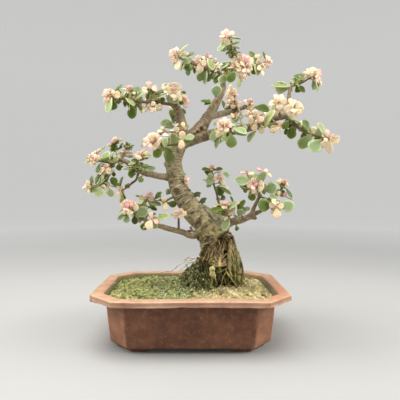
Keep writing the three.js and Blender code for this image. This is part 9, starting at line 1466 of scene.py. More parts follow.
def build_roots(mat):
    rng = np.random.default_rng(77)
    bag = Bag()
    for name, tone, path in ROOTS:
        big = max(p[3] for p in path)
        add_root(bag, path, tone, rng, sides=14 if tone == "n" else 12 if big > 1.8 else 10, step=0.5 if tone == "n" else 0.9 if big > 1.8 else 1.0, wander=0.1 if tone in "nys" else 0.35)
    root_finish(bag, "surface_roots", mat, 0.26, 0.61)

    bag = Bag()
    for path in ROOTLETS:
        add_root(bag, path, "s", rng, sides=7, step=0.8, wander=0.5, swell=0.2)
    # fine roots that cling to the column and run into the moss
    for i in range(150):
        a = rng.uniform(0, 2 * math.pi)
        z0 = rng.uniform(66, 108)
        if math.sin(a) < -0.2:
            z0 = min(z0, float(bark_line(30 + 18 * math.cos(a))) - 2)
        z1 = max(55, z0 - rng.uniform(10, 36))
        n = 7
        row = []
        tw = rng.uniform(-0.55, 0.55)
        out = rng.uniform(-2.2, 1.3)
        r0 = rng.uniform(0.24, 0.55)
        flare = rng.uniform(0, 5) if z1 < 60 else 0
        p = rng.uniform(0, 6.28, 2)
        for k in range(n):
            f = k / (n - 1)
            z = z0 + (z1 - z0) * f
            xc, yc, rx, ry = column_at(z)
            b = a + tw * f + 0.12 * math.sin(5 * f + p[0])
            sp = out * (0.6 + 0.4 * math.sin(f * 3 + p[1])) + flare * max(0, f - 0.7) * 3
            row.append([xc + (rx + sp) * math.cos(b), yc + (ry + sp) * math.sin(b), z, r0 * (1 - 0.4 * f)])
        add_root(bag, row, rng.choice(list("bbtog")), rng, sides=5, step=1.4, wander=0.4, swell=0.2)
    # thin ribs down the right of the front
    for i in range(34):
        a = rng.uniform(-0.95, -0.12)
        z0 = rng.uniform(84, 109)
        z1 = rng.uniform(56, 74)
        tw, p = rng.uniform(-0.12, 0.12), rng.uniform(0, 6.28)
        out, r0 = rng.uniform(0.3, 1.5), rng.uniform(0.34, 0.62)
        row = []
        for f in np.linspace(0, 1, 7):
            z = z0 + (z1 - z0) * f
            xc, yc, rx, ry = column_at(z)
            b = a + tw * f + 0.05 * math.sin(7 * f + p)
            row.append([xc + (rx + out) * math.cos(b), yc + (ry + out) * math.sin(b), z, r0 * (1 - 0.3 * f)])
        add_root(bag, row, rng.choice(list("ttgrb")), rng, sides=6, step=1.2, wander=0.5, swell=0.2)
    # a tangle inside the hollow on the front
    for i in range(56):
        x0, x1 = rng.uniform(24, 42, 2)
        z0 = rng.uniform(94, 108)
        z1 = z0 - rng.uniform(5, 20)
        q = []
        dep = rng.uniform(-5.5, -0.8)
        for f in np.linspace(0, 1, 6):
            x = x0 + (x1 - x0) * 0.6 * f + 1.3 * math.sin(6 * f + i)
            z = z0 + (z1 - z0) * f
            xc, yc, rx, ry = column_at(z)
            u = min(0.96, max(-0.96, (x - xc) / rx))
            y = yc - ry * math.sqrt(1 - u * u) - dep * 0.8 + 0.8 * math.sin(4 * f + i * 2)
            q.append([x, y, z, rng.uniform(0.22, 0.5)])
        add_root(bag, q, rng.choice(list("bbtug")), rng, sides=6, step=1.2, wander=0.5, swell=0.2)
    # strands that hang across the mouth of the hollow
    for i in range(34):
        f0 = rng.random()
        a = np.array([24.5 + 17.5 * f0, 106.5 + 3.5 * f0 - 6 * f0 * (1 - f0)])
        b = np.array([21 + 17 * np.clip(f0 + rng.normal(0, 0.22), 0, 1), rng.uniform(88, 94)])
        bow = rng.uniform(-2.5, 2.5)
        dep = rng.uniform(-2.2, 0.6)
        w = rng.uniform(0.24, 0.55)
        q = []
        for f in np.linspace(0, 1, 6):
            x = a[0] + (b[0] - a[0]) * f + bow * math.sin(math.pi * f)
            z = a[1] + (b[1] - a[1]) * f
            xc, yc, rx, ry = column_at(z)
            u = min(0.96, max(-0.96, (x - xc) / rx))
            q.append([x, yc - ry * math.sqrt(1 - u * u) - dep * math.sin(math.pi * min(1, f + 0.2)) - 0.6, z, w * (1 - 0.3 * f)])
        add_root(bag, q, rng.choice(list("ttbus")), rng, sides=6, step=1.2, wander=0.5, swell=0.2)
    # dry fibres spread over the old stump root
    c = np.array(STUMP[0])
    for i in range(130):
        a = rng.uniform(0.12, math.pi - 0.12)
        L = rng.uniform(6.0, 9.5) if i % 2 else rng.uniform(9.0, 13.5)
        dirx, dirz = math.cos(a) * 0.86, math.sin(a) * 1.08
        up = rng.uniform(0.0, 0.9)
        w = rng.uniform(0.18, 0.40)
        q = []
        for f in np.linspace(0.06, 1, 6):
            x = c[0] + L * f * dirx
            z = c[2] + L * f * dirz
            xc, yc, rx, ry = column_at(z)
            u = min(0.96, max(-0.96, (x - xc) / rx))
            y = yc - ry * math.sqrt(1 - u * u) - STUMP[1] * (0.75 + 0.45 * math.sin(math.pi * min(1, f * 0.9 + 0.1))) * (1 - 0.6 * f ** 3) - up
            q.append([x, y, z, w * (1.15 - 0.6 * f)])
        add_root(bag, q, "s" if rng.random() < 0.66 else "b", rng, sides=5, step=1.4, wander=0.35, swell=0.15)
    root_finish(bag, "rootlets", mat, 0.05, 0.72)


# ------------------------------------------------------------------ moss and soil

def plan_ring(k, count, inset):
    L, D, C = inside(MOSS_EDGE_Z, inset)
    o = octagon(L, D, C)
    out = []
    for i in range(count):
        t = i / count * 8
        a, b = o[int(t) % 8], o[(int(t) + 1) % 8]
        f = t - int(t)
        out.append([(a[0] + (b[0] - a[0]) * f) * k, (a[1] + (b[1] - a[1]) * f) * k])
    return np.array(out)


def octagon(L, D, C):
    x, y = L / 2, D / 2
    return [(x, -y + C), (x, y - C), (x - C, y), (-x + C, y), (-x, y - C), (-x, -y + C), (-x + C, -y), (x - C, -y)]


def inside(z, inset=0.0):
    """Length, depth and corner cut of the pot's inside at height z."""
    Z = [r[0] for r in INSIDE]
    k = [float(np.interp(z, Z, [r[i] for r in INSIDE])) for i in (1, 2, 3)]
    return k[0] - 2 * inset, k[1] - 2 * inset, k[2] - 0.59 * inset


def ground(x, y, e):
    """Height of the moss at x, y; e is 0 in the middle and 1 beside the rim."""
    mx, my = MOUND["x"], MOUND["y"]
    dx = (x - mx) / np.where(x < mx, MOUND["left"], MOUND["right"])
    dy = (y - my) / np.where(y < my, MOUND["front"], MOUND["back"])
    d = np.sqrt(dx * dx + dy * dy)
    ripple = 0.5 * np.sin(x * 0.21 + 1.3) * np.cos(y * 0.26 - 0.4) + 0.35 * np.sin(x * 0.43 + y * 0.37)
    return MOSS_EDGE_Z + (SOIL_EDGE_Z + SOIL_CROWN - MOSS_EDGE_Z) * (1 - e * e) + MOUND["height"] * np.maximum(0, 1 - d) + ripple


def moss_lumps(P):
    """Hummocks and pits of the moss at rows (x, y, z, distance from the rim)."""
    far = smooth(0.0, 5.0, P[:, 3])
    X = P[:, :3] * [1, 1, 0.4]
    h = 1.7 * fbm(X, 10.0, 2, 101) + 1.3 * fbm(X, 3.6, 2, 102)
    pit = smooth(0.16, 0.5, noise(X, 2.8, 103) + 0.35 * noise(X, 7.0, 104))
    return (h - 2.1 * pit) * far, pit


def build_ground(moss_mat):
    steps, count = 64, 288
    rings = []
    for k in range(1, steps + 1):
        e = k / steps
        p = plan_ring(e, count, 0.35)
        z = ground(p[:, 0], p[:, 1], e)
        rings.append(np.column_stack([p, z, np.full(count, (1 - e) * 58)]))
    top = np.vstack([np.vstack(rings[::-1]), [[0, 0, ground(np.array([0.0]), np.array([0.0]), 0)[0], 50]]])
    h, pit = moss_lumps(top)
    V = top[:, :3].copy()
    V[:, 2] += h
    loose = smooth(0, 6, top[:, 3])
    V[:, 0] += 0.6 * noise(top[:, :3], 3.1, 111) * loose
    V[:, 1] += 0.6 * noise(top[:, :3], 3.1, 112) * loose
    n = steps
    i, j = np.meshgrid(np.arange(n - 1), np.arange(count), indexing="ij")
    k = (j + 1) % count
    Q = np.stack([i * count + j, i * count + k, (i + 1) * count + k, (i + 1) * count + j], -1).reshape(-1, 4)
    j = np.arange(count)
    T = np.stack([np.full(count, n * count), (n - 1) * count + j, (n - 1) * count + (j + 1) % count], 1)
    # skirt and underside close the mat
    low = V[:count] * [0.98, 0.97, 1] - [0, 0, 4.0]
    base = len(V)
    V = np.vstack([V, low, [[0, 0, SOIL_EDGE_Z - 3.5]]])
    k = (j + 1) % count
    Q = np.vstack([Q, np.stack([base + j, base + k, k, j], 1)])
    T = np.vstack([T, np.stack([np.full(count, base + count), base + k, base + j], 1)])
    C = moss_colour(V, np.concatenate([pit, np.zeros(count + 1)])) * 0.84
    ob = make_object("moss_mat", metres(V), Q, T, [moss_mat], None, C, np.zeros(len(V)))
    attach(ob, "root")
    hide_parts("moss")


def moss_colour(V, pit):
    n1 = 0.5 + 0.5 * fbm(V, 18, 2, 121)
    n2 = 0.5 + 0.5 * fbm(V, 4.6, 3, 122)
    n3 = 0.5 + 0.5 * noise(V, 1.5, 123)
    n4 = 0.5 + 0.5 * noise(V, 2.6, 124)
    n5 = 0.5 + 0.5 * fbm(V, 10, 2, 125)
    x = V[:, 0] + 14 * (n1 - 0.5)
    C = mix(srgb(118, 128, 68), srgb(174, 178, 110), smooth(0.28, 0.66, n2))
    # greyer in the middle, straw-coloured towards the right and along the front
    C = mix(C, srgb(140, 150, 112), smooth(-52, -30, x) * smooth(26, 6, x) * smooth(0.35, 0.6, n5) * 0.6)
    straw = smooth(8, 34, x) * (0.55 + 0.45 * smooth(0.3, 0.55, n2)) + 0.35 * smooth(0.55, 0.75, n1) + 0.5 * smooth(-8, 14, x) * smooth(-26, -44, V[:, 1])
    C = mix(C, mix(srgb(138, 122, 84), srgb(192, 176, 132), smooth(0.3, 0.7, n2)), np.clip(straw, 0, 0.9))
    C = mix(C, srgb(150, 176, 92), smooth(0.62, 0.8, n5) * smooth(0.4, 0.7, n4) * 0.55)
    C = mix(C, srgb(206, 204, 150), smooth(0.64, 0.84, n3) * 0.5)
    C = mix(C, srgb(72, 78, 34), smooth(0.40, 0.20, n3) * 0.5)
    d = np.sqrt(((V[:, 0] - MOUND["x"] - 1) / 27) ** 2 + ((V[:, 1] - MOUND["y"] + 6) / 34) ** 2)
    dark = mix(srgb(46, 48, 16), srgb(110, 108, 56), smooth(0.34, 0.68, n2))
    dark = mix(dark, srgb(172, 166, 110), smooth(0.60, 0.82, n3) * 0.7) * 0.80
    C = mix(C, dark, smooth(1.08, 0.7, d + 0.25 * (n5 - 0.5)) * 0.82)
    # the pits are painted near-black: painted shade
    C = mix(C, srgb(40, 40, 20), np.clip(pit * 0.9, 0, 1))
    C = C * (1.34 + 0.12 * smooth(-30, -60, V[:, 0]) + 0.62 * smooth(8, 40, V[:, 0]))[:, None] * [1.04, 0.985, 1.0 + 0.06 * 1]
    return np.clip(C, 0, 1)


def blob():
    """A small twelve-cornered lump with triangles."""
    g = (1 + math.sqrt(5)) / 2
    V = unit(np.array([(-1, g, 0), (1, g, 0), (-1, -g, 0), (1, -g, 0), (0, -1, g), (0, 1, g), (0, -1, -g), (0, 1, -g), (g, 0, -1), (g, 0, 1), (-g, 0, -1), (-g, 0, 1)], float))
    T = np.array([(0, 11, 5), (0, 5, 1), (0, 1, 7), (0, 7, 10), (0, 10, 11), (1, 5, 9), (5, 11, 4), (11, 10, 2), (10, 7, 6), (7, 1, 8), (3, 9, 4), (3, 4, 2), (3, 2, 6), (3, 6, 8), (3, 8, 9), (4, 9, 5), (2, 4, 11), (6, 2, 10), (8, 6, 7), (9, 8, 1)])
    return V, T


def lens():
    """A thin oval flake, pointed at one end."""
    a = np.arange(8) / 8 * 2 * math.pi
    x = np.cos(a) * np.where(np.cos(a) > 0, 1.35, 0.9)
    V = np.vstack([np.stack([x, 0.72 * np.sin(a), -0.10 * x ** 2], 1), [[0, 0, 0.20], [0, 0, -0.12]]])
    j = np.arange(8)
    k = (j + 1) % 8
    T = np.vstack([np.stack([np.full(8, 8), j, k], 1), np.stack([np.full(8, 9), k, j], 1)])
    return V, T


def on_moss(rng, count, inset, where=None):
    """Seeded places on the moss, away from its deep pits: rows x, y, z."""
    L, D, C = inside(MOSS_EDGE_Z, inset)
    got = []
    total = 0
    while total < count:
        x, y = rng.uniform(-L / 2, L / 2, 4000), rng.uniform(-D / 2, D / 2, 4000)
        m = np.abs(x) + np.abs(y) < L / 2 + D / 2 - C
        if where is not None:
            m &= where(x, y, rng)
        x, y = x[m], y[m]
        e = np.maximum(np.maximum(np.abs(x) / (L / 2), np.abs(y) / (D / 2)), (np.abs(x) + np.abs(y)) / (L / 2 + D / 2 - C))
        P = np.column_stack([x, y, ground(x, y, e), (1 - e) * 58])
        h, pit = moss_lumps(P)
        P[:, 2] += h
        P = P[pit < 0.6]
        got.append(P[:, :3])
        total += len(P)
    return np.vstack(got)[:count]


def scatter(bag, shape, P, size, rng, tilt, lift, tone=(0.72, 1.28), shade=0.4, colour=None):
    """Copies of a small shape at the places P, each turned, sized and coloured by itself."""
    BV, BT = shape
    n, m = len(P), len(BV)
    S = rng.uniform(size[0], size[1], (n, 1)) * rng.uniform(0.8, 1.25, (n, 3)) * [1, 1, 0.8]
    V = BV[None] * S[:, None] * (1 + 0.16 * rng.standard_normal((n, m, 1)))
    t = rng.uniform(0, tilt, n)
    c, s = np.cos(t)[:, None], np.sin(t)[:, None]
    V = np.stack([V[..., 0] * c + V[..., 2] * s, V[..., 1], -V[..., 0] * s + V[..., 2] * c], -1)
    a = rng.uniform(0, 2 * math.pi, n)
    c, s = np.cos(a)[:, None], np.sin(a)[:, None]
    V = np.stack([V[..., 0] * c - V[..., 1] * s, V[..., 0] * s + V[..., 1] * c, V[..., 2]], -1)
    rel = V[..., 2] / np.maximum(S[:, :1], 1e-6)
    V = V + P[:, None] + [0, 0, lift]
    flat = V.reshape(-1, 3)
    base = np.repeat(P, m, 0)
    C = moss_colour(base, np.zeros(len(flat))) if colour is None else colour(base)
    C = C * np.repeat(rng.uniform(tone[0], tone[1], n), m)[:, None]
    C = C * (1 - shade + shade * smooth(-0.8, 0.7, rel.reshape(-1)))[:, None]
    T = (BT[None] + (np.arange(n) * m)[:, None, None]).reshape(-1, 3)
    bag.add(flat, None, T, col=np.clip(C, 0, 1), seed=np.repeat(rng.random(n), m))


def build_tufts(mat):
    """Leafy moss, scales, blades, bits of straw and grit on the mat."""
    rng = np.random.default_rng(9)
    bag = Bag()

    def on_mound(x, y, r):
        d = np.sqrt(((x - MOUND["x"]) / 36) ** 2 + ((y - MOUND["y"] + 4) / 36) ** 2)
        return d < 1

    scatter(bag, blob(), on_moss(rng, 1500, 1.2), (0.5, 1.1), rng, 0.5, 0.1, tone=(0.74, 1.24))
    scatter(bag, lens(), on_moss(rng, 3700, 1.4), (0.55, 1.6), rng, 0.7, 0.3, tone=(0.70, 1.34))
    scatter(bag, lens(), on_moss(rng, 1500, 2.2, on_mound), (0.8, 1.9), rng, 1.35, 0.6, tone=(0.5, 1.8))
    grit = lambda base: mix(srgb(120, 96, 62), srgb(206, 190, 146), 0.5 + 0.5 * noise(base, 5, 131))
    scatter(bag, blob(), on_moss(rng, 170, 3.0), (0.4, 0.9), rng, 1.0, 0.4, tone=(0.7, 1.2), colour=grit)
    # straw, dead stems and runners lying over the moss
    P = on_moss(rng, 620, 3.0)
    for i, p in enumerate(P):
        a = rng.uniform(0, 2 * math.pi)
        long = i % 3 == 0
        L = rng.uniform(4, 11) if long else rng.uniform(2.2, 4.8)
        bow = rng.uniform(-0.35, 0.35) if long else rng.uniform(-1.1, 1.1)
        w = rng.uniform(0.12, 0.24) if long else rng.uniform(0.18, 0.36)
        row = []
        for f in np.linspace(-0.5, 0.5, 5):
            x, y = p[0] + L * f * math.cos(a) - bow * L * (0.25 - f * f) * math.sin(a), p[1] + L * f * math.sin(a) + bow * L * (0.25 - f * f) * math.cos(a)
            row.append([x, y, p[2] + 0.5 + 1.2 * (0.25 - f * f) * 4 * rng.uniform(0.2, 1.0), w])
        V, Q, T, al = tube(np.array(row), 4, 2.2)
        c = mix(srgb(136, 152, 78), srgb(214, 204, 150), min(1.0, rng.random() + 0.35 * (p[0] > 8)))
        bag.add(V, Q, T, col=c * rng.uniform(0.65, 1.15), seed=rng.random())
    # larger chips of bark beside the rim
    for (x, y, z), r, c in BITS:
        BV, BT = blob()
        V = BV * np.array(r) * (1 + 0.2 * rng.standard_normal((12, 1))) + [x, y, z]
        bag.add(V, None, BT, col=srgb(*c), seed=0.5)
    ob = bag.mesh("moss_tufts", [mat])
    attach(ob, "root")


def moss_material():
    m, nt, b = shader("moss")
    P = place(nt)
    col = attribute(nt, "col")
    fine = noise_node(nt, P, 1100, 4, 0.7)
    c = blend(nt, "MULTIPLY", 1.0, col, ramp(nt, fine, [(0.25, 0.55), (0.5, 0.97), (0.75, 1.36)]))
    warm = noise_node(nt, P, 420, 2, 0.5)
    c = blend(nt, "MIX", ramp(nt, warm, [(0.55, 0.0), (0.75, 0.35)]), c, tuple(srgb(186, 182, 128)))
    nt.links.new(c, b.inputs["Base Color"])
    b.inputs["Roughness"].default_value = 0.92
    b.inputs["Specular IOR Level"].default_value = 0.08
    b.inputs["Sheen Weight"].default_value = 0.05
    b.inputs["Sheen Roughness"].default_value = 0.6
    bump(nt, b, fine, 0.0008, 0.8)
    return m


def soil_material():
    m, nt, b = shader("soil")
    P = place(nt)
    big = noise_node(nt, P, 300, 4, 0.65)
    cells = node(nt, "ShaderNodeTexVoronoi", feature="F1")
    cells.inputs["Scale"].default_value = 420
    nt.links.new(P, cells.inputs["Vector"])
    c = ramp(nt, big, [(0.3, tuple(srgb(52, 38, 26))), (0.55, tuple(srgb(88, 66, 46))), (0.75, tuple(srgb(124, 98, 70)))])
    c = blend(nt, "MULTIPLY", 0.7, c, ramp(nt, cells.outputs["Distance"], [(0.0, 1.15), (0.6, 0.5)]))
    nt.links.new(c, b.inputs["Base Color"])
    b.inputs["Roughness"].default_value = 0.95
    bump(nt, b, cells.outputs["Distance"], 0.0015, 0.8)
    return m


def screen_material():
    m, nt, b = shader("screen_plastic")
    P = place(nt)
    n = noise_node(nt, P, 900, 3, 0.6)
    nt.links.new(ramp(nt, n, [(0.3, tuple(srgb(34, 36, 34))), (0.7, tuple(srgb(54, 56, 52)))]), b.inputs["Base Color"])
    nt.links.new(ramp(nt, n, [(0.3, 0.45), (0.7, 0.7)]), b.inputs["Roughness"])
    return m


# ------------------------------------------------------------------ pot

SIDE = 30


def dense_ring(L, D, C, r=2):
    o = octagon(L, D, C)
    pts = []
    for i in range(8):
        a, b = np.array(o[i]), np.array(o[(i + 1) % 8])
        # closer together near the corners
        t = np.arange(SIDE) / SIDE
        t = 0.5 - 0.5 * np.cos(np.pi * t)
        pts.append(a + (b - a) * t[:, None])
    P = np.vstack(pts)
    for _ in range(r):
        P = 0.5 * P + 0.25 * (np.roll(P, 1, 0) + np.roll(P, -1, 0))
    return P


def build_pot(mat):
    fl, fd, fc = BODY_FOOT
    bl, bd, bc = BODY_TOP
    top = POT[2]
    rf = top - RIM_HEIGHT
    outer = [  # z, length, depth, corner cut, how rounded
        (FOOT_HEIGHT, 20, 14, 3, 1), (FOOT_HEIGHT, fl - 40, fd - 40, fc - 8, 1), (FOOT_HEIGHT, fl - 12, fd - 12, fc - 3.6, 2),
        (FOOT_HEIGHT, fl - 6.5, fd - 6.5, fc - 1.9, 3), (FOOT_HEIGHT + 0.15, fl - 4.0, fd - 4.0, fc - 1.2, 7),
        (FOOT_HEIGHT + 0.7, fl - 2.0, fd - 2.0, fc - 0.6, 12), (FOOT_HEIGHT + 1.6, fl - 0.8, fd - 0.8, fc - 0.2, 18),
        (FOOT_HEIGHT + 2.8, fl - 0.1, fd - 0.1, fc, 24), (FOOT_HEIGHT + 4.6, fl + 0.3, fd + 0.3, fc + 0.1, 28)]
    z0, z1 = FOOT_HEIGHT + 7.0, rf - 3.4
    for k in range(15):
        f = k / 14
        bulge = 0.5 * math.sin(math.pi * f)
        outer.append((z0 + (z1 - z0) * f, fl + 0.5 + (bl - fl - 1.4) * f + bulge, fd + 0.5 + (bd - fd - 1.4) * f + bulge, fc + (bc - fc) * f, 30))
    outer += [
        (rf - 1.9, bl - 0.4, bd - 0.4, bc, 24), (rf - 0.9, bl + 0.4, bd + 0.4, bc, 16), (rf - 0.35, bl + 2.4, bd + 2.4, bc + 0.3, 9),
        (rf - 0.15, POT[0] - 12, POT[1] - 12, RIM_CHAMFER - 1.6, 3), (rf - 0.1, POT[0] - 4, POT[1] - 4, RIM_CHAMFER - 0.9, 3),
        (rf - 0.1, POT[0] - 1.6, POT[1] - 1.6, RIM_CHAMFER - 0.4, 3), (rf + 0.2, POT[0] - 0.3, POT[1] - 0.3, RIM_CHAMFER, 3),
        (rf + 0.7, POT[0] + 0.3, POT[1] + 0.3, RIM_CHAMFER, 3), (rf + 1.3, POT[0] + 0.2, POT[1] + 0.2, RIM_CHAMFER, 3), (rf + 1.9, POT[0] - 0.3, POT[1] - 0.3, RIM_CHAMFER, 3),
        (rf + 2.8, POT[0] - 0.4, POT[1] - 0.4, RIM_CHAMFER, 3), (rf + 3.7, POT[0] - 0.3, POT[1] - 0.3, RIM_CHAMFER, 3),
        (rf + 4.6, POT[0] - 0.2, POT[1] - 0.2, RIM_CHAMFER, 3), (top - 0.6, POT[0] - 0.6, POT[1] - 0.6, RIM_CHAMFER - 0.1, 3),
        (top - 0.22, POT[0] - 1.3, POT[1] - 1.3, RIM_CHAMFER - 0.3, 3), (top - 0.04, POT[0] - 2.4, POT[1] - 2.4, RIM_CHAMFER - 0.6, 3)]
    for k in range(1, 8):
        f = k / 8
        a = (POT[0] - 2.4, POT[1] - 2.4, RIM_CHAMFER - 0.6)
        b = inside(top, -0.5)
        outer.append((top + 0.10 * math.sin(math.pi * f), *(a[i] + (b[i] - a[i]) * f for i in range(3)), 3))
    first_inner = len(outer)
    for dz, ins, r in ((0.05, -0.5, 3), (0.35, 0.0, 3), (0.8, 0.1, 4), (1.6, 0.1, 5), (2.6, 0.0, 5), (3.8, -0.1, 6), (5.2, 0.0, 6), (6.5, 0.1, 6), (9.0, 0.2, 6), (14, 0.2, 6), (22, 0.1, 6), (34, 0.0, 6)):
        outer.append((top - dz, *inside(top - dz, ins), r))
    outer += [(FLOOR_Z + 3.0, *inside(FLOOR_Z + 3, 0.2), 6), (FLOOR_Z + 0.6, *inside(FLOOR_Z, 2.2), 6), (FLOOR_Z, *inside(FLOOR_Z, 5), 5), (FLOOR_Z, 30, 20, 4, 1)]
    rows = []
    for z, L, D, C, r in outer:
        p = dense_ring(L, D, C, r)
        rows.append(np.column_stack([p, np.full(len(p), z)]))
    n, m = len(rows), len(rows[0])
    V = np.vstack(rows)
    i, j = np.meshgrid(np.arange(n - 1), np.arange(m), indexing="ij")
    k = (j + 1) % m
    Q = np.stack([i * m + j, i * m + k, (i + 1) * m + k, (i + 1) * m + j], -1).reshape(-1, 4)
    j = np.arange(m)
    T = np.vstack([np.stack([np.full(m, n * m), (j + 1) % m, j], 1), np.stack([np.full(m, n * m + 1), (n - 1) * m + j, (n - 1) * m + (j + 1) % m], 1)])
    V = np.vstack([V, [0, 0, FOOT_HEIGHT], [0, 0, FLOOR_Z]])
    N = normals(V, Q, T)
    row = np.concatenate([np.repeat(np.arange(n), m), [0, n - 1]])
    inner = smooth(first_inner - 0.5, first_inner + 1.5, row)
    zt = smooth(40, 50, V[:, 2])
    # hand-pressed clay: slow warps, faint dents, worn edges
    V = V + N * (0.30 * fbm(V, 34, 2, 201) + 0.14 * fbm(V, 9, 2, 202) + 0.05 * fbm(V, 2.2, 2, 203))[:, None]
    V[:, 2] += zt * (0.45 * np.sin(V[:, 0] * 0.045 + 0.8) * (V[:, 1] < 0) + 0.5 * fbm(V * [1, 1, 0], 40, 2, 204))
    under = np.exp(-((V[:, 2] - (rf + 0.3)) / 1.6) ** 2) * (1 - inner) * smooth(88, 92, np.abs(V[:, 0]) + np.abs(V[:, 1]) * 0.25)
    V[:, 2] -= under * (1.3 * np.exp(-(((V[:, 0] + 98) / 12) ** 2 + ((V[:, 1] + 46) / 16) ** 2)) + 0.25 * fbm(V, 12, 2, 207))
    V[:, 2] -= np.exp(-((V[:, 2] - (rf + 0.3)) / 1.3) ** 2) * (1 - inner) * 0.45 * np.maximum(-0.4, fbm(V, 9, 2, 208) + 0.5 * fbm(V, 3.5, 2, 209))
    edge = np.exp(-((V[:, 2] - (rf + 0.2)) / 0.9) ** 2) * (1 - inner) + np.exp(-((V[:, 2] - top) / 0.7) ** 2) * smooth(4.0, 1.5, rim_distance(V))
    nick = np.maximum(0, fbm(V, 3.0, 2, 205) - 0.25) * 2.2
    V -= N * (edge * nick)[:, None]
    for c, r, d in CHIPS:
        g = np.exp(-(np.linalg.norm(V - np.array(c), axis=1) / r) ** 2)
        rag = 0.7 + 0.6 * noise(V, 1.1, 206)
        V -= unit(np.array([c[0], c[1], 0.0]) + [0, 0, -18]) * (g * d * rag)[:, None]
    bag = Bag()
    bag.add(V, Q, T, col=clay_colour(V, N, rf, top, inner), seed=0)
    # four L-shaped corner feet
    ox, oy, c, w, a = fl / 2 - 6.5, fd / 2 - 6.5, fc - 4, FOOT_WIDTH, FOOT_LENGTH
    plan = np.array([(ox, oy - c - 6), (ox, oy - c), (ox - c, oy), (ox - c - a + 8, oy), (ox - c - a + 8, oy - w), (ox - c - w * 0.42, oy - w), (ox - w, oy - c - w * 0.42), (ox - w, oy - c - 6)])
    for sx in (1, -1):
        for sy in (1, -1):
            P = []
            for q in range(8):
                p0, p1 = plan[q], plan[(q + 1) % 8]
                num = max(2, int(np.linalg.norm(p1 - p0) / 1.2))
                P.append(p0 + (p1 - p0) * (np.arange(num) / num)[:, None])
            P = np.vstack(P)
            if sx * sy < 0:
                P = P[::-1]
            P = P * [sx, sy]
            for _ in range(3):
                P = 0.5 * P + 0.25 * (np.roll(P, 1, 0) + np.roll(P, -1, 0))
            mid = P.mean(0)
            rows = []
            for z, k in ((0.0, 0.90), (0.15, 0.955), (0.7, 0.985), (1.6, 0.995), (2.8, 1.0), (3.8, 1.01), (4.6, 1.05), (5.4, 1.05)):
                rows.append(np.column_stack([inset_ring(P, (1 - k) * 14), np.full(len(P), z)]))
            n, m = len(rows), len(P)
            FV = np.vstack(rows)
            i, j = np.meshgrid(np.arange(n - 1), np.arange(m), indexing="ij")
            k = (j + 1) % m
            FQ = np.stack([i * m + j, i * m + k, (i + 1) * m + k, (i + 1) * m + j], -1).reshape(-1, 4)
            # flat underside and top, each as a strip across the L
            half = m // 2
            FT = []
            for base, turn in ((0, -1), ((n - 1) * m, 1)):
                for t in tri_polygon(rows[0][:, :2] if base == 0 else rows[-1][:, :2]):
                    t = [base + x for x in t]
                    FT.append(t if turn > 0 else t[::-1])
            FN = normals(FV, FQ, np.array(FT))
            keep = smooth(0.0, 0.8, FV[:, 2])
            FV = FV + FN * (keep * (0.16 * fbm(FV, 7, 2, 211)))[:, None]
            # the feet are painted a fifth darker: painted shade under the pot
            bag.add(FV, FQ, FT, col=clay_colour(FV, FN, rf, top, np.zeros(len(FV))) * 0.8, seed=0)
    ob = bag.mesh("clay_pot", [mat])
    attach(ob, "root")
    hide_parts("pot")


def inset_ring(P, d):
    """Moves a closed outline inwards by d."""
    t = unit(np.roll(P, -1, 0) - np.roll(P, 1, 0))
    n = np.column_stack([-t[:, 1], t[:, 0]])
    return P + n * d


def tri_polygon(P):
    """Ear clipping of a simple outline."""
    idx = list(range(len(P)))
    area = 0.5 * sum(P[i][0] * P[(i + 1) % len(P)][1] - P[(i + 1) % len(P)][0] * P[i][1] for i in range(len(P)))
    sgn = 1 if area > 0 else -1
    out = []

    def cross(a, b, c):
        return ((b[0] - a[0]) * (c[1] - a[1]) - (b[1] - a[1]) * (c[0] - a[0])) * sgn

    guard = 0
    while len(idx) > 3 and guard < 20000:
        guard += 1
        done = False
        for k in range(len(idx)):
            a, b, c = idx[k - 1], idx[k], idx[(k + 1) % len(idx)]
            if cross(P[a], P[b], P[c]) <= 1e-9:
                continue
            if any(cross(P[a], P[b], P[q]) >= 0 and cross(P[b], P[c], P[q]) >= 0 and cross(P[c], P[a], P[q]) >= 0 for q in idx if q not in (a, b, c)):
                continue
            out.append((a, b, c) if sgn > 0 else (c, b, a))
            idx.pop(k)
            done = True
            break
        if not done:
            idx.pop(0)
    if len(idx) == 3:
        out.append(tuple(idx) if sgn > 0 else tuple(idx[::-1]))
    return out


def rim_distance(V):
    """Distance inwards from the rim's outline."""
    x, y = np.abs(V[:, 0]), np.abs(V[:, 1])
    return np.minimum(np.minimum(POT[0] / 2 - x, POT[1] / 2 - y), (POT[0] / 2 + POT[1] / 2 - RIM_CHAMFER - x - y) * 0.7071)


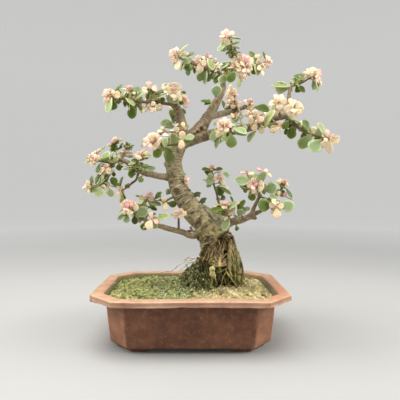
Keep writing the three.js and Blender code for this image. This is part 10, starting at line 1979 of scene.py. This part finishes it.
def clay_colour(V, N, rf, top, inner):
    n1 = 0.5 + 0.5 * fbm(V, 26, 3, 221)
    n2 = 0.5 + 0.5 * fbm(V, 6, 3, 222)
    n3 = 0.5 + 0.5 * fbm(V, 1.8, 2, 223)
    body = mix(CLAY["body"], CLAY["body_light"], smooth(0.3, 0.7, n1))
    body = mix(body, CLAY["body_dark"], smooth(0.45, 0.75, n2) * 0.45)
    body = mix(body, CLAY["body_foot"], smooth(20, 5, V[:, 2]) * 0.5)
    # painted shadow under the overhanging rim: the body darkens towards its top
    body = mix(body, CLAY["body_dark"], smooth(rf - 14, rf - 1, V[:, 2]) * 0.55)
    # faces turned to the sides are painted lighter, the right-facing ones more, and a little bluer: painted light from
    # the side lamps and a painted sheen
    body = body * (0.95 + (0.64 + 0.26 * (N[:, 0] > 0)) * smooth(0.3, 0.7, np.abs(N[:, 0])) * (0.7 + 0.3 * smooth(40, 15, V[:, 2])))[:, None]
    body = body * (1 + smooth(0.3, 0.7, np.abs(N[:, 0]))[:, None] * np.array([0.05, 0.17, 0.23]))
    body = mix(body, CLAY["stain"], smooth(78, 86, np.abs(V[:, 0])) * smooth(0.45, 0.7, n2) * 0.24)
    rim = mix(CLAY["top"], CLAY["top_light"], smooth(0.3, 0.7, n2))
    rim = mix(rim, CLAY["top_dull"], smooth(0.5, 0.8, n1) * 0.5)
    rim = mix(rim, CLAY["top_pink"], smooth(0.55, 0.85, n3) * 0.25)
    face = mix(CLAY["face"], CLAY["face_light"], smooth(0.3, 0.7, n2))
    face = mix(face, CLAY["face_dull"], smooth(0.5, 0.8, n1) * 0.5 + smooth(0.6, 0.8, n3) * 0.25)
    # upward faces of the rim are painted lighter than its side faces: painted light from above
    up = smooth(0.35, 0.9, N[:, 2])
    R = mix(face, rim, up) * 0.93
    d = rim_distance(V)
    # painted highlights along the rim's top outer edge and along its lower lip
    edge = np.exp(-((V[:, 2] - top + 0.3) / 0.5) ** 2) * smooth(2.6, 1.0, d)
    lip_highlight = np.exp(-((V[:, 2] - rf - 0.6) / 0.55) ** 2)
    R = mix(R, CLAY["edge"], np.clip(edge * 0.8 + lip_highlight * 0.6 * smooth(0.25, 0.6, n2), 0, 0.9))
    for c, r, k in STAINS:
        g = np.exp(-(np.linalg.norm((V - np.array(c)) / np.array(r), axis=1)) ** 2)
        R = mix(R, CLAY["stain"], np.clip(g * k * (0.4 + 1.1 * n2), 0, 0.85))
    C = mix(body, R, smooth(rf - 0.7, rf - 0.1, V[:, 2]))
    green = smooth(top - 0.8, top - 3.0, V[:, 2] + 1.2 * noise(V, 6, 224)) * (1 - 0.6 * smooth(30, 75, V[:, 0]))
    wall = mix(CLAY["wall"], CLAY["wall_green"], green)
    C = mix(C, wall, inner * smooth(top - 0.25, top - 0.8, V[:, 2]))
    return np.clip(C, 0, 1)


def clay_material():
    m, nt, b = shader("fired_clay")
    P = place(nt)
    col = attribute(nt, "col")
    fine = noise_node(nt, P, 1400, 5, 0.7)
    wide = noise_node(nt, P, 110, 4, 0.6)
    c = blend(nt, "MULTIPLY", 1.0, col, ramp(nt, fine, [(0.28, 0.80), (0.70, 1.14)]))
    c = blend(nt, "MULTIPLY", 1.0, c, ramp(nt, wide, [(0.3, 0.80), (0.7, 1.14)]))
    specks = node(nt, "ShaderNodeTexVoronoi", feature="F1")
    specks.inputs["Scale"].default_value = 520
    nt.links.new(P, specks.inputs["Vector"])
    dots = ramp(nt, specks.outputs["Distance"], [(0.0, 0.35), (0.10, 0.0)])
    c = blend(nt, "MIX", dots, c, tuple(srgb(214, 186, 156)))
    # fine curved scuffs
    lines = ramp(nt, noise_node(nt, P, 58, 2, 0.5, 0.8), [(0.489, 0.0), (0.495, 0.26), (0.501, 0.0)])
    some = ramp(nt, noise_node(nt, P, 30, 2, 0.5), [(0.5, 0.0), (0.62, 1.0)])
    c = blend(nt, "MIX", blend(nt, "MULTIPLY", 1.0, lines, some), c, tuple(srgb(190, 156, 128)))
    # dusty smears and short scratches
    scratch = ramp(nt, noise_node(nt, P, 74, 1, 0.5, 1.4), [(0.491, 0.0), (0.497, 0.34), (0.503, 0.0)])
    where = ramp(nt, noise_node(nt, P, 46, 2, 0.5), [(0.54, 0.0), (0.64, 0.9)])
    c = blend(nt, "MIX", blend(nt, "MULTIPLY", 1.0, scratch, where), c, tuple(srgb(176, 140, 112)))
    dust = ramp(nt, noise_node(nt, P, 190, 5, 0.7), [(0.50, 0.0), (0.72, 0.22)])
    c = blend(nt, "MIX", dust, c, tuple(srgb(186, 150, 120)))
    nt.links.new(c, b.inputs["Base Color"])
    nt.links.new(ramp(nt, wide, [(0.3, 0.52), (0.7, 0.72)]), b.inputs["Roughness"])
    b.inputs["Specular IOR Level"].default_value = 0.35
    first = bump(nt, None, wide, 0.0008, 0.25)
    bump(nt, b, fine, 0.0003, 0.5, before=first)
    return m


# ------------------------------------------------------------------ light, floor, camera

def plain(name, colour, rough, glow=False):
    m, nt, b = shader(name)
    P = place(nt)
    n = noise_node(nt, P, 6, 2, 0.5)
    c = tuple(srgb(*colour))
    nt.links.new(ramp(nt, n, [(0.3, tuple(x * 0.985 for x in c)), (0.7, c)]), b.inputs["Base Color"])
    b.inputs["Roughness"].default_value = rough
    b.inputs["Specular IOR Level"].default_value = 0.1
    if glow:
        b.inputs["Emission Color"].default_value = (1.0, 1.0, 1.0, 1)
        nt.links.new(attribute(nt, "seed", True), b.inputs["Emission Strength"])
    return m


def lamp(name, where, look, size, power, colour=(1, 1, 1), size_y=None, spread=180):
    d = bpy.data.lights.new(name, "AREA")
    d.shape = "RECTANGLE"
    d.size = size
    d.size_y = size_y or size
    d.energy = power
    d.spread = math.radians(spread)
    d.color = colour
    o = bpy.data.objects.new(name, d)
    bpy.context.scene.collection.objects.link(o)
    where = metres(where)
    look = metres(look)
    o.location = where
    z = unit(where - look)
    x = unit(np.cross([0, 0, 1] if abs(z[2]) < 0.98 else [0, 1, 0], z))
    y = np.cross(z, x)
    from mathutils import Matrix
    o.rotation_euler = Matrix(((x[0], y[0], z[0]), (x[1], y[1], z[1]), (x[2], y[2], z[2]))).to_euler()
    return o


def build_stage():
    # a pale round floor that curves up into a softly glowing pale wall on every side
    mat = plain("studio_pale", FLOOR_COLOUR, 0.85, glow=True)
    prof = [(r, 0.0) for r in (0.0, 0.5, 1.0, 1.5, 2.0)]
    prof += [(2.0 + 1.3 * math.sin(a), 1.3 - 1.3 * math.cos(a)) for a in np.linspace(0.06, math.pi / 2, 18)]
    prof += [(3.3, z) for z in (1.8, 2.4, 3.2)]
    prof = np.array(prof)
    ang = np.arange(96) / 96 * 2 * math.pi
    V = np.array([(max(r, 0.001) * math.cos(a), max(r, 0.001) * math.sin(a), z - 0.0002) for r, z in prof for a in ang])
    n, m = len(prof), 96
    i, j = np.meshgrid(np.arange(n - 1), np.arange(m), indexing="ij")
    k = (j + 1) % m
    Q = np.stack([i * m + j, (i + 1) * m + j, (i + 1) * m + k, i * m + k], -1).reshape(-1, 4)
    ob = make_object("studio_floor", V, Q, np.array([[k, (k + 1) % m, m - 1] for k in range(m - 2)]), [mat], None, None, WALL_GLOW * smooth(0.15, 1.5, np.hypot(V[:, 0], V[:, 1])))
    w = bpy.data.worlds.new("studio_air")
    bpy.context.scene.world = w
    w.use_nodes = True
    bg = w.node_tree.nodes["Background"]
    bg.inputs[0].default_value = (1.0, 1.0, 1.0, 1)
    bg.inputs[1].default_value = WORLD
    for spec in LAMPS:
        lamp(*spec)
    cam = bpy.data.cameras.new("camera")
    cam.sensor_width = 36.0
    cam.lens = 36.0 * CAMERA_F / 400.0
    cam.shift_x = (200 - CAMERA_CENTRE[0]) / 400.0
    cam.shift_y = -(200 - CAMERA_CENTRE[1]) / 400.0
    cam.clip_start = 0.01
    o = bpy.data.objects.new("camera", cam)
    bpy.context.scene.collection.objects.link(o)
    o.location = metres(CAMERA_AT)
    o.rotation_euler = (math.pi / 2, 0, 0)
    bpy.context.scene.camera = o
    vs = bpy.context.scene.view_settings
    vs.view_transform = "Standard"
    vs.look = "None"
    vs.exposure = 0.0
    vs.gamma = 1.0


# ------------------------------------------------------------------ everything together

bark = bark_material()
clay = clay_material()
moss = moss_material()
soil = soil_material()
screen = screen_material()
build_shoots(leaf_material(), stem_material())
build_trunk(bark)
build_roots(bark_material("root_bark", rings=False))
build_ground(moss)
build_tufts(moss)
build_pot(clay)
for name, mat in (("soil", soil), ("drain_screen_left", screen), ("drain_screen_right", screen)):
    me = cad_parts[name].data
    for k in range(max(1, len(me.materials))):
        if k < len(me.materials):
            me.materials[k] = mat
        else:
            me.materials.append(mat)
build_stage()
